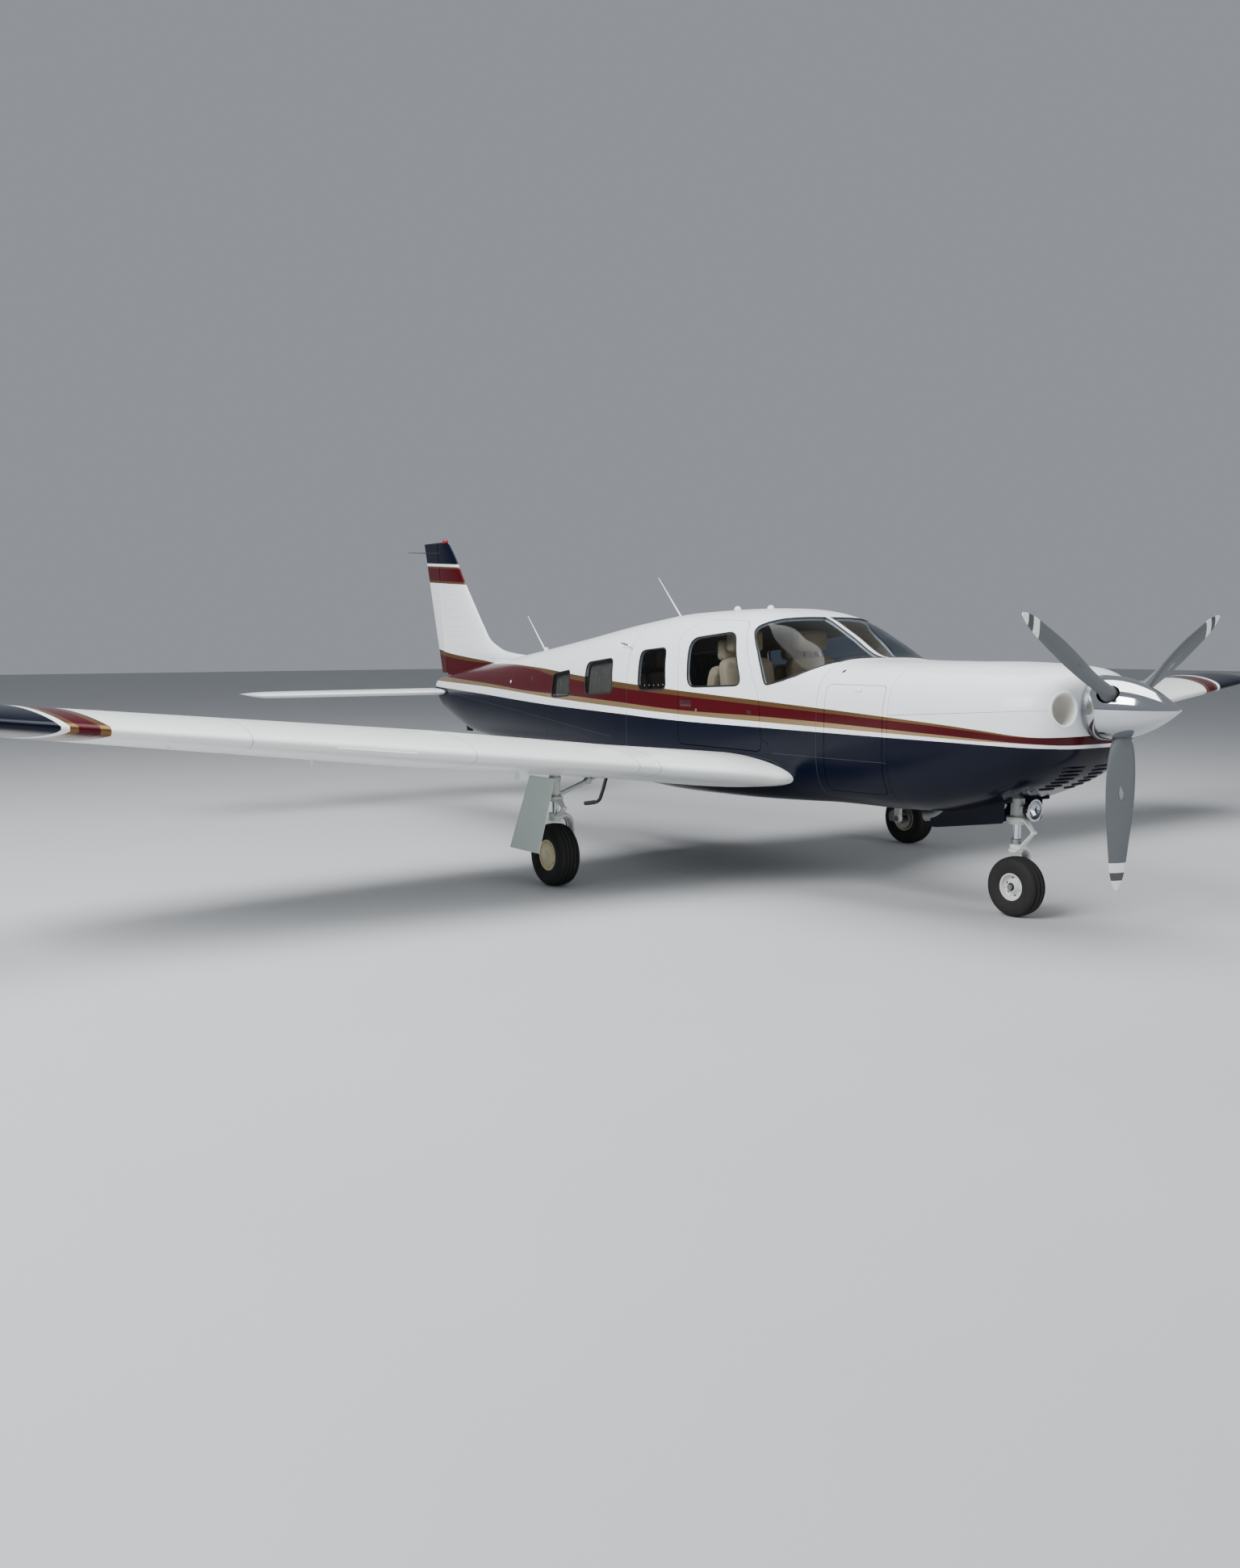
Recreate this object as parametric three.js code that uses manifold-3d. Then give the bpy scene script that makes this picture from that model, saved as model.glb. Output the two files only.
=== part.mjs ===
// Light aircraft: a low-wing single-engine touring aeroplane on retractable tricycle gear.
// Millimetres, +X towards the nose, +Y to the left wing, +Z up.
// The origin is on the ground, below the middle of the length and the span.
// A station is a distance aft of the spinner's tip, so X is half the length less the station.

import * as THREE from "three";
import { mergeVertices } from "three/addons/utils/BufferGeometryUtils.js";
import Module from "manifold-3d";

const wasm = await Module();
wasm.setup();

// Driving dimensions
const LENGTH = 8500;
const SPAN = 11020;
const HEIGHT = 2590;
const TOUCH_GAP = 0.3;
const MOVING_GAP = 7;

// Fuselage sections: station, half width, middle, top and bottom heights, upper and lower powers
const FUSELAGE = [
  [500, 300, 1215, 1400, 1000, 2.2, 2.2],
  [530, 400, 1200, 1440, 930, 2.3, 2.3],
  [600, 460, 1180, 1462, 855, 2.4, 2.5],
  [800, 520, 1150, 1478, 757, 2.7, 2.8],
  [1100, 565, 1120, 1485, 655, 3.0, 3.2],
  [1430, 600, 1100, 1482, 592, 3.3, 3.6],
  [1700, 620, 1090, 1482, 585, 3.6, 4.0],
  [1950, 632, 1090, 1486, 582, 3.7, 4.0],
  [2120, 639, 1090, 1502, 578, 3.7, 4.0],
  [2400, 648, 1090, 1642, 562, 3.7, 4.0],
  [2640, 651, 1090, 1758, 548, 3.7, 4.0],
  [2840, 652, 1090, 1808, 538, 3.7, 4.0],
  [3000, 652, 1090, 1824, 532, 3.7, 4.0],
  [3700, 650, 1090, 1808, 520, 3.5, 4.0],
  [4200, 635, 1090, 1760, 540, 3.3, 4.0],
  [5160, 535, 1090, 1632, 600, 3.0, 3.6],
  [5890, 440, 1095, 1537, 640, 2.8, 3.3],
  [6900, 290, 1105, 1412, 710, 2.5, 3.0],
  [7300, 230, 1115, 1365, 740, 2.4, 2.8],
  [7650, 175, 1125, 1320, 820, 2.3, 2.6],
  [8000, 115, 1140, 1275, 930, 2.2, 2.4],
  [8180, 70, 1150, 1235, 1060, 2.0, 2.0],
];
const FUSELAGE_SIDES = 24;
const FIREWALL = 1495;
const CABIN_END = 5420;
const TAIL_END = 8180;
const CABIN_WALL = 40;
const TAIL_WALL = 18;
const COWL_WALL = 16;
const BAY = { front: 1512, rear: 2012, roof: 1385, deck: 1425 };
const CABIN_FRONT = 2050;
const DASH_FRONT = 1640;
// Stations where the skin has a ring besides those of the table
const EXTRA_RINGS = [FIREWALL, BAY.rear, CABIN_END, 4860, 6400];
// A block that holds the whole fuselage: half width and top
const AROUND = { half: 900, top: 2500 };

// Propeller
const PROP_Z = 1245;
const PROP_STATION = 348;
const PROP_RADIUS = 990;
const SPINNER = { radius: 176, base: 484, rim: 455, point: 2, steps: 7 };
const SHAFT = { radius: 78, hole: 82, rear: 590 };
const COWL_NOSE = 500;
const COWL_SPLIT = [[400, 1246], [1700, 1162]];
const INLET = { front: 430, rear: 640, y: 290, z: 1238, mouth: 100, throat: 92 };
const BLADE_SIDES = 10;

// Landing gear
const MAIN = { station: 3431, y: 1665, radius: 207, width: 160, rim: 98 };
const NOSE = { station: 1019, radius: 178, width: 127, rim: 76 };
const WHEEL_SIDES = 32;

// Wing sections: distance out, leading edge station, chord, leading edge height, thickness ratio
const WING = [
  [560, 2275, 1945, 745, 0.122],
  [655, 2300, 1920, 747, 0.124],
  [730, 2355, 1865, 754, 0.128],
  [1400, 2620, 1600, 822, 0.138],
  [2690, 2620, 1600, 959, 0.145],
  [5210, 2812, 1110, 1225, 0.145],
];
const WING_TIP = [
  [5210, 2812, 1110, 1225, 0.145],
  [5370, 2835, 1060, 1243, 0.125],
  [5460, 2900, 940, 1252, 0.100],
  [SPAN / 2, 3100, 520, 1258, 0.060],
];
const WING_INCIDENCE = THREE.MathUtils.degToRad(3);
const WING_STATIONS = 9;
// The section's half thickness blends these weights from nose to tail, as a cubic curve does
const THICKNESS_WEIGHTS = [1.013, 1.133, 1.867, 0.467];
const CAMBER = 0.02;
const CAMBER_PEAK = 0.4;
const TRAILING_HALF = 0.0015;

// Tail
const STABILATOR = { y: 1950, pivot: 7970, z: 1105, tube: 22, hole: 34, tabFront: 8345 };

// Shared arithmetic
const degrees = THREE.MathUtils.degToRad;
const at = (station) => LENGTH / 2 - station;
const point = (station, y, z) => new THREE.Vector3(at(station), y, z);

// The triangles of a geometry as a solid, turned to face outwards
function toSolid(geometry) {
  const bare = geometry.clone();
  bare.deleteAttribute("normal");
  bare.deleteAttribute("uv");
  const merged = mergeVertices(bare, 1e-3);
  const xyz = merged.attributes.position.array;
  const corners = [];
  for (let i = 0; i < merged.index.count; i += 3) {
    const [a, b, c] = [merged.index.getX(i), merged.index.getX(i + 1), merged.index.getX(i + 2)];
    if (a !== b && b !== c && c !== a) corners.push([a, b, c]);
  }
  const vertex = (i) => new THREE.Vector3().fromArray(xyz, 3 * i);
  const volume = corners.reduce(
    (sum, [a, b, c]) => sum + vertex(a).dot(vertex(b).cross(vertex(c))), 0);
  const outward = volume < 0 ? corners.map(([a, b, c]) => [a, c, b]) : corners;
  return new wasm.Manifold(new wasm.Mesh({
    numProp: 3,
    vertProperties: new Float32Array(xyz),
    triVerts: new Uint32Array(outward.flat()),
  }));
}

function fromSolid(solid) {
  const mesh = solid.getMesh();
  const geometry = new THREE.BufferGeometry();
  const xyz = new Float32Array(mesh.numVert * 3);
  for (let i = 0; i < mesh.numVert; i++) {
    for (let k = 0; k < 3; k++) xyz[3 * i + k] = mesh.vertProperties[i * mesh.numProp + k];
  }
  geometry.setAttribute("position", new THREE.BufferAttribute(xyz, 3));
  geometry.setIndex(Array.from(mesh.triVerts));
  geometry.computeVertexNormals();
  return geometry;
}

const joined = (...solids) => solids.reduce((whole, solid) => whole.add(solid));
const cut = (solid, ...tools) => tools.reduce((rest, tool) => rest.subtract(tool), solid);

// A skin through rings of equal point counts, closed by a strip across the first and last ring
function loft(rings) {
  const count = rings[0].length;
  const xyz = rings.flat().flatMap((p) => [p.x, p.y, p.z]);
  const index = [];
  for (let r = 0; r + 1 < rings.length; r++) {
    for (let i = 0; i < count; i++) {
      const [a, b] = [r * count + i, r * count + ((i + 1) % count)];
      index.push(a, b, b + count, a, b + count, a + count);
    }
  }
  const cap = (first, flip) => {
    for (let i = 0, j = count - 1; j - i > 1; i++, j--) {
      const quad = j - i === 2 ? [[i, j, i + 1]] : [[i, j, j - 1], [i, j - 1, i + 1]];
      for (const [a, b, c] of quad) {
        index.push(first + a, first + (flip ? c : b), first + (flip ? b : c));
      }
    }
  };
  cap(0, false);
  cap((rings.length - 1) * count, true);
  const geometry = new THREE.BufferGeometry();
  geometry.setAttribute("position", new THREE.Float32BufferAttribute(xyz, 3));
  geometry.setIndex(index);
  return toSolid(geometry);
}

function box(s0, s1, y0, y1, z0, z1) {
  const geometry = new THREE.BoxGeometry(Math.abs(s1 - s0), Math.abs(y1 - y0), Math.abs(z1 - z0));
  geometry.translate(at((s0 + s1) / 2), (y0 + y1) / 2, (z0 + z1) / 2);
  return toSolid(geometry);
}

// The space between two stations, right across the fuselage
const slab = (s0, s1, z0 = 0, z1 = AROUND.top) => box(s0, s1, -AROUND.half, AROUND.half, z0, z1);

// A round bar between two points, with its own radius at each end
function bar(a, b, radiusA, radiusB = radiusA, sides = 16) {
  const geometry = new THREE.CylinderGeometry(radiusB, radiusA, a.distanceTo(b), sides);
  const along = b.clone().sub(a).normalize();
  const turn = new THREE.Quaternion().setFromUnitVectors(new THREE.Vector3(0, 1, 0), along);
  geometry.applyQuaternion(turn);
  geometry.translate(...a.clone().add(b).multiplyScalar(0.5).toArray());
  return toSolid(geometry);
}

// A profile of radius and distance along an axis, turned about that axis
function turned(profile, origin, axis, segments) {
  const geometry = new THREE.LatheGeometry(profile.map(([r, h]) => new THREE.Vector2(r, h)), segments);
  const turn = new THREE.Quaternion().setFromUnitVectors(new THREE.Vector3(0, 1, 0), axis);
  geometry.applyQuaternion(turn);
  geometry.translate(origin.x, origin.y, origin.z);
  return toSolid(geometry);
}

// An outline with each corner replaced by an arc of its own radius
function rounded(corners, radius, steps = 4) {
  const outline = [];
  corners.forEach(([s, z], i) => {
    const here = new THREE.Vector2(s, z);
    const before = new THREE.Vector2(...corners[(i + corners.length - 1) % corners.length]);
    const after = new THREE.Vector2(...corners[(i + 1) % corners.length]);
    const back = before.clone().sub(here);
    const ahead = after.clone().sub(here);
    const reach = Math.min(radius, back.length() * 0.45, ahead.length() * 0.45);
    const start = here.clone().addScaledVector(back.normalize(), reach);
    const end = here.clone().addScaledVector(ahead.normalize(), reach);
    const curve = new THREE.QuadraticBezierCurve(start, here, end);
    outline.push(...curve.getPoints(steps));
  });
  return outline;
}

// An outline of stations and heights pushed through from one side distance to another.
// Lean moves the outline as it goes inboard of the outer distance, by a share of the distance.
function sidePrism(outline, yInner, yOuter, lean = [0, 0]) {
  const shape = new THREE.Shape(outline.map((p) => new THREE.Vector2(p.x, p.y)));
  const depth = Math.abs(yOuter - yInner);
  const geometry = new THREE.ExtrudeGeometry(shape, { depth, bevelEnabled: false, steps: 1 });
  const place = geometry.attributes.position;
  for (let i = 0; i < place.count; i++) {
    const [s, z, w] = [place.getX(i), place.getY(i), place.getZ(i)];
    const inboard = depth - w;
    const y = yInner + Math.sign(yOuter - yInner) * w;
    place.setXYZ(i, at(s + lean[0] * inboard), y, z + lean[1] * inboard);
  }
  return toSolid(geometry);
}

// An outline of stations and side distances pushed upwards
function planPrism(outline, z0, z1) {
  const shape = new THREE.Shape(outline.map((p) => new THREE.Vector2(p.x, p.y)));
  const geometry = new THREE.ExtrudeGeometry(shape, { depth: z1 - z0, bevelEnabled: false, steps: 1 });
  const place = geometry.attributes.position;
  for (let i = 0; i < place.count; i++) {
    place.setXYZ(i, at(place.getX(i)), place.getY(i), z0 + place.getZ(i));
  }
  return toSolid(geometry);
}

// An outline scaled about its middle so that each extreme moves out by the amount
const grown = (outline, amount) => {
  const sum = outline.reduce((total, p) => total.add(p), new THREE.Vector2());
  const middle = sum.divideScalar(outline.length);
  const scaleX = 1 + amount / reachAlong(outline, "x");
  const scaleY = 1 + amount / reachAlong(outline, "y");
  return outline.map((p) => new THREE.Vector2(
    middle.x + (p.x - middle.x) * scaleX, middle.y + (p.y - middle.y) * scaleY));
};

function reachAlong(outline, key) {
  const values = outline.map((p) => p[key]);
  return (Math.max(...values) - Math.min(...values)) / 2;
}

// Fuselage skins
function sectionAt(station) {
  const after = Math.max(1, FUSELAGE.findIndex(([s]) => s >= station));
  const [low, high] = [FUSELAGE[after - 1], FUSELAGE[after]];
  const share = (station - low[0]) / (high[0] - low[0]);
  return low.map((value, k) => value + share * (high[k] - value));
}

function sectionRing(station, inset) {
  const [, width, middle, top, bottom, powerUp, powerDown] = sectionAt(station);
  const ring = [];
  for (let i = 0; i < FUSELAGE_SIDES; i++) {
    const angle = (2 * Math.PI * (i + 0.5)) / FUSELAGE_SIDES;
    const [c, s] = [Math.cos(angle), Math.sin(angle)];
    const power = 2 / (s > 0 ? powerUp : powerDown);
    const height = (s > 0 ? top - middle : middle - bottom) - inset;
    const y = (width - inset) * Math.sign(c) * Math.abs(c) ** power;
    ring.push(point(station, y, middle + height * Math.sign(s) * Math.abs(s) ** power));
  }
  return ring;
}

function fuselageBody(inset, first = FUSELAGE[0][0], last = TAIL_END) {
  const extra = EXTRA_RINGS.filter((s) => s > first && s < last);
  const inner = FUSELAGE.map(([s]) => s).filter((s) => s > first && s < last);
  const stations = [...new Set([first, ...inner, ...extra, last])].sort((a, b) => a - b);
  return loft(stations.map((s) => sectionRing(s, inset)));
}

const hull = fuselageBody(0);
const hullGrown = fuselageBody(-TOUCH_GAP);

// Side windows: corners as station and height, seen from the side
const DOOR_WINDOW = [[2902, 1671], [3368, 1624], [3335, 1282], [2752, 1310]];
const THIRD_WINDOW = [[3617, 1562], [3935, 1537], [3922, 1242], [3577, 1259]];
const FOURTH_WINDOW = [[4294, 1481], [4709, 1440], [4700, 1186], [4259, 1214]];
const FIFTH_WINDOW = [[4983, 1379], [5284, 1341], [5294, 1146], [4955, 1171]];
const SIDE_WINDOWS = [
  { name: "door_window", outline: rounded(DOOR_WINDOW, 85, 3) },
  { name: "third_window", outline: rounded(THIRD_WINDOW, 60, 2) },
  { name: "fourth_window", outline: rounded(FOURTH_WINDOW, 60, 2) },
  { name: "fifth_window", outline: rounded(FIFTH_WINDOW, 45, 2) },
];
const WINDOW_INNER_Y = 358;
const WINDOW_OUTER_Y = 760;
const GLASS = { outer: 5, inner: 12 };
// Each half of the windscreen wraps round the side: its rim as station and height, open above
const WINDSCREEN = [[2085, 1900], [2645, 1900], [2650, 1757], [2688, 1741], [2714, 1729], [2739, 1713],
  [2756, 1689], [2745, 1653], [2704, 1604], [2648, 1533], [2588, 1432], [2551, 1353], [2538, 1332], [2519, 1324],
  [2452, 1333], [2368, 1354], [2273, 1383], [2205, 1415], [2160, 1438], [2124, 1460], [2085, 1474]];
const WINDSCREEN_POST = 22;
const glassLayer = cut(fuselageBody(GLASS.outer, 1600, 5400), fuselageBody(GLASS.inner, 1590, 5410));

const windowPrism = (outline, side) => sidePrism(outline, side * WINDOW_INNER_Y, side * WINDOW_OUTER_Y);
const pane = (outline, side) => glassLayer.intersect(windowPrism(grown(outline, -TOUCH_GAP), side));

function windscreenPrism(side, shrink) {
  const rim = WINDSCREEN.map(([s, z]) => new THREE.Vector2(s, z));
  const outline = shrink ? grown(rim, -shrink) : rim;
  return sidePrism(outline, side * (WINDSCREEN_POST + shrink), side * WINDOW_OUTER_Y);
}

// Doors: corners, how far they lean as they go inboard, and the depth and top of their opening
const DOORS = {
  front_door: {
    side: -1, lean: [-0.33, 0], yInner: 300, yOuter: 656, top: 2000,
    outline: rounded([[2549, 892], [2583, 1247], [2845, 1736], [3340, 1752], [3507, 1640], [3453, 1457],
      [3434, 1220], [3434, 892]], 60, 3),
  },
  rear_door: {
    side: 1, lean: [-0.36, 0], yInner: 360, yOuter: 640, top: 2000,
    outline: rounded([[4205, 830], [4205, 1560], [4862, 1500], [4862, 830]], 60, 3),
  },
  utility_door: {
    side: 1, lean: [0.2, 0], yInner: 340, yOuter: 576, top: 2000,
    outline: rounded([[4885, 830], [4885, 1480], [5385, 1415], [5385, 850]], 60, 3),
  },
  nose_baggage_door: {
    side: -1, lean: [0, 0.32], yInner: 430, yOuter: 642, top: BAY.roof - 2,
    outline: rounded([[1530, 700], [1530, 1345], [1995, 1345], [1995, 690]], 35, 3),
  },
};

function doorPrism({ side, outline, lean, yInner, yOuter, top }, gap) {
  const opening = sidePrism(grown(outline, -gap), side * yInner, side * yOuter, lean);
  return opening.intersect(slab(BAY.front, CABIN_END, 0, top));
}

// Cabin shell with its baggage bay in the nose, then the doors out of the same wall
const cabinBlock = hull.intersect(slab(FIREWALL, CABIN_END));
const bayHollow = fuselageBody(CABIN_WALL).intersect(slab(BAY.front, BAY.rear, 0, BAY.roof));
const cabinHollow = joined(
  fuselageBody(CABIN_WALL).intersect(slab(CABIN_FRONT, CABIN_END + 50)),
  fuselageBody(CABIN_WALL).intersect(slab(DASH_FRONT, CABIN_FRONT + 1, BAY.deck)),
);
const cabinWalls = cut(cabinBlock, bayHollow, cabinHollow);
const NOSE_WELL = { front: 930, rear: 1560, half: 160, low: 300, roof: 800, behind: 1508, behindRoof: 760 };
const wellSlot = (rear, roof) => box(
  NOSE_WELL.front, rear, -NOSE_WELL.half, NOSE_WELL.half, NOSE_WELL.low, roof);
const wellPrism = wellSlot(NOSE_WELL.rear, NOSE_WELL.roof);

function windowsFor(side) {
  return SIDE_WINDOWS.map(({ outline }) => windowPrism(outline, side));
}

const doorSolids = {};
let cabinShell = cut(cabinWalls, ...windowsFor(1), ...windowsFor(-1),
  windscreenPrism(1, 0), windscreenPrism(-1, 0), wellSlot(NOSE_WELL.behind, NOSE_WELL.behindRoof));
for (const [name, door] of Object.entries(DOORS)) {
  doorSolids[name] = cut(cabinWalls.intersect(doorPrism(door, MOVING_GAP)), ...windowsFor(door.side));
  cabinShell = cut(cabinShell, doorPrism(door, 0));
}

// Engine cowl, split along a sloping line, with round air inlets and the nose gear's opening
function cowlShell() {
  const block = hull.intersect(slab(COWL_NOSE, FIREWALL - TOUCH_GAP));
  const hollow = fuselageBody(COWL_WALL, COWL_NOSE + 22, 1600);
  const bore = (y, z, mouth, throat) => bar(
    point(INLET.front, y, z), point(INLET.rear, y, z), mouth, throat, 24);
  const inlets = [1, -1].map((side) => bore(side * INLET.y, INLET.z, INLET.mouth, INLET.throat));
  return cut(block, hollow, ...inlets, bore(0, PROP_Z, SHAFT.hole, SHAFT.hole), wellPrism);
}

function cowlHalf(side) {
  const [[s0, z0], [s1, z1]] = COWL_SPLIT;
  const far = side > 0 ? AROUND.top : 0;
  const gap = side > 0 ? TOUCH_GAP : 0;
  const corners = [[s0, z0 + gap], [s1, z1 + gap], [s1, far], [s0, far]];
  const outline = corners.map(([s, z]) => new THREE.Vector2(s, z));
  return cowlShell().intersect(sidePrism(outline, -AROUND.half, AROUND.half));
}

// Engine as one block with the crankcase ahead of it
function engineBlock() {
  return joined(
    box(700, 1400, -395, 395, 985, 1330),
    box(680, 1380, -150, 150, 940, 1400),
    bar(point(600, 0, PROP_Z), point(720, 0, PROP_Z), 85, 110, 20),
  );
}

// Wing
// Half thickness of its section at a share of the chord, full furthest aft as a laminar section is
function wingHalf(x, ratio) {
  const [a, b, c, d] = THICKNESS_WEIGHTS;
  const blend = a * (1 - x) ** 3 + 3 * b * x * (1 - x) ** 2 + 3 * c * x ** 2 * (1 - x) + d * x ** 3;
  return ratio * Math.sqrt(x) * (1 - x) * blend + TRAILING_HALF;
}

// Middle line of the section: two parabolas that meet at their peak
function wingCamber(x) {
  const peak = CAMBER_PEAK;
  const rise = 2 * peak * x - x * x;
  return x < peak ? (CAMBER * rise) / peak ** 2 : (CAMBER * (1 - 2 * peak + rise)) / (1 - peak) ** 2;
}

function wingSection(row, side) {
  const [y, front, chord, z, ratio] = row;
  const upper = [];
  const lower = [];
  for (let i = 0; i <= WING_STATIONS; i++) {
    const x = 0.5 * (1 - Math.cos((Math.PI * i) / WING_STATIONS));
    const [half, camber] = [wingHalf(x, ratio), wingCamber(x)];
    const drop = chord * x * Math.tan(WING_INCIDENCE);
    upper.push(point(front + chord * x, side * y, z - drop + chord * (camber + half)));
    lower.push(point(front + chord * x, side * y, z - drop + chord * (camber - half)));
  }
  return [...upper.reverse(), ...lower];
}

// Middle height and half thickness of the wing at a side distance and station
function wingAt(y, station) {
  const after = Math.max(1, WING.findIndex((row) => row[0] >= y));
  const [low, high] = [WING[after - 1], WING[after]];
  const share = (y - low[0]) / (high[0] - low[0]);
  const [, front, chord, z, ratio] = low.map((value, k) => value + share * (high[k] - value));
  const x = (station - front) / chord;
  const middle = z - chord * x * Math.tan(WING_INCIDENCE) + chord * wingCamber(x);
  return { z: middle, half: chord * wingHalf(x, ratio) };
}

// Hinge lines of the flap and aileron: side distance and station of the inner and outer ends
const SURFACES = {
  flap: { inner: [715, 3925], outer: [2640, 3925] },
  aileron: { inner: [2790, 3900], outer: [4890, 3740] },
};

function hingeOf({ inner, outer }, side) {
  const ends = [inner, outer].map(([y, s]) => {
    const { z, half } = wingAt(y, s);
    return { place: point(s, side * y, z), radius: half - 3 };
  });
  return { ends, along: ends[1].place.clone().sub(ends[0].place).normalize() };
}

// A slab behind a hinge line, square to it, running past the trailing edge
function behindHinge({ ends, along }, ahead, endGap) {
  const back = new THREE.Vector3(-1, 0, 0);
  back.addScaledVector(along, -back.dot(along)).normalize();
  const up = new THREE.Vector3().crossVectors(back, along).normalize();
  const length = ends[0].place.distanceTo(ends[1].place) + 2 * endGap;
  const depth = 600 + ahead;
  const geometry = new THREE.BoxGeometry(depth, length, 500);
  geometry.applyMatrix4(new THREE.Matrix4().makeBasis(back, along, up));
  const middle = ends[0].place.clone().add(ends[1].place).multiplyScalar(0.5)
    .addScaledVector(back, depth / 2 - ahead);
  geometry.translate(middle.x, middle.y, middle.z);
  return toSolid(geometry);
}

function wingWithSurfaces(side) {
  const whole = loft(WING.map((row) => wingSection(row, side)));
  const pieces = {};
  let wing = whole;
  for (const [name, row] of Object.entries(SURFACES)) {
    const hinge = hingeOf(row, side);
    const [a, b] = hinge.ends;
    const nose = bar(a.place, b.place, a.radius, b.radius, 20);
    pieces[name] = joined(whole.intersect(behindHinge(hinge, 0, 0)), nose);
    wing = cut(wing, behindHinge(hinge, Math.max(a.radius, b.radius) + MOVING_GAP, MOVING_GAP));
  }
  const recess = box(WELL.front, WELL.rear, side * WELL.inner, side * WELL.outer, 300, WELL.roof);
  pieces.wing = cut(joined(wing, jackPad(side)), hullGrown, recess, gearDoorSlot(side));
  return pieces;
}

function wingTip(side) {
  const rows = WING_TIP.map((row, i) => (i === 0 ? [row[0] + TOUCH_GAP, ...row.slice(1)] : row));
  return loft(rows.map((row) => wingSection(row, side)));
}

// Jacking and tie-down pad under each wing
const JACK_PAD = { station: 2960, y: 2200, half: 30, low: 770, top: 870 };

function jackPad(side) {
  const { station, y, half, low, top } = JACK_PAD;
  return box(station - half, station + half, side * (y - half), side * (y + half), low, top);
}

// Main gear
const WELL = { front: 3255, rear: 3650, inner: 900, outer: 1800, roof: 790 };
const LEG = {
  radius: 36, piston: 24, top: WELL.roof - 22, collar: 560, crownGap: 45, armGap: 45,
  pivot: 20, brace: 15, braceY: 1150, axle: 16, disc: 30, link: 11, kneeAhead: 110, kneeZ: 525,
};

function mainLeg(side) {
  const { station, y, radius } = MAIN;
  const arm = y - MAIN.width / 2 - LEG.armGap;
  const on = (s, distance, z) => point(s, side * distance, z);
  const crown = 2 * radius + LEG.crownGap;
  const pivot = bar(
    on(WELL.front + TOUCH_GAP, y, LEG.top), on(WELL.rear - TOUCH_GAP, y, LEG.top), LEG.pivot);
  const brace = bar(on(station, y, LEG.collar + 20), on(station, LEG.braceY, LEG.top), LEG.brace);
  const braceFoot = box(station - 90, station + 90, side * (LEG.braceY - 30), side * (LEG.braceY + 30),
    WELL.roof - 50, WELL.roof - TOUCH_GAP);
  const fork = joined(
    box(station - 45, station + 45, side * (arm - 14), side * (y + 38), crown - 24, crown + 22),
    box(station - 40, station + 40, side * (arm - 14), side * (arm + 12), radius - 30, crown + 22),
  );
  const axle = bar(on(station, arm - 20, radius), on(station, y + 20, radius), LEG.axle);
  const disc = bar(on(station, arm + 8, radius), on(station, arm + 18, radius), LEG.disc);
  const knee = on(station - LEG.kneeAhead, y, LEG.kneeZ);
  const links = joined(
    bar(on(station, y, LEG.collar + 30), knee, LEG.link),
    bar(knee, on(station, y, crown), LEG.link),
  );
  return joined(
    bar(on(station, y, LEG.collar), on(station, y, LEG.top), LEG.radius),
    bar(on(station, y, crown), on(station, y, LEG.collar + 10), LEG.piston),
    pivot, brace, braceFoot, fork, axle, disc, links,
  );
}

// Gear door: a slanted plate outboard of the leg, held by two struts
const GEAR_DOOR = {
  top: { z: 735, y: 1818, front: 3190, rear: 3492 },
  low: { z: 262, y: 1930, front: 3203, rear: 3562 },
  half: 5, strutHeights: [640, 690], strut: 9,
};

function gearDoorPlate(side, spare) {
  const half = GEAR_DOOR.half + spare;
  return loft([[GEAR_DOOR.top, spare], [GEAR_DOOR.low, -spare]].map(([row, reach]) => {
    const [front, rear] = [row.front - spare, row.rear + spare];
    return [[front, -half], [rear, -half], [rear, half], [front, half]]
      .map(([s, d]) => point(s, side * (row.y + d), row.z + reach));
  }));
}

function gearDoorSlot(side) {
  return gearDoorPlate(side, TOUCH_GAP);
}

function gearDoor(side) {
  const { top, low, strut } = GEAR_DOOR;
  const struts = GEAR_DOOR.strutHeights.map((z) => {
    const y = THREE.MathUtils.mapLinear(z, top.z, low.z, top.y, low.y);
    const start = point(MAIN.station, side * (MAIN.y + LEG.radius + 1), z);
    return bar(start, point(MAIN.station, side * (y - 2), z), strut);
  });
  return joined(gearDoorPlate(side, 0), ...struts);
}

// Wheels: a ribbed tyre on a rim, both turned about the axle
function tyre({ radius, width, rim, station }, y) {
  const half = width / 2;
  const profile = [[rim, -half * 0.7], [radius * 0.76, -half], [radius * 0.92, -half * 0.84],
    [radius * 0.985, -half * 0.5], [radius, 0], [radius * 0.985, half * 0.5], [radius * 0.92, half * 0.84],
    [radius * 0.76, half], [rim, half * 0.7], [rim, -half * 0.7]];
  return turned(profile, point(station, y, radius), new THREE.Vector3(0, 1, 0), WHEEL_SIDES);
}

function hub({ radius, width, rim, station }, y, bore, faces) {
  const half = width / 2;
  const edge = rim - TOUCH_GAP;
  const [low, high] = faces;
  const profile = [[bore, low], [edge * 0.8, low], [edge, -half * 0.4], [edge, half * 0.4],
    [edge * 0.85, high - 8], [edge * 0.5, high], [bore, high], [bore, low]];
  return turned(profile, point(station, y, radius), new THREE.Vector3(0, 1, 0), WHEEL_SIDES);
}

// Nose gear: a cylinder held by a cross bar and three braces to the firewall
const STRUT = { behind: 8, radius: 40, low: 545, top: 935, trunnion: 900, half: 150, brace: 16 };

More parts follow.
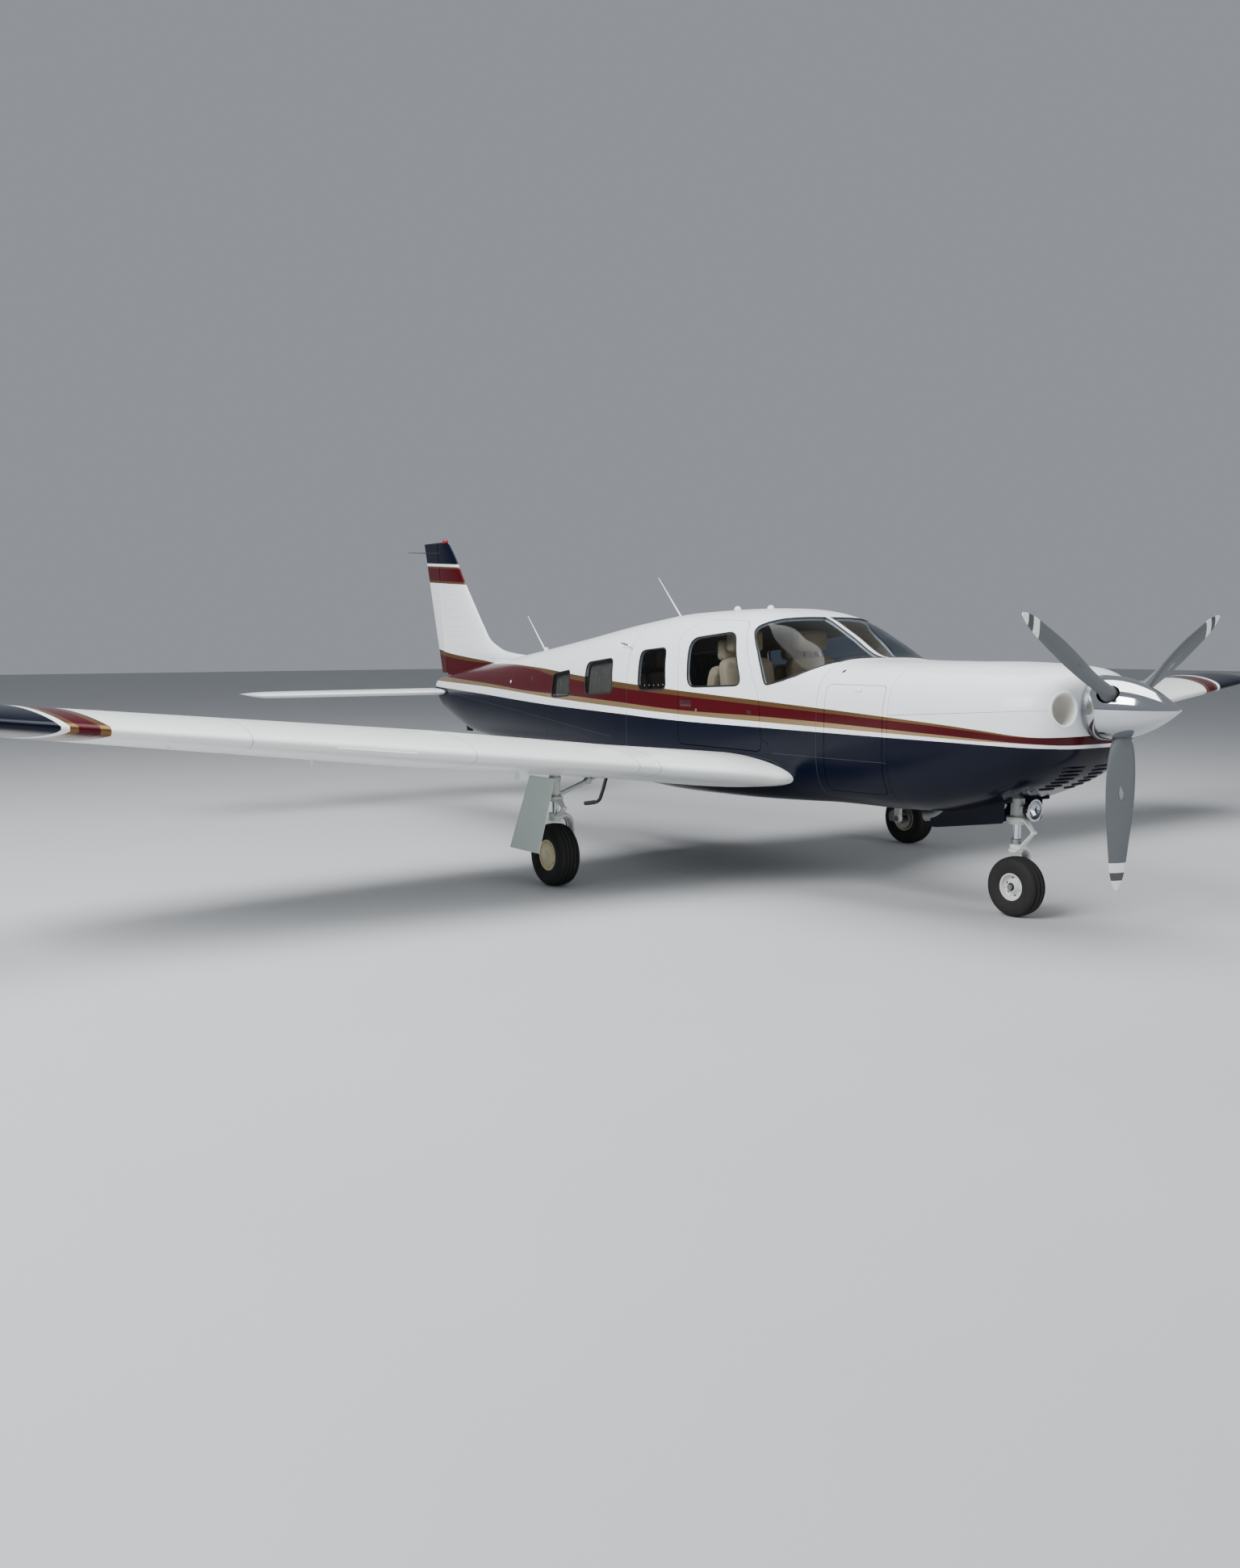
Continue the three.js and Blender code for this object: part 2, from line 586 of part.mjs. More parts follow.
function noseStrut() {
  const { station } = NOSE;
  const centre = station + STRUT.behind;
  const { half, brace, trunnion } = STRUT;
  const wall = FIREWALL - 6;
  return joined(
    bar(point(centre, 0, STRUT.low), point(centre, 0, STRUT.top), STRUT.radius, STRUT.radius, 20),
    bar(point(centre, -half, trunnion), point(centre, half, trunnion), 22),
    bar(point(centre, -half + 30, trunnion), point(wall, -half + 30, trunnion - 40), brace),
    bar(point(centre, half - 30, trunnion), point(wall, half - 30, trunnion - 40), brace),
    bar(point(station + 20, 0, 700), point(wall, 0, 840), brace),
    box(FIREWALL - 14, FIREWALL - 2 * TOUCH_GAP, -half, half, 820, 900),
    box(station - 60, station, -22, 22, 620, 655),
  );
}

function landingLight() {
  const front = NOSE.station - 118;
  const profile = [[0, 0], [66, 0], [66, 22], [48, 50], [24, 57.4], [0, 57.4]];
  return turned(profile, point(front, 0, 637), new THREE.Vector3(-1, 0, 0), 28);
}

function noseFork() {
  const { station, radius, width } = NOSE;
  const crown = 2 * radius + 42;
  const arm = width / 2 + 24;
  const centre = station + STRUT.behind;
  const knee = point(station - 112, 0, 505);
  const collar = cut(
    bar(point(centre, 0, 560), point(centre, 0, 590), 62, 62, 20),
    bar(point(centre, 0, 550), point(centre, 0, 600), 46, 46, 20),
  );
  return joined(
    bar(point(centre, 0, crown - 10), point(centre, 0, 538), 22.5, 22.5, 20),
    box(station - 38, station + 38, -40, arm + 16, crown - 20, crown + 24),
    box(station - 30, station + 30, arm - 9, arm + 16, radius - 24, crown + 24),
    bar(point(station, -20, radius), point(station, arm + 20, radius), 12),
    collar,
    bar(point(centre - 54, 0, 575), knee, 11),
    bar(knee, point(station - 20, 0, crown + 8), 11),
  );
}

function noseGearDoor(side) {
  const outline = [[985, 720], [1540, 720], [1540, 487], [1500, 485], [1000, 562], [985, 575]]
    .map(([s, z]) => new THREE.Vector2(s, z));
  const [inner, outer] = [NOSE_WELL.half + 4, NOSE_WELL.half + 12];
  return cut(sidePrism(outline, side * inner, side * outer), hullGrown);
}

// Propeller blade rows: radius, chord, thickness, angle from the disc's plane
const BLADE_ROWS = [
  [120, 96, 96, 40],
  [200, 120, 70, 37],
  [275, 146, 44, 34],
  [365, 162, 28, 30],
  [450, 168, 22, 27],
  [580, 162, 17, 23],
  [690, 142, 14, 20],
  [800, 121, 11, 18],
  [860, 107, 9, 17],
  [915, 86, 8, 17],
  [955, 58, 6, 17],
  [PROP_RADIUS, 20, 5, 17],
];
const BLADE_ROOT = BLADE_ROWS[0][0];

function blade(turn, spare = 0) {
  const rings = BLADE_ROWS.map(([r, chord, thick, angle]) => {
    const ring = [];
    for (let i = 0; i < BLADE_SIDES; i++) {
      const a = (2 * Math.PI * (i + 0.5)) / BLADE_SIDES;
      const [u, v] = [(chord / 2 + spare) * Math.cos(a), (thick / 2 + spare) * Math.sin(a)];
      const pitch = degrees(angle);
      const across = u * Math.cos(pitch) - v * Math.sin(pitch);
      const ahead = u * Math.sin(pitch) + v * Math.cos(pitch);
      const radial = r + (r === BLADE_ROOT ? -spare : 0);
      const y = radial * Math.cos(turn) - across * Math.sin(turn);
      const z = radial * Math.sin(turn) + across * Math.cos(turn);
      ring.push(point(PROP_STATION - ahead, y, PROP_Z + z));
    }
    return ring;
  });
  return loft(rings);
}

const BLADE_ANGLES = [-90, 30, 150].map(degrees);

function spinner() {
  const profile = [];
  const { radius, base } = SPINNER;
  for (let i = 0; i <= SPINNER.steps; i++) {
    const t = i / SPINNER.steps;
    profile.push([radius * Math.sqrt(1 - (1 - t) ** 2) ** SPINNER.point, SPINNER.rim * t]);
  }
  profile.push([radius, base], [SHAFT.radius, base], [SHAFT.radius, SHAFT.rear], [0, SHAFT.rear]);
  const body = turned(profile, point(0, 0, PROP_Z), new THREE.Vector3(-1, 0, 0), 32);
  return cut(body, ...BLADE_ANGLES.map((turn) => blade(turn, TOUCH_GAP)));
}

// Fin and rudder, as outlines of station and height with a thickness at each height
const FIN_FRONT = [[6120, 1440], [6911, 1509], [7059, 1553], [7182, 1608], [7307, 1734], [7483, 1937],
  [7652, 2136], [7969, 2521]];
const RUDDER = {
  hingeLow: [7975, 1285], hingeHigh: [8196, 2535], tailLow: [8136, 1264], tailHigh: [LENGTH, 2562],
};
const hingeStation = (z) => THREE.MathUtils.mapLinear(z, RUDDER.hingeLow[1], RUDDER.hingeHigh[1],
  RUDDER.hingeLow[0], RUDDER.hingeHigh[0]);
const tailStation = (z) => THREE.MathUtils.mapLinear(z, RUDDER.tailLow[1], RUDDER.tailHigh[1],
  RUDDER.tailLow[0], RUDDER.tailHigh[0]);
const finHalf = (z) => THREE.MathUtils.mapLinear(z, 1285, 2562, 58, 26);
const RUDDER_NOSE = 0.72;

function frontStation(z) {
  const above = FIN_FRONT.findIndex(([, height]) => height >= z);
  const after = above < 0 ? FIN_FRONT.length - 1 : Math.max(1, above);
  const [low, high] = [FIN_FRONT[after - 1], FIN_FRONT[after]];
  return THREE.MathUtils.mapLinear(z, low[1], high[1], low[0], high[0]);
}

// A level ring of the fin: blunt at the hinge, full ahead of it, thin at the leading edge
function finRing(z, rear) {
  const front = frontStation(z);
  const chord = rear - front;
  const half = finHalf(z);
  const widths = [[0, 0.12], [0.02, 0.3], [0.08, 0.55], [0.25, 0.88], [0.5, 1], [0.8, 0.92], [1, 0.8]];
  const left = widths.map(([x, w]) => point(front + chord * x, half * w, z));
  const right = widths.map(([x, w]) => point(front + chord * x, -half * w, z));
  return [...left.reverse(), ...right];
}

function fin() {
  const heights = [1440, 1470, 1509, 1553, 1608, 1734, 1937, 2136, 2330, 2521];
  const rear = (z) => hingeStation(z) - 48 - MOVING_GAP;
  const blade = loft([...heights.map((z) => finRing(z, rear(z))), finRing(2560, rear(2560))]);
  const root = loft([1200, 1300, 1440].map((z) => {
    const front = 6500 + (z - 1440) * 0.4;
    const [half, stop] = [finHalf(z) * 0.8, rear(z)];
    return [[front, half * 0.3], [stop, half], [stop, -half], [front, -half * 0.3]]
      .map(([s, y]) => point(s, y, z));
  }));
  const top = 2560;
  const beacon = joined(
    bar(point(8055, 0, top - 8), point(8055, 0, top + 8), 30, 26),
    bar(point(8055, 0, top + 4), point(8055, 0, HEIGHT), 18, 14),
  );
  return cut(joined(blade, root, beacon), hullGrown);
}

function rudder() {
  const rings = [RUDDER.hingeLow[1], 1500, 1900, 2300, 2530].map((z) => {
    const [front, rear] = [hingeStation(z), tailStation(z)];
    const half = finHalf(z) * RUDDER_NOSE;
    return [[rear, 3], [front, half], [front, -half], [rear, -3]].map(([s, y]) => point(s, y, z));
  });
  const cap = [[LENGTH, 3], [8200, 20], [8200, -20], [LENGTH, -3]].map(([s, y]) => point(s, y, 2562));
  const low = point(RUDDER.hingeLow[0], 0, RUDDER.hingeLow[1]);
  const high = point(RUDDER.hingeHigh[0], 0, RUDDER.hingeHigh[1]);
  const nose = bar(low, high, finHalf(1285) * RUDDER_NOSE, finHalf(2535) * RUDDER_NOSE, 16);
  return joined(loft([...rings, cap]), nose.intersect(box(7000, 9000, -200, 200, 1278, 2535)));
}

// All-moving tailplane with its tab
// Rows: distance out, leading edge station, chord, half thickness
const STABILATOR_ROWS = [
  [168, 7790, 680, 32],
  [1700, 7900, 570, 29],
  [1880, 7925, 545, 26],
  [STABILATOR.y + 20, 8010, 460, 12],
];

function tailRing(y, front, chord, half) {
  const widths = [[0, 0.1], [0.04, 0.5], [0.15, 0.85], [0.35, 1], [0.7, 0.7], [1, 0.1]];
  const up = widths.map(([x, w]) => point(front + chord * x, y, STABILATOR.z + half * w));
  const down = widths.map(([x, w]) => point(front + chord * x, y, STABILATOR.z - half * w));
  return [...up.reverse(), ...down];
}

function stabilatorHalf(side) {
  return loft(STABILATOR_ROWS.map(([y, front, chord, half]) => tailRing(side * y, front, chord, half)));
}

const TAB = { inner: 190, outer: 1500, front: STABILATOR.tabFront, radius: 10 };

function tabBlock(side, inner, spare) {
  return box(TAB.front - spare, 8700, side * inner, side * (TAB.outer + spare), 900, 1300);
}

// A round bar on the tailplane's pivot line, through the tail cone
function acrossTail(radius) {
  const { pivot, z } = STABILATOR;
  return bar(point(pivot, -300, z), point(pivot, 300, z), radius);
}

function stabilator() {
  const spare = TAB.radius + MOVING_GAP;
  const halves = [1, -1].map((side) => stabilatorHalf(side).subtract(tabBlock(side, 100, spare)));
  return joined(...halves, acrossTail(STABILATOR.tube));
}

function antiServoTab() {
  const halves = [1, -1].map((side) => joined(
    stabilatorHalf(side).intersect(tabBlock(side, TAB.inner, 0)),
    bar(point(TAB.front, side * TAB.inner, STABILATOR.z), point(TAB.front, side * TAB.outer, STABILATOR.z),
      TAB.radius, TAB.radius, 12),
  ));
  const yoke = box(8405, 8430, -TAB.inner - 10, TAB.inner + 10, STABILATOR.z - 6, STABILATOR.z + 6);
  return joined(...halves, yoke);
}

// Tail cone: hollow, open towards the cabin, with a hole for the tailplane's tube and a skid
function tailCone() {
  const block = hull.intersect(slab(CABIN_END + TOUCH_GAP, TAIL_END + 1));
  const hollow = fuselageBody(TAIL_WALL, CABIN_END - 50, 8120);
  const skid = box(7560, 7640, -14, 14, 735, 840);
  return cut(joined(cut(block, hollow), skid), acrossTail(STABILATOR.hole), rudderSlot());
}

function rudderSlot() {
  return box(7900, 8300, -90, 90, 1268, 1500);
}

// Furniture
const FLOOR = { low: 742, top: 762, front: 2056, rear: 5300 };

function cabinFloor() {
  return fuselageBody(CABIN_WALL + TOUCH_GAP).intersect(slab(FLOOR.front, FLOOR.rear, FLOOR.low, FLOOR.top));
}

// Instrument panel with a glare shield over it, a pedestal and two control wheels
const YOKE = { y: 270, z: 1230, rear: 2270, half: 120 };

function instrumentPanel() {
  const [top, under] = [1432, BAY.deck + TOUCH_GAP];
  const [front, face, low] = [2054, 2130, 1130];
  const shape = [[1700, top], [2205, top], [2185, 1395], [face, 1380], [face, low], [front, low],
    [front, under], [1700, under]].map(([s, z]) => new THREE.Vector2(s, z));
  const panelBlock = sidePrism(shape, -620, 620);
  const { y, z, rear, half } = YOKE;
  const yokes = [1, -1].map((side) => joined(
    bar(point(face - 10, side * y, z), point(rear, side * y, z), 14),
    box(rear - 8, rear + 12, side * (y - half), side * (y + half), z - 15, z + 15),
    box(rear - 15, rear + 20, side * (y - half), side * (y - half + 30), z - 15, z + 95),
    box(rear - 15, rear + 20, side * (y + half - 30), side * (y + half), z - 15, z + 95),
  ));
  const pedestal = box(2100, 2200, -70, 70, FLOOR.top + TOUCH_GAP, 1200);
  return joined(panelBlock, pedestal, ...yokes).intersect(fuselageBody(CABIN_WALL + TOUCH_GAP));
}

// A seat: pedestal, cushion, sloping back and headrest, facing forward or aft
function seat(front, y, width, facing, backTop) {
  const low = FLOOR.top + TOUCH_GAP;
  const go = (d) => front + facing * d;
  const profile = [[0, 1040], [0, 1130], [60, 1150], [400, 1125], [500, backTop], [590, backTop], [560, 1100],
    [540, 1030]].map(([d, z]) => new THREE.Vector2(go(d), z));
  const legs = [[60, 110], [440, 490]].map(([a, b]) =>
    box(go(a), go(b), y - width / 2 + 40, y + width / 2 - 40, low, 1060));
  const head = box(go(490), go(590), y - 150, y + 150, backTop + 15, backTop + 185);
  const posts = box(go(530), go(550), y - 60, y + 60, backTop - 20, backTop + 40);
  const body = sidePrism(profile, y - width / 2, y + width / 2);
  return joined(body, ...legs, head, posts);
}

const SEATS = [
  ["front_seat_left", 2600, 300, 480, 1, 1500],
  ["front_seat_right", 2600, -300, 480, 1, 1500],
  ["middle_seat_left", 3790, 290, 440, -1, 1440],
  ["middle_seat_right", 3790, -290, 440, -1, 1440],
];

function rearBench() {
  const [left, right] = [1, -1].map((side) => seat(4180, side * 225, 452, 1, 1360));
  return joined(left, right);
}

// Boarding step behind the right wing
const STEP_RADIUS = 14;

function boardingStep() {
  const start = point(4397, -560, 640);
  const bend = point(4458, -620, 391);
  const end = point(4598, -660, 362);
  const elbow = bar(point(4456, -618, 396), point(4462, -622, 387), STEP_RADIUS + 1);
  const leg = joined(bar(start, bend, STEP_RADIUS), bar(bend, end, STEP_RADIUS), elbow);
  return cut(leg, hullGrown);
}

// Colours, roughness and metalness of the finishes
const FINISHES = {
  white_paint: [0xe9ebea, 0.25, 0.0],
  navy_paint: [0x10162c, 0.2, 0.0],
  pearl_paint: [0xd6d9d8, 0.3, 0.2],
  chrome: [0xd8dadd, 0.08, 1.0],
  blade_paint: [0x6f7478, 0.4, 0.1],
  clear_acrylic: [0x9fb4c0, 0.05, 0.0],
  rubber: [0x17181a, 0.8, 0.0],
  hub_paint: [0xcdbf95, 0.45, 0.1],
  gear_paint: [0xc9cdc9, 0.4, 0.1],
  cast_metal: [0x70757a, 0.5, 0.7],
  leather: [0xcbb79b, 0.55, 0.0],
  panel_black: [0x1b1c1f, 0.6, 0.0],
  carpet: [0x4a4238, 0.95, 0.0],
  step_rubber: [0x121315, 0.7, 0.0],
  lamp_lens: [0xcfd8dc, 0.1, 0.2],
};

const group = new THREE.Group();

function place(name, solid, finish) {
  const [color, roughness, metalness] = FINISHES[finish];
  const material = new THREE.MeshStandardMaterial({ color, roughness, metalness });
  const mesh = new THREE.Mesh(fromSolid(solid), material);
  mesh.name = name;
  group.add(mesh);
}

function placeFuselage() {
  place("cowl_upper", cowlHalf(1), "white_paint");
  place("cowl_lower", cowlHalf(-1), "navy_paint");
  place("engine_block", engineBlock(), "cast_metal");
  place("cabin_shell", cabinShell, "white_paint");
  place("tail_cone", tailCone(), "white_paint");
  place("windscreen_left", glassLayer.intersect(windscreenPrism(1, TOUCH_GAP)), "clear_acrylic");
  place("windscreen_right", glassLayer.intersect(windscreenPrism(-1, TOUCH_GAP)), "clear_acrylic");
  for (const [name, solid] of Object.entries(doorSolids)) place(name, solid, "white_paint");
}

// Which body holds each side's windows: doors take the ones inside them
function placeWindows() {
  const inDoor = { right: { door_window: "front_door_window" }, left: {
    fourth_window: "rear_door_window", fifth_window: "utility_door_window" } };
  for (const [sideName, side] of [["right", -1], ["left", 1]]) {
    for (const { name, outline } of SIDE_WINDOWS) {
      const plain = `${sideName}_${name === "door_window" ? "second_window" : name}`;
      place(inDoor[sideName][name] ?? plain, pane(outline, side), "clear_acrylic");
    }
  }
}

function placeWings() {
  for (const [sideName, side] of [["left", 1], ["right", -1]]) {
    const pieces = wingWithSurfaces(side);
    place(`wing_${sideName}`, pieces.wing, "pearl_paint");
    place(`flap_${sideName}`, pieces.flap, "pearl_paint");
    place(`aileron_${sideName}`, pieces.aileron, "pearl_paint");
    place(`wing_tip_${sideName}`, wingTip(side), "navy_paint");
    place(`main_gear_leg_${sideName}`, mainLeg(side), "gear_paint");
    place(`gear_door_${sideName}`, gearDoor(side), "gear_paint");
    place(`main_tyre_${sideName}`, tyre(MAIN, side * MAIN.y), "rubber");
    const faces = side > 0 ? [-30, 62] : [-62, 30];
    place(`main_hub_${sideName}`, hub(MAIN, side * MAIN.y, 18, faces), "hub_paint");
    place(`nose_gear_door_${sideName}`, noseGearDoor(side), "navy_paint");
  }
}

function placeNoseAndTail() {
  place("nose_gear_strut", noseStrut(), "gear_paint");
  place("landing_light", landingLight(), "lamp_lens");
  place("nose_fork", noseFork(), "gear_paint");
  place("nose_tyre", tyre(NOSE, 0), "rubber");
  place("nose_hub", hub(NOSE, 0, 14, [-45, 45]), "gear_paint");
  place("spinner", spinner(), "chrome");
  BLADE_ANGLES.forEach((turn, i) => place(`propeller_blade_${i + 1}`, blade(turn), "blade_paint"));
  place("fin", fin(), "white_paint");
  place("rudder", rudder(), "white_paint");
  place("stabilator", stabilator(), "pearl_paint");
  place("anti_servo_tab", antiServoTab(), "pearl_paint");
  place("boarding_step", boardingStep(), "step_rubber");
}

function placeCabin() {
  place("cabin_floor", cabinFloor(), "carpet");
  place("instrument_panel", instrumentPanel(), "panel_black");
  for (const [name, ...size] of SEATS) place(name, seat(...size), "leather");
  place("rear_seats", rearBench(), "leather");
}

placeFuselage();
placeWindows();
placeWings();
placeNoseAndTail();
placeCabin();

export default group;
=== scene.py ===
"""Light aircraft, dressed: a low-wing single-engine touring aeroplane on retractable tricycle gear.

Metres, +X towards the nose, +Y to the left wing, +Z up, with the origin on the ground. Tables are in
millimetres. A station is a distance aft of the spinner's tip, so X is half the length less the station.
"""
import logging
import math
from dataclasses import dataclass
from enum import Enum

import bmesh
import bpy
import numpy as np
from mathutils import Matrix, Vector
from mathutils.geometry import delaunay_2d_cdt

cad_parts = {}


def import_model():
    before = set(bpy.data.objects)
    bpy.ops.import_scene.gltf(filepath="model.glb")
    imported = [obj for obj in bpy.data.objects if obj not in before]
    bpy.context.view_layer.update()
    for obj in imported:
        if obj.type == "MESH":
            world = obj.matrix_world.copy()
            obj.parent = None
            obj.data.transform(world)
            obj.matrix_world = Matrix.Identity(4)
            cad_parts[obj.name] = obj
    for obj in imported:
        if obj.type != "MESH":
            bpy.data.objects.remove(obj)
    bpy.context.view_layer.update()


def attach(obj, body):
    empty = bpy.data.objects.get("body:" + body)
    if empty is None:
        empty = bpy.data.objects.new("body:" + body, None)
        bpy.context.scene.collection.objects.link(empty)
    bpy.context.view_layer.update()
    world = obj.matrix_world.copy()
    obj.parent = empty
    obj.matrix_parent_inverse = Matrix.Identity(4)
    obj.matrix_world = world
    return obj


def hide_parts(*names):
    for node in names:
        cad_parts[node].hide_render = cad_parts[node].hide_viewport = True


Array = np.ndarray
MM = 0.001
HALF_LENGTH = 4.25
PROP_HEIGHT = 1.245
log = logging.getLogger("aircraft")


# Shared arithmetic
def between(rows: Array, at: Array) -> Array:
    """Table values at any key, by cubic pieces that never overshoot the rows.

    Args:
        rows: A table whose first column is the key, in rising order.
        at: The keys that are wanted.

    Returns:
        One row of values for each key: cubic pieces through the rows, each slope the weighted harmonic
        mean of its two neighbours, or none where they differ in sign.
    """
    key, value = rows[:, 0], rows[:, 1:]
    step = np.diff(key)[:, None]
    rise = np.diff(value, axis=0) / step
    slope = np.zeros_like(value)
    before, after = rise[:-1], rise[1:]
    weight_a, weight_b = 2 * step[1:] + step[:-1], step[1:] + 2 * step[:-1]
    agree = before * after > 0
    safe_a, safe_b = np.where(agree, before, 1.0), np.where(agree, after, 1.0)
    slope[1:-1] = np.where(agree, (weight_a + weight_b) / (weight_a / safe_a + weight_b / safe_b), 0)
    slope[0], slope[-1] = rise[0], rise[-1]
    i = np.clip(np.searchsorted(key, at, side="right") - 1, 0, len(key) - 2)
    h = step[i]
    t = np.clip((at - key[i])[:, None] / h, 0, 1)
    return ((1 + 2 * t) * (1 - t) ** 2 * value[i] + t * (1 - t) ** 2 * h * slope[i]
            + t * t * (3 - 2 * t) * value[i + 1] + t * t * (t - 1) * h * slope[i + 1])


def along(points: Array, count: int) -> Array:
    """A smooth path of count points through a few given points, evenly spaced by chord length.

    Args:
        points: The given points.
        count: How many points are wanted.

    Returns:
        The path's points.
    """
    points = np.asarray(points, float)
    reach = np.concatenate([[0.0], np.cumsum(np.linalg.norm(np.diff(points, axis=0), axis=1))])
    return between(np.column_stack([reach, points]), np.linspace(0, reach[-1], count))


def unit(vectors: Array) -> Array:
    """Vectors scaled to length one."""
    return vectors / np.maximum(np.linalg.norm(vectors, axis=-1, keepdims=True), 1e-12)


def at(station: float, y: float, z: float) -> Array:
    """A point from a station, a side distance and a height in millimetres."""
    return np.array([HALF_LENGTH - station * MM, y * MM, z * MM])


def rounded(corners: Array, radius: float, steps: int = 6) -> Array:
    """An outline whose corners are arcs: curves of second order from edge to edge about each corner.

    Args:
        corners: The corners.
        radius: The radius of the corners.
        steps: Steps in each arc.

    Returns:
        The new outline.
    """
    corners = np.asarray(corners, float)
    back = np.roll(corners, 1, axis=0) - corners
    ahead = np.roll(corners, -1, axis=0) - corners
    lengths = [np.linalg.norm(way, axis=1, keepdims=True) for way in (back, ahead)]
    reach = np.minimum(radius, 0.48 * np.minimum(*lengths))
    start, end = corners + back / lengths[0] * reach, corners + ahead / lengths[1] * reach
    t = np.linspace(0, 1, steps + 1)[None, :, None]
    curve = (1 - t) ** 2 * start[:, None] + 2 * t * (1 - t) * corners[:, None] + t * t * end[:, None]
    return curve.reshape(-1, 2)


def resampled(outline: Array, step: float) -> Array:
    """A closed outline with its long edges split so that no two points are further apart than step.

    Args:
        outline: The closed outline.
        step: The longest step.

    Returns:
        The new outline.
    """
    ahead = np.roll(outline, -1, axis=0)
    lengths = np.linalg.norm(ahead - outline, axis=1)
    kept = lengths > 1e-6
    counts = np.maximum(1, np.ceil(lengths[kept] / step).astype(int))
    first = np.repeat(np.cumsum(counts) - counts, counts)
    share = ((np.arange(counts.sum()) - first) / np.repeat(counts, counts))[:, None]
    return np.repeat(outline[kept], counts, axis=0) * (1 - share) + np.repeat(
        ahead[kept], counts, axis=0) * share


def inset(outline: Array, amount: float) -> Array:
    """A closed outline moved inwards by an amount along its own normals, or outwards if negative.

    Args:
        outline: The closed outline.
        amount: How far.

    Returns:
        The new outline.
    """
    tangent = unit(np.roll(outline, -1, axis=0) - np.roll(outline, 1, axis=0))
    normal = np.column_stack([-tangent[:, 1], tangent[:, 0]])
    x, y = outline.T
    turn = np.sum(x * np.roll(y, -1) - np.roll(x, -1) * y)
    return outline + normal * amount * (1 if turn > 0 else -1)


def inside(points: Array, outline: Array) -> Array:
    """Whether each point lies in a closed outline: a ray towards +X crosses it an odd number of times.

    Args:
        points: The points to test.
        outline: The closed outline.

    Returns:
        True or false for each point.
    """
    ax, ay = outline.T
    bx, by = np.roll(outline, -1, axis=0).T
    px, py = points[:, :1], points[:, 1:]
    spans = (ay > py) != (by > py)
    cross_x = ax + (py - ay) * (bx - ax) / np.where(by == ay, 1e-12, by - ay)
    return (spans & (px < cross_x)).sum(axis=1) % 2 == 1


def distance_to(points: Array, outline: Array) -> Array:
    """The distance from each point to the nearest corner of a closely sampled outline."""
    gaps = points[:, None, :] - outline[None, :, :]
    return np.sqrt((gaps ** 2).sum(axis=2).min(axis=1))


# Meshes
class Solid:
    """Blocks of points and faces that become one object."""

    def __init__(self) -> None:
        """Starts with no blocks."""
        self.points: list[Array] = []
        self.faces: list[tuple[Array, int]] = []
        self.count = 0

    def add(self, points: Array, faces: Array, finish: int = 0) -> "Solid":
        """Adds points, and faces that number them from zero, in one of the object's finishes.

        Args:
            points: The new points.
            faces: Rows of point numbers, one row a face.
            finish: The number of the finish.

        Returns:
            This solid.
        """
        points = np.asarray(points, float).reshape(-1, 3)
        self.points.append(points)
        self.faces.append((np.asarray(faces, int) + self.count, finish))
        self.count += len(points)
        return self

    def grid(self, surface: Array, finish: int = 0, wrap: tuple[bool, bool] = (False, False),
             keep: Array | None = None) -> "Solid":
        """Adds a grid of points as quads.

        Args:
            surface: Points as rows, columns and coordinates.
            finish: The number of the finish.
            wrap: Whether the last row joins the first, and the last column the first.
            keep: Which quads are made, or all.

        Returns:
            This solid.
        """
        rows, columns = surface.shape[:2]
        index = np.arange(rows * columns).reshape(rows, columns)
        if wrap[0]:
            index = np.vstack([index, index[:1]])
        if wrap[1]:
            index = np.hstack([index, index[:, :1]])
        quads = np.stack([index[:-1, :-1], index[1:, :-1], index[1:, 1:], index[:-1, 1:]], axis=-1)
        return self.add(surface, quads[keep] if keep is not None else quads.reshape(-1, 4), finish)

    def fan(self, ring: Array, centre: Array, finish: int = 0) -> "Solid":
        """Closes a ring of points with triangles to a centre.

        Args:
            ring: The points, in order.
            centre: The point in the middle.
            finish: The number of the finish.

        Returns:
            This solid.
        """
        count = len(ring)
        i = np.arange(count)
        faces = np.column_stack([i, (i + 1) % count, np.full(count, count)])
        return self.add(np.vstack([ring, centre]), faces, finish)

    def build(self, name: str, materials: list, closed: bool = True, crease: float = 32.0,
              merge: float = 2e-5) -> bpy.types.Object:
        """Makes the object: doubles merged, faces turned outwards, smooth except over creases.

        Args:
            name: The object's name.
            materials: Its finishes, in the order of their numbers.
            closed: Whether the faces are turned outwards by Blender.
            crease: The angle in degrees past which an edge stays sharp.
            merge: The distance within which points are one.

        Returns:
            The new object, linked to the scene.
        """
        mesh = bpy.data.meshes.new(name)
        points = np.concatenate(self.points)
        loops = np.concatenate([faces.reshape(-1) for faces, _ in self.faces])
        totals = np.concatenate([np.full(len(faces), faces.shape[1]) for faces, _ in self.faces])
        finishes = np.concatenate([np.full(len(faces), finish) for faces, finish in self.faces])
        mesh.vertices.add(len(points))
        mesh.vertices.foreach_set("co", points.astype(np.float32).reshape(-1))
        mesh.loops.add(len(loops))
        mesh.loops.foreach_set("vertex_index", loops.astype(np.int32))
        mesh.polygons.add(len(totals))
        mesh.polygons.foreach_set("loop_start", (np.cumsum(totals) - totals).astype(np.int32))
        mesh.polygons.foreach_set("material_index", finishes.astype(np.int32))
        mesh.update(calc_edges=True)
        mesh.validate()
        if merge or closed:
            work = bmesh.new()
            work.from_mesh(mesh)
            bmesh.ops.remove_doubles(work, verts=work.verts, dist=merge)
            bmesh.ops.dissolve_degenerate(work, edges=work.edges, dist=1e-6)
            if closed:
                bmesh.ops.recalc_face_normals(work, faces=work.faces)
            work.to_mesh(mesh)
            work.free()
        mesh.shade_smooth()
        mesh.set_sharp_from_angle(angle=math.radians(crease))
        return linked(name, mesh, materials)


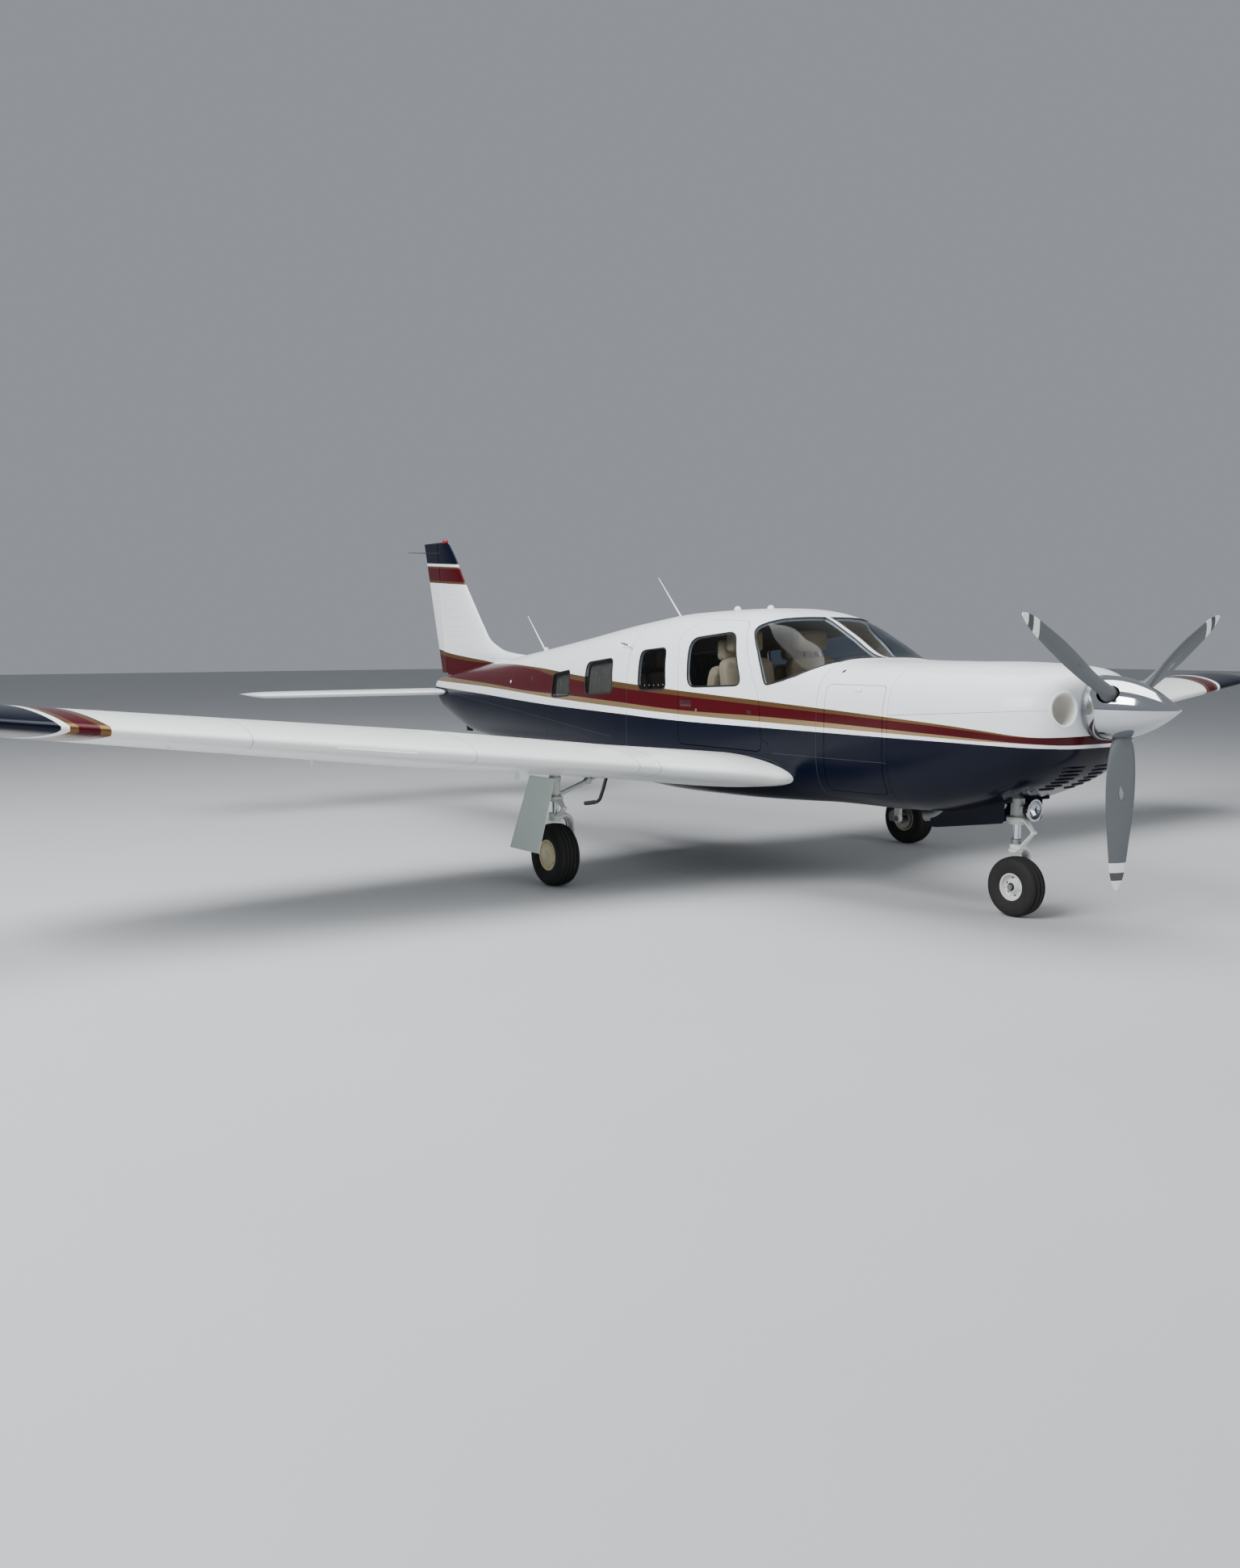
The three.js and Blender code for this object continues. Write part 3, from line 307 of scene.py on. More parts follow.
def linked(name: str, mesh: bpy.types.Mesh, materials: list) -> bpy.types.Object:
    """A mesh as an object in the scene, with its finishes.

    Args:
        name: Its name.
        mesh: Its mesh.
        materials: Its finishes, in the order of their numbers.

    Returns:
        The new object.
    """
    for material in materials:
        mesh.materials.append(material)
    piece = bpy.data.objects.new(name, mesh)
    bpy.context.scene.collection.objects.link(piece)
    return piece


def fit(piece: bpy.types.Object, body: str, slot: str, *nodes: str) -> bpy.types.Object:
    """Puts a finished piece on its body and hides the CAD nodes that it stands for.

    Args:
        piece: The finished object.
        body: The body that it rides on.
        slot: Its slot in the record; not used.
        nodes: The CAD nodes that it replaces.

    Returns:
        The same object.
    """
    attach(piece, body)
    if nodes:
        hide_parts(*nodes)
    log.info("%s rides on %s", piece.name, body)
    return piece


def frames(path: Array, up: Array) -> tuple[Array, Array]:
    """Two directions square to a path at each of its points, the second as near to up as it can be.

    Args:
        path: The path's points.
        up: A direction that the path never follows.

    Returns:
        The two directions at each point.
    """
    tangent = unit(np.gradient(path, axis=0))
    side = unit(np.cross(tangent, up))
    return side, np.cross(side, tangent)


def tube(solid: Solid, path: Array, radius: Array | float, sides: int = 16, up: Array = (0, 0, 1),
         flat: float = 1.0, finish: int = 0, closed: bool = False) -> Solid:
    """Carries a round section along a path and closes its ends.

    Args:
        solid: What the tube is added to.
        path: The points that it follows.
        radius: Its radius, or one for each point.
        sides: Points round the section.
        up: A direction that the path never follows.
        flat: The section's height as a share of its width.
        finish: The number of the finish.
        closed: Whether the path joins itself, and so has no ends.

    Returns:
        The solid.
    """
    path = np.asarray(path, float)
    if closed:
        ring = np.vstack([path[-1:], path, path[:1]])
        side, over = (part[1:-1] for part in frames(ring, np.asarray(up, float)))
    else:
        side, over = frames(path, np.asarray(up, float))
    angle = np.linspace(0, 2 * np.pi, sides, endpoint=False)
    radii = np.broadcast_to(np.asarray(radius, float), (len(path),))[:, None, None]
    surface = path[:, None] + radii * (np.cos(angle)[None, :, None] * side[:, None]
                                       + flat * np.sin(angle)[None, :, None] * over[:, None])
    solid.grid(surface, finish, (closed, True))
    if not closed:
        solid.fan(surface[0], path[0], finish)
        solid.fan(surface[-1], path[-1], finish)
    return solid


def revolved(solid: Solid, profile: Array, origin: Array, axis: Array, segments: int = 64,
             finish: int = 0) -> Solid:
    """Turns a profile of radius and distance about an axis through an origin.

    Args:
        solid: What it is added to.
        profile: Rows of radius and distance along the axis.
        origin: Where the axis starts.
        axis: Its direction.
        segments: Steps round the axis.
        finish: The number of the finish.

    Returns:
        The solid.
    """
    profile = np.asarray(profile, float)
    axis = unit(np.asarray(axis, float))
    helper = np.array([0.0, 0.0, 1.0]) if abs(axis[2]) < 0.9 else np.array([1.0, 0.0, 0.0])
    u = unit(np.cross(axis, helper))
    v = np.cross(axis, u)
    angle = np.linspace(0, 2 * np.pi, segments, endpoint=False)
    around = np.cos(angle)[:, None] * u + np.sin(angle)[:, None] * v
    surface = origin + profile[:, :1, None] * around[None] + profile[:, 1:, None] * axis
    return solid.grid(surface, finish, (False, True))


def slab(solid: Solid, outline: Array, place: Array, u: Array, v: Array, thickness: float,
         finish: int = 0, bevel: float = 0.0015) -> Solid:
    """A flat plate with softened edges: an outline in a plane, pushed along the plane's normal.

    Args:
        solid: What the plate is added to.
        outline: Its corners in the plane, in metres.
        place: The plane's origin, in the middle of the thickness.
        u: The plane's first direction.
        v: Its second direction.
        thickness: The whole thickness.
        finish: The number of the finish.
        bevel: How far the edges are cut back.

    Returns:
        The solid.
    """
    u, v = unit(np.asarray(u, float)), unit(np.asarray(v, float))
    normal = unit(np.cross(u, v))
    half = thickness / 2
    trimmed = inset(outline, min(bevel, half * 0.9))
    rows = [(trimmed, -half), (outline, -half + bevel), (outline, half - bevel), (trimmed, half)]
    surface = np.stack([place + ring[:, :1] * u + ring[:, 1:] * v + normal * h for ring, h in rows])
    solid.grid(surface, finish, (False, True))
    centre = trimmed.mean(axis=0)
    for ring, h in ((surface[0], -half), (surface[-1], half)):
        solid.fan(ring, place + centre[0] * u + centre[1] * v + normal * h, finish)
    return solid


def studs(name: str, body: str, slot: str, material: bpy.types.Material, points: Array,
          normals: Array, radius: float, height: float, sides: int = 8) -> bpy.types.Object:
    """Many small domed heads as one object.

    Args:
        name: The object's name.
        body: The body that they ride on.
        slot: Their slot in the record.
        material: Their finish.
        points: Where they stand on the skin.
        normals: Which way each one faces.
        radius: The radius of a head.
        height: How far its middle stands out.
        sides: Points round a head.

    Returns:
        The new object: each head is two rings and a middle point, on the skin's tangent plane.
    """
    normals = unit(normals)
    helper = np.where(np.abs(normals[:, 2:]) < 0.9, [[0.0, 0.0, 1.0]], [[1.0, 0.0, 0.0]])
    u = unit(np.cross(normals, helper))
    v = np.cross(normals, u)
    angle = np.linspace(0, 2 * np.pi, sides, endpoint=False)
    rows = [(1.0, -0.25), (0.78, 0.72)]
    rings = [[c * r, s * r, h] for r, h in rows for c, s in zip(np.cos(angle), np.sin(angle))]
    shape = np.array(rings + [[0, 0, 1.0]])
    local = shape * [radius, radius, height]
    every = (points[:, None] + local[None, :, :1] * u[:, None] + local[None, :, 1:2] * v[:, None]
             + local[None, :, 2:] * normals[:, None])
    i = np.arange(sides)
    j = (i + 1) % sides
    side_quads = np.column_stack([i, j, j + sides, i + sides])
    caps = np.column_stack([i + sides, j + sides, np.full(sides, 2 * sides)])
    shift = (np.arange(len(points)) * len(shape))[:, None, None]
    solid = Solid()
    solid.add(every, (side_quads[None] + shift).reshape(-1, 4))
    solid.faces.append(((caps[None] + shift).reshape(-1, 3), 0))
    piece = solid.build(name, [material], closed=False, crease=60, merge=0)
    return fit(piece, body, slot)


# Fuselage skin
GIRTH = 1.75

# Key, station, half width, middle, top and bottom heights, upper and lower powers. The key is the
# station apart from the two ends, where the skin turns in faster than the station moves.
FUSELAGE_ROWS = [
    [440, 492, 148, 1240, 1389, 1093, 2.0, 2.0],
    [455, 495, 190, 1232, 1392, 1062, 2.0, 2.0],
    [490, 499, 290, 1217, 1400, 1012, 2.15, 2.1],
    [515, 507, 345, 1208, 1416, 974, 2.2, 2.2],
    [540, 527, 396, 1200, 1436, 934, 2.25, 2.3],
    [600, 600, 460, 1180, 1462, 855, 2.4, 2.5],
    [800, 800, 520, 1150, 1478, 757, 2.7, 2.8],
    [1100, 1100, 565, 1120, 1485, 655, 3.0, 3.2],
    [1430, 1430, 600, 1100, 1482, 592, 3.3, 3.6],
    [1700, 1700, 620, 1090, 1482, 585, 3.6, 4.0],
    [1950, 1950, 632, 1090, 1486, 582, 3.7, 4.0],
    [2120, 2120, 639, 1090, 1502, 578, 3.7, 4.0],
    [2400, 2400, 648, 1090, 1642, 562, 3.7, 4.0],
    [2640, 2640, 651, 1090, 1758, 548, 3.7, 4.0],
    [2840, 2840, 652, 1090, 1808, 538, 3.7, 4.0],
    [3000, 3000, 652, 1090, 1824, 532, 3.7, 4.0],
    [3700, 3700, 650, 1090, 1808, 520, 3.5, 4.0],
    [4200, 4200, 635, 1090, 1760, 540, 3.3, 4.0],
    [5160, 5160, 535, 1090, 1632, 600, 3.0, 3.6],
    [5890, 5890, 440, 1095, 1537, 640, 2.8, 3.3],
    [6900, 6900, 290, 1105, 1412, 710, 2.5, 3.0],
    [7300, 7300, 230, 1115, 1365, 740, 2.4, 2.8],
    [7650, 7650, 175, 1125, 1320, 820, 2.3, 2.6],
    [7900, 7900, 132, 1135, 1268, 895, 2.2, 2.4],
    [8000, 8000, 115, 1140, 1255, 930, 2.2, 2.4],
    [8160, 8160, 72, 1150, 1228, 1050, 2.0, 2.0],
    [8200, 8176, 50, 1150, 1208, 1080, 2.0, 2.0],
    [8225, 8181, 18, 1150, 1170, 1130, 2.0, 2.0],
]
NOSE_KEY, TAIL_KEY = FUSELAGE_ROWS[0][0] * MM, FUSELAGE_ROWS[-1][0] * MM


class FuselageSkin:
    """The smooth outer surface: each section is a superellipse above and below its middle height.

    A place on it is a key along the fuselage and a share of the half girth from the top centre line,
    positive to the left and one at the bottom centre line.
    """

    KEYS, SHARES, QUARTER = 900, 513, 300

    def __init__(self, rows: list) -> None:
        """Works out a table of points, even in key and in arc length round each section.

        Args:
            rows: The table of sections, in millimetres.
        """
        table = np.array(rows, float) * ([MM] * 6 + [1, 1])
        self.keys = np.linspace(table[0, 0], table[-1, 0], self.KEYS)
        self.station, width, middle, top, bottom, up, down = between(table, self.keys).T
        turn = (math.pi / 4) * (1 - np.cos(np.pi * np.linspace(0, 1, self.QUARTER)))
        sin, cos = np.sin(turn)[None], np.cos(turn)[None]
        power_up, power_down = 2 / up[:, None], 2 / down[:, None]
        y = np.hstack([width[:, None] * sin ** power_up, width[:, None] * cos[:, 1:] ** power_down])
        z = np.hstack([middle[:, None] + (top - middle)[:, None] * np.maximum(cos, 0) ** power_up,
                       middle[:, None] - (middle - bottom)[:, None] * sin[:, 1:] ** power_down])
        y[:, -1] = 0
        reach = np.hstack([np.zeros((self.KEYS, 1)), np.cumsum(np.hypot(np.diff(y), np.diff(z)), axis=1)])
        share = np.linspace(0, 1, self.SHARES)
        self.half = np.stack([[np.interp(share * r[-1], r, row) for r, row in zip(reach, part)]
                              for part in (y, z)], axis=-1)

    def columns(self, key: Array) -> Array:
        """The half sections at some keys, as (key, share, y and z).

        Args:
            key: Keys on the skin.

        Returns:
            Half sections: key, share, then side distance and height.
        """
        place = np.clip((key - self.keys[0]) / (self.keys[1] - self.keys[0]), 0, self.KEYS - 1.001)
        i = place.astype(int)
        f = (place - i)[:, None, None]
        return self.half[i] * (1 - f) + self.half[i + 1] * f

    def point(self, key: Array, share: Array) -> Array:
        """Points on the skin, with a share past one carried round to the other side.

        Args:
            key: Keys on the skin.
            share: Shares of the half girth.

        Returns:
            The points.
        """
        key, share = np.broadcast_arrays(np.asarray(key, float), np.asarray(share, float))
        share = (share + 1) % 2 - 1
        place = np.clip((key - self.keys[0]) / (self.keys[1] - self.keys[0]), 0, self.KEYS - 1.001)
        i = place.astype(int)
        f = (place - i)[..., None]
        along_half = np.abs(share) * (self.SHARES - 1)
        j = np.minimum(along_half.astype(int), self.SHARES - 2)
        e = (along_half - j)[..., None]
        yz = ((self.half[i, j] * (1 - e) + self.half[i, j + 1] * e) * (1 - f)
              + (self.half[i + 1, j] * (1 - e) + self.half[i + 1, j + 1] * e) * f)
        station = np.interp(key, self.keys, self.station)
        return np.stack([HALF_LENGTH - station, yz[..., 0] * np.where(share < 0, -1, 1), yz[..., 1]], -1)

    def normal(self, key: Array, share: Array) -> Array:
        """Outward directions on the skin, from the points a little ahead, behind and to both sides.

        Args:
            key: Keys on the skin.
            share: Shares of the half girth.

        Returns:
            Directions of length one.
        """
        ahead = self.point(np.asarray(key) + 0.012, share) - self.point(np.asarray(key) - 0.012, share)
        across = self.point(key, np.asarray(share) + 0.006) - self.point(key, np.asarray(share) - 0.006)
        return unit(np.cross(across, ahead))

    def lifted(self, key: Array, share: Array, out: float | Array = 0.0) -> Array:
        """Points a distance outside the skin."""
        return self.point(key, share) + self.normal(key, share) * np.asarray(out)[..., None]

    def share_at_height(self, key: Array, height: Array, side: int) -> Array:
        """The share at which the skin reaches a height on one side.

        Args:
            key: Keys on the skin.
            height: A height for each key.
            side: 1 for left and -1 for right.

        Returns:
            A share for each key.
        """
        column = self.columns(key)[..., 1]
        k = np.clip((column > height[:, None]).sum(axis=1), 1, self.SHARES - 1)
        rows = np.arange(len(k))
        high, low = column[rows, k - 1], column[rows, k]
        f = np.clip((high - height) / np.maximum(high - low, 1e-9), 0, 1)
        return side * (k - 1 + f) / (self.SHARES - 1)

    def share_at_width(self, key: Array, y: Array, upper: bool = True) -> Array:
        """The share at which the skin is a side distance out, above or below its widest place.

        Args:
            key: Keys on the skin.
            y: A side distance for each key.
            upper: Whether the place above the widest one is meant.

        Returns:
            A share for each key.
        """
        column = self.columns(key)[..., 0]
        widest = column.argmax(axis=1)[:, None]
        index = np.arange(self.SHARES)[None]
        wide = np.abs(y)[:, None]
        part = (column < wide) & (index <= widest) if upper else (column >= wide) | (index < widest)
        k = np.clip(part.sum(axis=1), 1, self.SHARES - 1)
        rows = np.arange(len(k))
        a, b = column[rows, k - 1], column[rows, k]
        f = np.clip((np.abs(y) - a) / np.where(np.abs(b - a) < 1e-9, 1e-9, b - a), 0, 1)
        return np.where(y < 0, -1, 1) * (k - 1 + f) / (self.SHARES - 1)

    def from_ahead(self, y: Array, z: Array) -> Array:
        """Keys and shares of points on the cowl's front, given as seen from ahead.

        Args:
            y: Side distances.
            z: Heights.

        Returns:
            Rows of key and share: the nearest of a grid of places, then moved by the local slopes.
        """
        key, share = np.meshgrid(np.linspace(NOSE_KEY, 0.9, 200), np.linspace(-0.97, 0.97, 300))
        key, share = key.ravel(), share.ravel()
        seen = self.point(key, share)[:, 1:]
        wanted = np.column_stack([y, z])
        best = ((seen[None] - wanted[:, None]) ** 2).sum(axis=2).argmin(axis=1)
        key, share = key[best], share[best]
        for _ in range(5):
            here = self.point(key, share)[:, 1:]
            by_key = (self.point(key + 0.002, share)[:, 1:] - here) / 0.002
            by_share = (self.point(key, share + 0.002)[:, 1:] - here) / 0.002
            miss = wanted - here
            size = by_key[:, 0] * by_share[:, 1] - by_key[:, 1] * by_share[:, 0]
            size = np.where(np.abs(size) < 1e-6, 1e-6, size)
            key_step = (miss[:, 0] * by_share[:, 1] - miss[:, 1] * by_share[:, 0]) / size
            share_step = (by_key[:, 0] * miss[:, 1] - by_key[:, 1] * miss[:, 0]) / size
            key, share = key + np.clip(key_step, -0.02, 0.02), share + np.clip(share_step, -0.02, 0.02)
        return np.column_stack([key, share])

    def side_outline(self, corners: list, radius: float, side: int, step: float = 0.012) -> Array:
        """An outline of stations and heights, laid on one side of the skin as keys and girth lengths.

        Args:
            corners: Stations and heights, in millimetres.
            radius: The radius of the corners, in millimetres.
            side: 1 for left and -1 for right.
            step: The longest step.

        Returns:
            The outline as keys and girth lengths.
        """
        outline = resampled(rounded(corners, radius) * MM, step)
        share = self.share_at_height(outline[:, 0], outline[:, 1], side)
        return np.column_stack([outline[:, 0], share * GIRTH])


@dataclass
class Shell:
    """A piece of the fuselage skin with a thickness, trimmed by outlines.

    Args:
        name: The object's name.
        skin: The surface that it follows.
        outline: Its border as keys and girth lengths.
        holes: Borders of what is cut out, which may cross its own border.
        spacing: About how far apart its points are.
        depth: Its thickness.
        sink: How far its outer face lies inside the skin.
    """

    name: str
    skin: FuselageSkin
    outline: Array
    holes: list
    spacing: float = 0.034
    depth: float = 0.002
    sink: float = 0.0

    def triangles(self) -> tuple[Array, Array]:
        """Triangulates the trimmed area: a staggered grid of points, and the borders as fixed edges.

        Returns:
            The corners as keys and girth lengths, and three corner numbers a face.
        """
        borders = [resampled(self.outline, self.spacing * 0.6)]
        borders += [resampled(hole, self.spacing * 0.6) for hole in self.holes]
        low, high = borders[0].min(axis=0), borders[0].max(axis=0)
        rise = self.spacing * math.sqrt(3) / 2
        across, up = np.meshgrid(np.arange(low[0], high[0], self.spacing), np.arange(low[1], high[1], rise))
        across[1::2] += self.spacing / 2
        points = np.column_stack([across.ravel(), up.ravel()])
        points = points[self.wanted(points)]
        border = np.concatenate(borders)
        clear = np.concatenate([distance_to(part, border) > self.spacing * 0.42
                                for part in np.array_split(points, max(1, len(points) // 1500))])
        points = points[clear]
        edges, first = [], len(points)
        for ring in borders:
            i = np.arange(len(ring))
            edges.append(np.column_stack([i, (i + 1) % len(ring)]) + first)
            first += len(ring)
        every = np.vstack([points, *borders])
        corners, _, faces, *_ = delaunay_2d_cdt([Vector(p) for p in every.tolist()],
                                                np.vstack(edges).tolist(), [], 0, 1e-7)
        corners, faces = np.array([tuple(c) for c in corners]), np.array(faces)
        return corners, faces[self.wanted(corners[faces].mean(axis=1))]

    def wanted(self, points: Array) -> Array:
        """Whether places are inside the border and outside every hole.

        Args:
            points: Places as keys and girth lengths.

        Returns:
            True or false for each place.
        """
        keep = inside(points, self.outline)
        for hole in self.holes:
            keep &= ~inside(points, hole)
        return keep

    def build(self, materials: list, inner: int = 0) -> bpy.types.Object:
        """Makes the shell: outer face, inner face and the rim between them, with the skin's own normals.

        Args:
            materials: The finishes.
            inner: The number of the inner face's finish.

        Returns:
            The new object.
        """
        corners, faces = self.triangles()
        key, share = corners[:, 0], corners[:, 1] / GIRTH
        outer, normal = self.skin.point(key, share), self.skin.normal(key, share)
        outer = outer - normal * self.sink
        _, first, same = np.unique(np.round(outer, 5), axis=0, return_index=True, return_inverse=True)
        outer, normal, faces = outer[first], normal[first], same.reshape(-1)[faces]
        faces = faces[(faces[:, 0] != faces[:, 1]) & (faces[:, 1] != faces[:, 2])
                      & (faces[:, 2] != faces[:, 0])]
        a, b, c = (outer[faces[:, k]] for k in range(3))
        flipped = (np.cross(b - a, c - a) * normal[faces[:, 0]]).sum(axis=1) < 0
        faces[flipped] = faces[flipped][:, ::-1]
        count = len(outer)
        edges = np.vstack([faces[:, [0, 1]], faces[:, [1, 2]], faces[:, [2, 0]]])
        codes, back = edges[:, 0] * count + edges[:, 1], edges[:, 1] * count + edges[:, 0]
        free = edges[~np.isin(codes, back)]
        walls = np.column_stack([free[:, 1], free[:, 0], free[:, 0] + count, free[:, 1] + count])
        every = np.vstack([outer, outer - normal * self.depth])
        solid = Solid()
        solid.add(every, faces)
        solid.faces += [(faces[:, ::-1] + count, inner), (walls, 0)]
        piece = solid.build(self.name, materials, closed=False, merge=0)
        wall_normal = unit(np.cross(every[walls[:, 1]] - every[walls[:, 0]],
                                    every[walls[:, 3]] - every[walls[:, 0]]))
        loops = np.concatenate([normal[faces.reshape(-1)], -normal[faces[:, ::-1].reshape(-1)],
                                np.repeat(wall_normal, 4, axis=0)])
        if len(loops) == len(piece.data.loops):
            piece.data.normals_split_custom_set(loops.tolist())
        return piece


def strip(keys: Array, low: Array, high: Array) -> Array:
    """The border of the area between two shares along some keys.

    Args:
        keys: The keys.
        low: The first share at each key.
        high: The other share.

    Returns:
        The border as keys and girth lengths.
    """
    near = np.column_stack([keys, low * GIRTH])
    far = np.column_stack([keys, high * GIRTH])
    return np.vstack([near, far[::-1]])


# Finishes
Socket = bpy.types.NodeSocket


class Tree:
    """Adds nodes to the tree of a material or a group, and joins them."""

    def __init__(self, tree: bpy.types.NodeTree) -> None:
        """Keeps the tree."""
        self.tree = tree

    def node(self, kind: str, inputs: dict | None = None, **settings: object) -> bpy.types.Node:
        """Adds a node.

        Args:
            kind: Its Blender type.
            inputs: Values or sockets for its inputs, by name or number.
            settings: Its properties.

        Returns:
            The node.
        """
        node = self.tree.nodes.new(kind)
        for key, value in settings.items():
            setattr(node, key, value)
        for key, value in (inputs or {}).items():
            if isinstance(value, Socket):
                self.tree.links.new(value, node.inputs[key])
            else:
                node.inputs[key].default_value = value
        return node

    def math(self, operation: str, a: Socket | float, b: Socket | float = 0.0,
             c: Socket | float = 0.0, clamp: bool = False) -> Socket:
        """A Math node's result."""
        node = self.node("ShaderNodeMath", {0: a, 1: b, 2: c}, operation=operation, use_clamp=clamp)
        return node.outputs[0]

    def mix(self, share: Socket | float, a: Socket | tuple, b: Socket | tuple,
            blend: str = "MIX") -> Socket:
        """Two colours mixed by a share."""
        node = self.node("ShaderNodeMix", {0: share, 6: a, 7: b}, data_type="RGBA", blend_type=blend)
        return node.outputs[2]

    def place(self) -> Socket:
        """Object coordinates, which are the model's own metres on every piece."""
        return self.node("ShaderNodeTexCoord").outputs["Object"]

    def noise(self, vector: Socket, scale: float | Socket, detail: float = 3.0) -> Socket:
        """A noise value about one half."""
        node = self.node("ShaderNodeTexNoise", {"Vector": vector, "Scale": scale, "Detail": detail})
        return node.outputs[0]

    def ramp(self, value: Socket, low: float, high: float) -> Socket:
        """Zero at low and one at high, straight between."""
        node = self.node("ShaderNodeMapRange", {0: value, 1: low, 2: high, 3: 0.0, 4: 1.0})
        return node.outputs[0]


def group(name: str, inputs: dict, outputs: dict) -> tuple[bpy.types.NodeTree, Tree, dict, dict]:
    """Starts a shader node group.

    Args:
        name: Its name.
        inputs: Socket type and default of each input, by name.
        outputs: Socket type of each output, by name.

    Returns:
        The group, its builder, its input sockets and its output sockets.
    """
    tree = bpy.data.node_groups.new(name, "ShaderNodeTree")
    for key, (kind, default) in inputs.items():
        socket = tree.interface.new_socket(key, in_out="INPUT", socket_type=kind)
        if default is not None:
            socket.default_value = default
    for key, kind in outputs.items():
        tree.interface.new_socket(key, in_out="OUTPUT", socket_type=kind)
    start, end = tree.nodes.new("NodeGroupInput"), tree.nodes.new("NodeGroupOutput")
    return tree, Tree(tree), {k: start.outputs[k] for k in inputs}, {k: end.inputs[k] for k in outputs}


COLOUR, VALUE = "NodeSocketColor", "NodeSocketFloat"


def rgb(red: float, green: float, blue: float) -> tuple:
    """A colour from its screen values up to 255, as linear light."""
    share = [c / 255 for c in (red, green, blue)]
    return tuple(c / 12.92 if c <= 0.04045 else ((c + 0.055) / 1.055) ** 2.4 for c in share) + (1.0,)


WHITE, NAVY = rgb(234, 237, 240), rgb(3, 8, 26)
RED, GOLD, PALE_GOLD = rgb(66, 4, 13), rgb(112, 84, 54), rgb(156, 132, 98)

# Borders of the painted bands: station and height, from the top border down
BANDS = {
    "gold_top": [[500, 1091], [560, 1091], [622, 1094], [857, 1117], [1260, 1149], [2430, 1216],
                 [3585, 1270], [4254, 1306], [4937, 1343], [5647, 1383], [6550, 1401], [6874, 1394],
                 [7266, 1423], [7858, 1474], [8144, 1511], [8500, 1550]],
    "red_top": [[500, 1091], [621, 1090], [858, 1106], [1259, 1133], [2427, 1186], [3435, 1227],
                [4249, 1262], [4941, 1303], [5343, 1329], [5759, 1371], [6600, 1385], [7260, 1398],
                [7760, 1428], [8118, 1461], [8500, 1500]],
    "red_low": [[500, 1044], [530, 1049], [624, 1056], [858, 1068], [1258, 1085], [2424, 1120],
                [3434, 1128], [4246, 1157], [4924, 1175], [5794, 1186], [6397, 1211], [7191, 1234],
                [8500, 1262]],
    "gold_low": [[500, 1044], [530, 1049], [596, 1054], [858, 1057], [1258, 1066], [2425, 1085],
                 [3433, 1098], [4246, 1119], [5340, 1146], [6392, 1181], [6853, 1192], [7888, 1205],
                 [8500, 1212]],
    "white_low": [[500, 1024], [528, 1029], [657, 1034], [857, 1039], [1257, 1044], [2423, 1051],
                  [3451, 1054], [4246, 1071], [5340, 1086], [5930, 1100], [6843, 1125], [7862, 1145],
                  [8500, 1158]],
}
BAND_LOW, BAND_HIGH, STATION_END = 950.0, 1600.0, 8500.0


def livery_group() -> bpy.types.NodeTree:
    """The fuselage's bands: at each station a curve gives a border's height, and heights pick the colour.

    Returns:
        The group: a colour, and how metallic it is.
    """
    tree, make, _, out = group("Livery", {}, {"Color": COLOUR, "Metal": VALUE})
    split = make.node("ShaderNodeSeparateXYZ", {0: make.place()})
    station = make.math("SUBTRACT", HALF_LENGTH, split.outputs[0])
    share = make.math("DIVIDE", station, STATION_END * MM)
    colour: Socket | tuple = WHITE
    metal: Socket | float = 0.0
    for rows, paint, shine in zip(BANDS.values(), (GOLD, RED, PALE_GOLD, WHITE, NAVY), (1, 0, 1, 0, 0)):
        curve = make.node("ShaderNodeFloatCurve", {1: share})
        line = curve.mapping.curves[0]
        points = [[s / STATION_END, (z - BAND_LOW) / (BAND_HIGH - BAND_LOW)] for s, z in rows]
        line.points[0].location, line.points[-1].location = points[0], points[-1]
        for point in points[1:-1]:
            line.points.new(*point)
        curve.mapping.update()
        height = make.math("MULTIPLY_ADD", curve.outputs[0], (BAND_HIGH - BAND_LOW) * MM, BAND_LOW * MM)
        below = make.math("LESS_THAN", split.outputs[2], height)
        colour = make.mix(below, colour, paint)
        metal = make.math("MULTIPLY_ADD", below, make.math("SUBTRACT", float(shine), metal), metal)
    make.tree.links.new(colour, out["Color"])
    make.tree.links.new(metal, out["Metal"])
    return tree


def banded(make: Tree, value: Socket, bands: tuple, colour: Socket, metal: Socket) -> None:
    """Lays bands over a ground and links the result to the group's end.

    Args:
        make: The group's builder.
        value: What rises from band to band.
        bands: Where each band starts, its colour and how metallic it is.
        colour: The ground's colour.
        metal: How metallic the ground is.
    """
    for low, paint, shine in bands:
        beyond = make.math("GREATER_THAN", value, low)
        colour = make.mix(beyond, colour, paint)
        metal = make.math("MULTIPLY_ADD", beyond, make.math("SUBTRACT", float(shine), metal), metal)
    end = next(node for node in make.tree.nodes if node.bl_idname == "NodeGroupOutput")
    make.tree.links.new(colour, end.inputs["Color"])
    make.tree.links.new(metal, end.inputs["Metal"])


def fin_group() -> bpy.types.NodeTree:
    """The bands near the top of the fin and rudder, by height above a line that rises going aft.

    Returns:
        The group: a colour, and how metallic it is.
    """
    tree, make, given, _ = group("Fin bands", {"Color": (COLOUR, WHITE), "Metal": (VALUE, 0.0)},
                                 {"Color": COLOUR, "Metal": VALUE})
    split = make.node("ShaderNodeSeparateXYZ", {0: make.place()})
    aft = make.math("SUBTRACT", HALF_LENGTH - 8.0, split.outputs[0])
    height = make.math("MULTIPLY_ADD", aft, -0.06, split.outputs[2])
    bands = ((2.156, GOLD, 1), (2.1788, RED, 0), (2.3023, GOLD, 1), (2.3199, WHITE, 0), (2.3447, NAVY, 0))
    banded(make, height, bands, given["Color"], given["Metal"])
    return tree


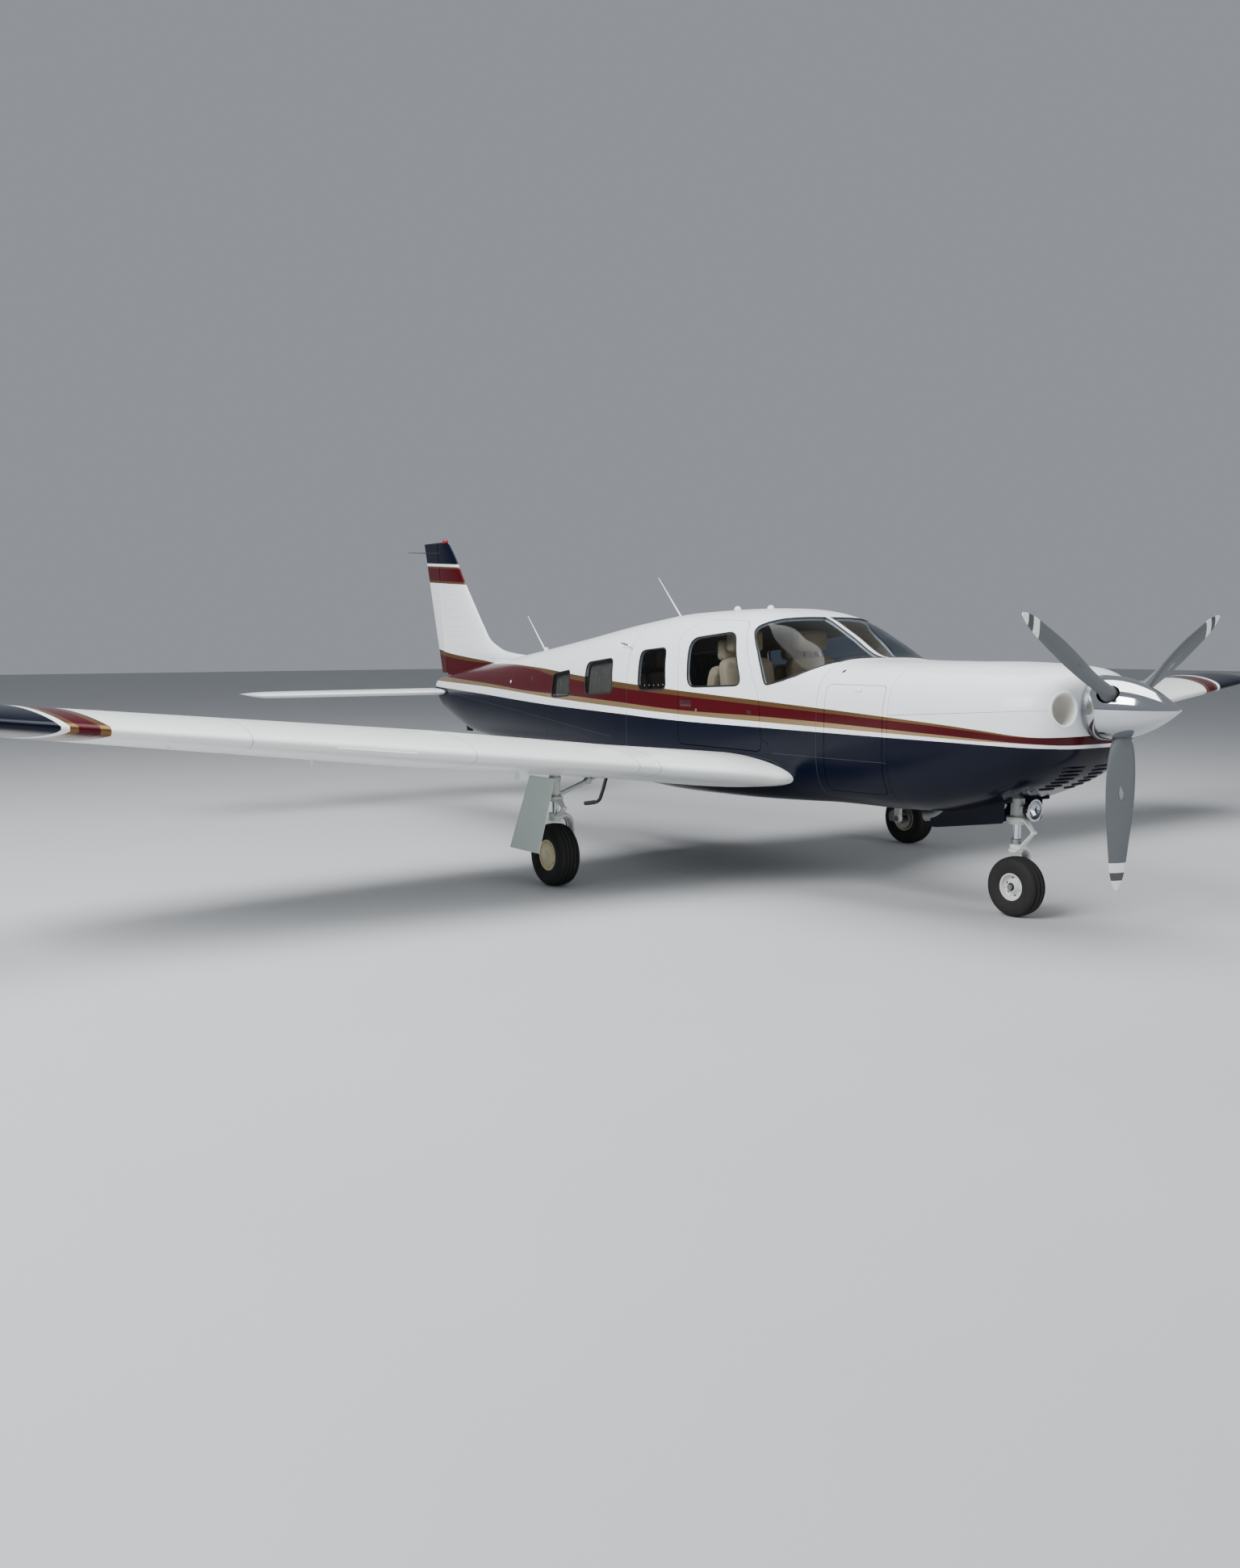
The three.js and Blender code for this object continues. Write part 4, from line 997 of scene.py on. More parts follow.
def wing_group() -> bpy.types.NodeTree:
    """The bands near a wing's tip, by distance out less a share of the distance aft.

    Returns:
        The group: a colour, and how metallic it is.
    """
    tree, make, given, _ = group("Wing bands", {"Color": (COLOUR, WHITE), "Metal": (VALUE, 0.0)},
                                 {"Color": COLOUR, "Metal": VALUE})
    split = make.node("ShaderNodeSeparateXYZ", {0: make.place()})
    aft = make.math("SUBTRACT", HALF_LENGTH - 2.79, split.outputs[0])
    bend = make.math("POWER", make.math("MAXIMUM", aft, 0.0), 0.7)
    reach = make.math("MULTIPLY_ADD", bend, -0.30, make.math("ABSOLUTE", split.outputs[1]))
    bands = ((4.64, GOLD, 1), (4.69, RED, 0), (4.79, GOLD, 1), (4.83, WHITE, 0), (4.87, NAVY, 0))
    banded(make, reach, bands, given["Color"], given["Metal"])
    return tree


def blade_group() -> bpy.types.NodeTree:
    """Grey blades with white and dark bands near the tips, by distance from the shaft, and no metal.

    Returns:
        The group: a colour, and how metallic it is.
    """
    tree, make, _, out = group("Blade bands", {}, {"Color": COLOUR, "Metal": VALUE})
    place = make.node("ShaderNodeVectorMath", {0: make.place(), 1: (0.0, 0.0, -PROP_HEIGHT)}, operation="ADD")
    flat = make.node("ShaderNodeVectorMath", {0: place.outputs[0], 1: (0.0, 1.0, 1.0)}, operation="MULTIPLY")
    reach = make.node("ShaderNodeVectorMath", {0: flat.outputs[0]}, operation="LENGTH").outputs["Value"]
    colour: Socket | tuple = rgb(84, 89, 92)
    for low, paint in ((0.841, rgb(226, 228, 226)), (0.894, rgb(66, 69, 71)), (0.938, rgb(226, 228, 226))):
        colour = make.mix(make.math("GREATER_THAN", reach, low), colour, paint)
    make.tree.links.new(colour, out["Color"])
    make.tree.links.new(make.math("GREATER_THAN", reach, 99.0), out["Metal"])
    return tree


def wear_group() -> bpy.types.NodeTree:
    """Uneven colour, dust low down and soft smears of roughness, with a fine height for a bump.

    Returns:
        The group: a colour, a roughness and a height.
    """
    tree, make, given, out = group(
        "Wear",
        {"Color": (COLOUR, WHITE), "Scale": (VALUE, 6.0), "Variation": (VALUE, 0.05),
         "Roughness": (VALUE, 0.3), "Smear": (VALUE, 0.1), "Dust": (VALUE, 0.1),
         "Fine Scale": (VALUE, 400.0)},
        {"Color": COLOUR, "Roughness": VALUE, "Height": VALUE})
    place = make.place()
    cloud = make.noise(place, given["Scale"], 5.0)
    stretched = make.node("ShaderNodeMapping", {0: place, 3: (0.35, 1.0, 2.2)}).outputs[0]
    streak = make.noise(stretched, make.math("MULTIPLY", given["Scale"], 4.0), 4.0)
    shade = make.math("MULTIPLY_ADD", make.math("SUBTRACT", cloud, 0.5), given["Variation"], 1.0)
    tinted = make.node("ShaderNodeVectorMath", {0: given["Color"], "Scale": shade}, operation="SCALE")
    height = make.node("ShaderNodeSeparateXYZ", {0: place}).outputs[2]
    low = make.ramp(height, 1.0, 0.25)
    dust = make.math("MULTIPLY", make.math("MULTIPLY", low, streak), given["Dust"], clamp=True)
    colour = make.mix(dust, tinted.outputs[0], rgb(150, 140, 124))
    smear = make.math("MULTIPLY", make.math("SUBTRACT", streak, 0.5), given["Smear"])
    rough = make.math("ADD", make.math("ADD", given["Roughness"], smear), dust, clamp=True)
    fine = make.noise(place, given["Fine Scale"], 2.0)
    for socket, name in ((colour, "Color"), (rough, "Roughness"), (fine, "Height")):
        make.tree.links.new(socket, out[name])
    return tree


class Pattern(Enum):
    """What gives a painted finish its colours."""

    PLAIN = "plain"
    LIVERY = "livery"
    FIN = "fin"
    WING = "wing"
    BLADE = "blade"


@dataclass(frozen=True)
class Finish:
    """A finish of one kind of surface.

    Args:
        name: The material's name.
        colour: Its linear colour, where its pattern gives none.
        roughness: The middle of its roughness.
        metallic: How metallic it is.
        coat: The weight of a clear coat.
        pattern: Where its colours come from.
        scale: Clouds of uneven colour to the metre.
        variation: How uneven the colour is.
        smear: How uneven the roughness is.
        dust: How much dust there is low down.
        fine: Grains to the metre in the bump.
        bump: How deep the grain is, in metres.
        sheen: The weight of a soft sheen.
        shine: How strongly it mirrors when seen straight on.
    """

    name: str
    colour: tuple = WHITE
    roughness: float = 0.3
    metallic: float = 0.0
    coat: float = 0.0
    pattern: Pattern = Pattern.PLAIN
    scale: float = 6.0
    variation: float = 0.06
    smear: float = 0.12
    dust: float = 0.10
    fine: float = 400.0
    bump: float = 0.00002
    sheen: float = 0.0
    shine: float = 0.5

    def material(self, groups: dict) -> bpy.types.Material:
        """Builds the material.

        Args:
            groups: The shared node groups by name.

        Returns:
            The material.
        """
        material = bpy.data.materials.new(self.name)
        material.use_nodes = True
        make = Tree(material.node_tree)
        shader = material.node_tree.nodes["Principled BSDF"]
        colour: Socket | tuple = self.colour
        metal: Socket | None = None
        if self.pattern is not Pattern.PLAIN:
            source = Pattern.LIVERY if self.pattern is Pattern.FIN else self.pattern
            painted = make.node("ShaderNodeGroup", node_tree=groups[source.value])
            if self.pattern is Pattern.WING:
                painted.inputs["Color"].default_value = self.colour
            if self.pattern is Pattern.FIN:
                painted = make.node("ShaderNodeGroup", node_tree=groups["fin"])
                under = make.node("ShaderNodeGroup", node_tree=groups["livery"])
                make.tree.links.new(under.outputs["Color"], painted.inputs["Color"])
                make.tree.links.new(under.outputs["Metal"], painted.inputs["Metal"])
            colour, metal = painted.outputs["Color"], painted.outputs["Metal"]
        worn = make.node("ShaderNodeGroup", node_tree=groups["wear"])
        for key, value in (("Color", colour), ("Scale", self.scale), ("Variation", self.variation),
                           ("Roughness", self.roughness), ("Smear", self.smear), ("Dust", self.dust),
                           ("Fine Scale", self.fine)):
            if isinstance(value, Socket):
                make.tree.links.new(value, worn.inputs[key])
            else:
                worn.inputs[key].default_value = value
        make.tree.links.new(worn.outputs["Color"], shader.inputs["Base Color"])
        make.tree.links.new(worn.outputs["Roughness"], shader.inputs["Roughness"])
        if metal is not None:
            make.tree.links.new(make.math("MULTIPLY", metal, 0.6), shader.inputs["Metallic"])
        else:
            shader.inputs["Metallic"].default_value = self.metallic
        shader.inputs["Coat Weight"].default_value = self.coat
        shader.inputs["Coat Roughness"].default_value = 0.04
        shader.inputs["Sheen Weight"].default_value = self.sheen
        shader.inputs["Specular IOR Level"].default_value = self.shine
        bump = make.node("ShaderNodeBump", {"Strength": 1.0, "Distance": self.bump})
        make.tree.links.new(worn.outputs["Height"], bump.inputs["Height"])
        make.tree.links.new(bump.outputs[0], shader.inputs["Normal"])
        return material


def clear_material(name: str, tint: tuple, roughness: float) -> bpy.types.Material:
    """Clear acrylic that lets light through its shadow.

    Args:
        name: The material's name.
        tint: Its linear colour.
        roughness: Its roughness.

    Returns:
        The material: full transmission, with faint scratches in its roughness.
    """
    material = bpy.data.materials.new(name)
    material.use_nodes = True
    make = Tree(material.node_tree)
    shader = material.node_tree.nodes["Principled BSDF"]
    shader.inputs["Base Color"].default_value = tint
    shader.inputs["Transmission Weight"].default_value = 1.0
    shader.inputs["IOR"].default_value = 1.16
    haze = make.noise(make.place(), 14.0, 6.0)
    make.tree.links.new(make.math("MULTIPLY_ADD", haze, 0.03, roughness), shader.inputs["Roughness"])
    shadow = make.node("ShaderNodeLightPath").outputs["Is Shadow Ray"]
    make.tree.links.new(make.math("MULTIPLY_ADD", shadow, -0.85, 1.0), shader.inputs["Alpha"])
    return material


PAINT = {"roughness": 0.20, "coat": 0.0, "variation": 0.05, "scale": 2.5, "smear": 0.06, "fine": 260.0,
         "dust": 0.008, "shine": 0.2}
FINISHES = (
    Finish("fuselage_paint", pattern=Pattern.LIVERY, **PAINT),
    Finish("fin_paint", pattern=Pattern.FIN, **PAINT),
    Finish("wing_paint", rgb(232, 235, 234), pattern=Pattern.WING, **PAINT),
    Finish("white_paint", WHITE, **PAINT),
    Finish("navy_paint", NAVY, **PAINT),
    Finish("seal_rubber", rgb(20, 20, 21), 0.7, fine=900, bump=0.0001),
    Finish("tyre_rubber", rgb(14, 14, 15), 0.8, variation=0.35, scale=18, dust=0.02, fine=1200, bump=0.0002),
    Finish("cream_hub", rgb(222, 210, 166), 0.38, coat=0.2, variation=0.12, dust=0.08),
    Finish("white_hub", rgb(206, 208, 206), 0.4, coat=0.2, variation=0.12, dust=0.1),
    Finish("gear_paint", rgb(218, 221, 217), 0.36, coat=0.2, variation=0.10, smear=0.2, dust=0.08),
    Finish("door_paint", rgb(198, 212, 203), 0.34, coat=0.2, variation=0.08, smear=0.15, dust=0.06),
    Finish("polished_metal", rgb(205, 208, 212), 0.07, 1.0, variation=0.08, smear=0.06, fine=60,
           bump=0.00003),
    Finish("steel", rgb(150, 152, 156), 0.32, 1.0, variation=0.3, scale=30, smear=0.3),
    Finish("cast_metal", rgb(128, 130, 132), 0.5, 0.85, variation=0.3, scale=40, fine=1500, bump=0.0002),
    Finish("blade_paint", roughness=0.46, pattern=Pattern.BLADE, variation=0.12, scale=12, smear=0.2,
           dust=0.0),
    Finish("bead_white", rgb(236, 236, 232), 0.4, variation=0.06),
    Finish("trim_beige", rgb(196, 184, 160), 0.75, variation=0.12, scale=20, fine=1400, bump=0.0002,
           sheen=0.2),
    Finish("leather", rgb(198, 178, 146), 0.5, variation=0.18, scale=14, smear=0.2, fine=800, bump=0.0004),
    Finish("carpet", rgb(92, 84, 74), 0.95, variation=0.3, scale=60, fine=900, bump=0.0015, sheen=0.4),
    Finish("panel_black", rgb(24, 24, 26), 0.55, variation=0.2, scale=30, fine=1600, bump=0.0002),
    # Near-black painted shade: laid on hollows, openings, wells and inner faces to stand for the shade inside
    # them.
    Finish("dark_inside", rgb(14, 14, 15), 0.85, variation=0.3),
    Finish("bowl_grey", rgb(226, 224, 216), 0.5, variation=0.10, scale=10, dust=0.0),
    Finish("panel_line", rgb(52, 54, 60), 0.6, variation=0.1),
    # The blinds' colour is darker than their own grey-beige: partly painted shade for the dim cabin behind
    # the windows.
    Finish("curtain", rgb(104, 98, 88), 0.9, variation=0.25, scale=40, fine=1500, bump=0.0006, sheen=0.1),
    Finish("engine_grey", rgb(70, 72, 74), 0.6, 0.3, variation=0.3, scale=12, fine=500, bump=0.0006),
    Finish("step_rubber", rgb(22, 22, 23), 0.8, variation=0.3, scale=40, fine=900, bump=0.0006),
    Finish("lens_red", rgb(150, 12, 10), 0.12, coat=0.8, variation=0.05),
    Finish("dark_red", rgb(52, 6, 13), 0.3, coat=0.3, variation=0.05),
    Finish("hose", rgb(16, 16, 17), 0.5, variation=0.2, fine=700, bump=0.0002),
)


def finishes() -> dict:
    """Builds the shared groups and every material, and returns the materials by name.

    Returns:
        The materials by name.
    """
    groups = {"livery": livery_group(), "fin": fin_group(), "wing": wing_group(), "blade": blade_group(),
              "wear": wear_group()}
    made = {finish.name: finish.material(groups) for finish in FINISHES}
    # The acrylic's grey tint is partly its own and partly painted shade: it is darkened so that the cabin
    # seen through it looks darker.
    made["window_acrylic"] = clear_material("window_acrylic", rgb(158, 166, 174), 0.01)
    made["lamp_glass"] = clear_material("lamp_glass", rgb(240, 244, 246), 0.02)
    return made


# Fuselage
@dataclass
class Cowl:
    """The engine cowl in two halves, with its air inlets and the opening for the nose gear.

    Args:
        skin: The fuselage skin.
        rear: The station of its rear edge.
        split: Station and height of the line between the halves, at two places.
        inlet_y: The side distance of an inlet's middle.
        inlet_z: Its height.
        inlet_radius: Its radius.
        well_front: The station where the nose gear's opening starts.
        well_half: Half the opening's width.
    """

    skin: FuselageSkin
    rear: float = 1.4945
    split: tuple = ((0.400, 1.246), (1.700, 1.162))
    inlet_y: float = 0.290
    inlet_z: float = 1.238
    inlet_radius: float = 0.098
    well_front: float = 0.930
    well_half: float = 0.160

    def split_height(self, station: Array) -> Array:
        """The height of the line between the halves."""
        (s0, z0), (s1, z1) = self.split
        return z0 + (station - s0) * (z1 - z0) / (s1 - s0)

    def inlet_border(self, side: int, radius: float, count: int = 72) -> Array:
        """Keys and shares of a circle, as seen from ahead, about an inlet's middle.

        Args:
            side: 1 for left and -1 for right.
            radius: The circle's radius.
            count: How many points.

        Returns:
            Rows of key and share.
        """
        turn = np.linspace(0, 2 * np.pi, count, endpoint=False)
        return self.skin.from_ahead(side * self.inlet_y + radius * np.cos(turn),
                                    self.inlet_z + radius * np.sin(turn))

    def build(self, finish: dict) -> None:
        """Builds both halves, the inlets and their bowls.

        Args:
            finish: The materials by name.
        """
        keys = np.linspace(NOSE_KEY, self.rear, 60)
        station = np.interp(keys, self.skin.keys, self.skin.station)
        share = self.skin.share_at_height(keys, self.split_height(station), 1)
        gap = 0.0011 / GIRTH
        holes = [self.inlet_border(side, self.inlet_radius) * [1, GIRTH] for side in (1, -1)]
        low_holes = [np.column_stack([hole[:, 0], np.where(hole[:, 1] < 0, hole[:, 1] + 2 * GIRTH,
                                                           hole[:, 1])]) for hole in holes]
        # The cowl's inner faces are near-black painted shade.
        paint = [finish["fuselage_paint"], finish["dark_inside"]]
        upper = Shell("cowl_upper_skin", self.skin, strip(keys, -(share - gap), share - gap), holes,
                      spacing=0.026, depth=0.003).build(paint, inner=1)
        fit(upper, "airframe", "white_paint", "cowl_upper")
        lower = Shell("cowl_lower_skin", self.skin, strip(keys, share + gap, 2 - share - gap),
                      [*low_holes, self.well_border()], spacing=0.026, depth=0.003).build(paint, inner=1)
        fit(lower, "airframe", "navy_paint", "cowl_lower")
        for side, word in ((1, "left"), (-1, "right")):
            self.inlet(side, word, finish)

    def well_border(self) -> Array:
        """The opening for the nose gear, run past the cowl's rear edge.

        Returns:
            The border as keys and girth lengths.
        """
        keys = np.linspace(self.well_front, self.rear + 0.02, 24)
        share = self.skin.share_at_width(keys, np.full(24, self.well_half), upper=False)
        return strip(keys, share, 2 - share)

    def inlet(self, side: int, word: str, finish: dict) -> None:
        """A rolled lip round the inlet, and a bowl behind it that closes in as it goes aft.

        Args:
            side: 1 for left and -1 for right.
            word: The side as a word, for the names.
            finish: The materials by name.
        """
        places = self.inlet_border(side, self.inlet_radius + 0.002, 96)
        ring = self.skin.point(places[:, 0], places[:, 1])
        normal = self.skin.normal(places[:, 0], places[:, 1])
        middle = ring.mean(axis=0)
        inward = unit(middle - ring)
        lip = Solid()
        turn = np.linspace(-0.35 * np.pi, 1.0 * np.pi, 12)
        rows = [ring + normal * (0.007 * np.sin(a)) + inward * (0.009 - 0.009 * np.cos(a)) for a in turn]
        back = np.array([-1.0, 0.0, 0.0])
        rows += [rows[-1] + back * 0.012, rows[0] + back * 0.012]
        lip.grid(np.stack(rows), 0, (True, True))
        piece = lip.build(f"inlet_lip_{word}", [finish["white_paint"]])
        fit(piece, "airframe", "white_paint")
        bowl = Solid()
        start = ring + inward * 0.016
        centre = np.array([middle[0], side * self.inlet_y, self.inlet_z])
        depth = np.linspace(0, 1, 16)
        rows = []
        for t in depth:
            shrink = math.cos(0.5 * math.pi * min(1.0, 1.02 * t ** 2.2)) * 0.97 + 0.03
            level = start + (centre - start) * (1 - shrink)
            level = level + back * (0.15 * math.sin(0.5 * math.pi * t))
            rows.append(level)
        bowl.grid(np.stack(rows), 0, (False, True))
        bowl.fan(rows[-1], rows[-1].mean(axis=0), 0)
        piece = bowl.build(f"inlet_bowl_{word}", [finish["bowl_grey"]], closed=False)
        fit(piece, "airframe", "cast_metal")


# Side windows and doors: corners as station and height
WINDOWS = {
    "door_window": ([[2902, 1671], [3368, 1624], [3335, 1282], [2752, 1310]], 85),
    "third_window": ([[3617, 1562], [3935, 1537], [3922, 1242], [3577, 1259]], 60),
    "fourth_window": ([[4294, 1481], [4709, 1440], [4700, 1186], [4259, 1214]], 60),
    "fifth_window": ([[4983, 1379], [5284, 1341], [5294, 1146], [4955, 1171]], 45),
}
# Half of the windscreen: its rim on the side as station and height, then over the top as station and width
SCREEN_SIDE = [[2085, 1474], [2124, 1460], [2160, 1438], [2205, 1415], [2273, 1383], [2368, 1354],
               [2452, 1333], [2508, 1322], [2526, 1324], [2538, 1332], [2551, 1353], [2588, 1432],
               [2648, 1533], [2704, 1604], [2745, 1653], [2754, 1670], [2756, 1689], [2752, 1702],
               [2739, 1713], [2714, 1729], [2688, 1741], [2660, 1753]]
SCREEN_TOP = [[2650, 245], [2646, 120], [2645, 22], [2085, 22], [2085, 160], [2085, 300]]


@dataclass(frozen=True)
class Door:
    """A door in the skin: its node, its side, its corners and their radius, and its window's name."""

    node: str
    side: int
    corners: tuple
    radius: float
    window: str | None


DOORS = (
    Door("front_door", -1, ((2549, 892), (2583, 1247), (2845, 1736), (3340, 1752), (3507, 1640),
                            (3453, 1457), (3434, 1220), (3434, 892)), 60, "door_window"),
    Door("rear_door", 1, ((4205, 830), (4205, 1560), (4862, 1500), (4862, 830)), 60, "fourth_window"),
    Door("utility_door", 1, ((4885, 830), (4885, 1480), (5385, 1415), (5385, 850)), 60, "fifth_window"),
    Door("nose_baggage_door", -1, ((1530, 700), (1530, 1345), (1995, 1345), (1995, 690)), 35, None),
)


@dataclass
class Cabin:
    """The cabin shell, tail cone, doors and panes.

    Args:
        skin: The fuselage skin.
        front: The station of its front edge.
        rear: The station of the joint with the tail cone.
        wall: The thickness of its wall.
        door_gap: The gap round a door.
        pane: The thickness of a pane.
    """

    skin: FuselageSkin
    front: float = 1.4965
    rear: float = 5.4195
    wall: float = 0.026
    door_gap: float = 0.004
    pane: float = 0.005

    def window(self, name: str, side: int) -> Array:
        """The border of a side window."""
        corners, radius = WINDOWS[name]
        return self.skin.side_outline(corners, radius, side)

    def windscreen(self, side: int) -> Array:
        """The border of one half of the windscreen: up and round its side rim, then back over the top.

        Args:
            side: 1 for left and -1 for right.

        Returns:
            The border as keys and girth lengths.
        """
        low, top = np.array(SCREEN_SIDE) * MM, np.array(SCREEN_TOP) * MM
        rim = self.skin.share_at_height(low[:, 0], low[:, 1], side)
        over = self.skin.share_at_width(top[:, 0], side * top[:, 1])
        key = np.concatenate([low[:, 0], top[:, 0]])
        return resampled(np.column_stack([key, np.concatenate([rim, over]) * GIRTH]), 0.012)

    def door_of(self, name: str, side: int) -> Door | None:
        """The door that holds a window, if one does."""
        return next((door for door in DOORS if door.window == name and door.side == side), None)

    def build(self, finish: dict) -> None:
        """Builds every shell and pane.

        Args:
            finish: The materials by name.
        """
        holes = [self.window(name, side) for name in WINDOWS for side in (1, -1)
                 if not self.door_of(name, side)]
        holes += [self.windscreen(side) for side in (1, -1)]
        holes += [self.skin.side_outline(door.corners, door.radius, door.side) for door in DOORS]
        materials = [finish["fuselage_paint"], finish["trim_beige"]]
        keys = np.linspace(self.front, self.rear, 90)
        whole = strip(keys, np.full(90, -1.0), np.full(90, 1.0))
        shell = Shell("cabin_skin", self.skin, whole, holes, spacing=0.036, depth=self.wall)
        fit(shell.build(materials, inner=1), "airframe", "white_paint", "cabin_shell")
        keys = np.linspace(self.rear + 0.0015, TAIL_KEY, 60)
        whole = strip(keys, np.full(60, -1.0), np.full(60, 1.0))
        tail = Shell("tail_skin", self.skin, whole, [], spacing=0.036, depth=0.004)
        # The tail cone's inner faces are near-black painted shade.
        fit(tail.build([finish["fuselage_paint"], finish["dark_inside"]], inner=1), "airframe",
            "navy_paint", "tail_cone")
        for door in DOORS:
            outline = inset(self.skin.side_outline(door.corners, door.radius, door.side), self.door_gap)
            cuts = [self.window(door.window, door.side)] if door.window else []
            shell = Shell(f"{door.node}_skin", self.skin, outline, cuts, spacing=0.03, depth=self.wall)
            fit(shell.build(materials, inner=1), door.node, "white_paint", door.node)
        for name in WINDOWS:
            for side, word in ((1, "left"), (-1, "right")):
                door = self.door_of(name, side)
                plain = f"{word}_{name}".replace("left_door", "left_second")
                node = f"{door.node}_window" if door else plain
                self.pane_at(self.window(name, side), node, door.node if door else "airframe", finish)
        for side, word in ((1, "left"), (-1, "right")):
            self.pane_at(self.windscreen(side), f"windscreen_{word}", "airframe", finish)

    def pane_at(self, border: Array, node: str, body: str, finish: dict) -> None:
        """A pane set a little into its opening, with a rubber seal pressed round it.

        Args:
            border: The opening as keys and girth lengths.
            node: The pane's CAD node.
            body: The body that it rides on.
            finish: The materials by name.
        """
        shell = Shell(f"{node}_pane", self.skin, inset(border, 0.001), [], spacing=0.03,
                      depth=self.pane, sink=0.003)
        fit(shell.build([finish["window_acrylic"]]), body, "clear_acrylic", node)
        ring = inset(border, 0.004)
        path = self.skin.lifted(ring[:, 0], ring[:, 1] / GIRTH, -0.001)
        normal = self.skin.normal(ring[:, 0], ring[:, 1] / GIRTH)
        ahead = unit(np.roll(path, -1, axis=0) - np.roll(path, 1, axis=0))
        across = np.cross(ahead, normal)
        turn = np.linspace(0, 2 * np.pi, 10, endpoint=False)
        surface = (path[:, None] + 0.0065 * np.cos(turn)[None, :, None] * across[:, None]
                   + 0.0045 * np.sin(turn)[None, :, None] * normal[:, None])
        seal = Solid().grid(surface, 0, (True, True)).build(f"{node}_seal", [finish["seal_rubber"]])
        fit(seal, body, "rubber")


# Wings and tail
class Foil:
    """A wing-like surface. A place on it is a distance along its span and a number c from -1 to 1.

    The share of the chord is the square of c, and its sign tells one face from the other.
    """

    THICK = np.array([0.0, 0.0, 1.0])
    FORE = np.array([1.0, 0.0, 0.0])
    FRONT_ROWS, REAR_ROWS, ARC = 45, 16, 12

    def place(self, u: Array, c: Array) -> Array:
        """Points at span distances and values of c."""
        raise NotImplementedError

    def lip(self, u: Array) -> Array:
        """The value of c at which the fixed part ends ahead of a moving surface."""
        raise NotImplementedError

    def hinge(self, u: Array) -> tuple[Array, Array, Array]:
        """The hinge's points, the radius of the moving nose, and the value of c there."""
        raise NotImplementedError

    def section(self, u: Array) -> Array:
        """Values of c round the whole section: even steps of c to the lip, then of its square.

        Args:
            u: Span distances.

        Returns:
            Rows of c, one column for each span distance.
        """
        lip = self.lip(u)
        front = np.linspace(-1, 1, self.FRONT_ROWS)[:, None] * lip
        rear = np.sqrt(lip ** 2 + (1 - lip ** 2) * np.linspace(0, 1, self.REAR_ROWS)[:, None])
        return np.vstack([-rear[:0:-1], front, rear[1:]])

    def whole(self, u: Array) -> Array:
        """Rings round the whole section."""
        c = self.section(u)
        return self.place(np.broadcast_to(u, c.shape), c)

    def arc(self, centre: Array, start: Array, end: Array, radius: Array | None = None) -> Array:
        """Rings forward round a hinge, from one lip to the other.

        Args:
            centre: The hinge's points.
            start: The points of the first lip.
            end: The points of the other lip.
            radius: The nose's radius, or none to run from lip to lip.

        Returns:
            The rings between the lips.
        """
        ways = [ends - centre for ends in (start, end)]
        angle = [np.arctan2(way @ self.THICK, way @ self.FORE) for way in ways]
        reach = [np.linalg.norm(way * (self.THICK + self.FORE), axis=1) for way in ways]
        t = np.linspace(0, 1, self.ARC)[:, None]
        turn = angle[0] * (1 - t) + angle[1] * t
        length = reach[0] * (1 - t) + reach[1] * t
        if radius is not None:
            length = length + (radius - length) * np.sin(np.pi * t)
        return centre + length[..., None] * (np.cos(turn)[..., None] * self.FORE
                                             + np.sin(turn)[..., None] * self.THICK)

    def fixed(self, u: Array) -> Array:
        """Rings of the part ahead of a moving surface, closed by a hollow round its nose.

        Args:
            u: Span distances.

        Returns:
            The rings, point by point and then along the span.
        """
        front = self.place(np.broadcast_to(u, (self.FRONT_ROWS, len(u))),
                           np.linspace(-1, 1, self.FRONT_ROWS)[:, None] * self.lip(u))
        hollow = self.arc(self.hinge(u)[0], front[-1], front[0])
        return np.concatenate([front, hollow[1:-1]])

    def moving(self, u: Array) -> Array:
        """Rings of a moving surface with its round nose.

        Args:
            u: Span distances.

        Returns:
            The rings, point by point and then along the span.
        """
        centre, radius, c = self.hinge(u)
        rear = np.sqrt(c ** 2 + (1 - c ** 2) * np.linspace(1, 0, self.REAR_ROWS)[:, None])
        spans = np.broadcast_to(u, rear.shape)
        upper, lower = self.place(spans, rear), self.place(spans, -rear)[::-1]
        nose = self.arc(centre, upper[-1], lower[0], radius)
        return np.concatenate([upper, nose[1:-1], lower])

    @staticmethod
    def loft(solid: Solid, rings: Array, finish: int = 0) -> Solid:
        """Joins rings into a closed block. The ends are strips across, from each point to its opposite.

        Args:
            solid: What it is added to.
            rings: The rings, point by point and then along the span.
            finish: The number of the finish.

        Returns:
            The solid.
        """
        solid.grid(rings, finish, (True, False))
        half = rings.shape[0] // 2 + 1
        for column in (0, -1):
            ring = rings[:, column]
            solid.grid(np.stack([ring[:half], ring[::-1][:half]], axis=1), finish)
        return solid


# Side distance, leading edge station, chord, leading edge height and thickness ratio of the wing
WING_ROWS = np.array([[560, 2275, 1945, 745, 0.122], [655, 2300, 1920, 747, 0.124],
                      [730, 2355, 1865, 754, 0.128], [1400, 2620, 1600, 822, 0.138],
                      [2690, 2620, 1600, 959, 0.145], [5210, 2812, 1110, 1225, 0.145]])
# Side distances: the wing's end, where the tip's table takes over, the tip's start and its outer end
WING_END, TIP_TABLE, TIP_START, TIP_END = 5.2095, 5.2109, 5.2111, 5.51
# The same for the tip
TIP_ROWS = np.array([[5210, 2812, 1110, 1225, 0.145], [5370, 2835, 1060, 1243, 0.125],
                     [5460, 2900, 940, 1252, 0.100], [5510, 3100, 520, 1258, 0.060]])


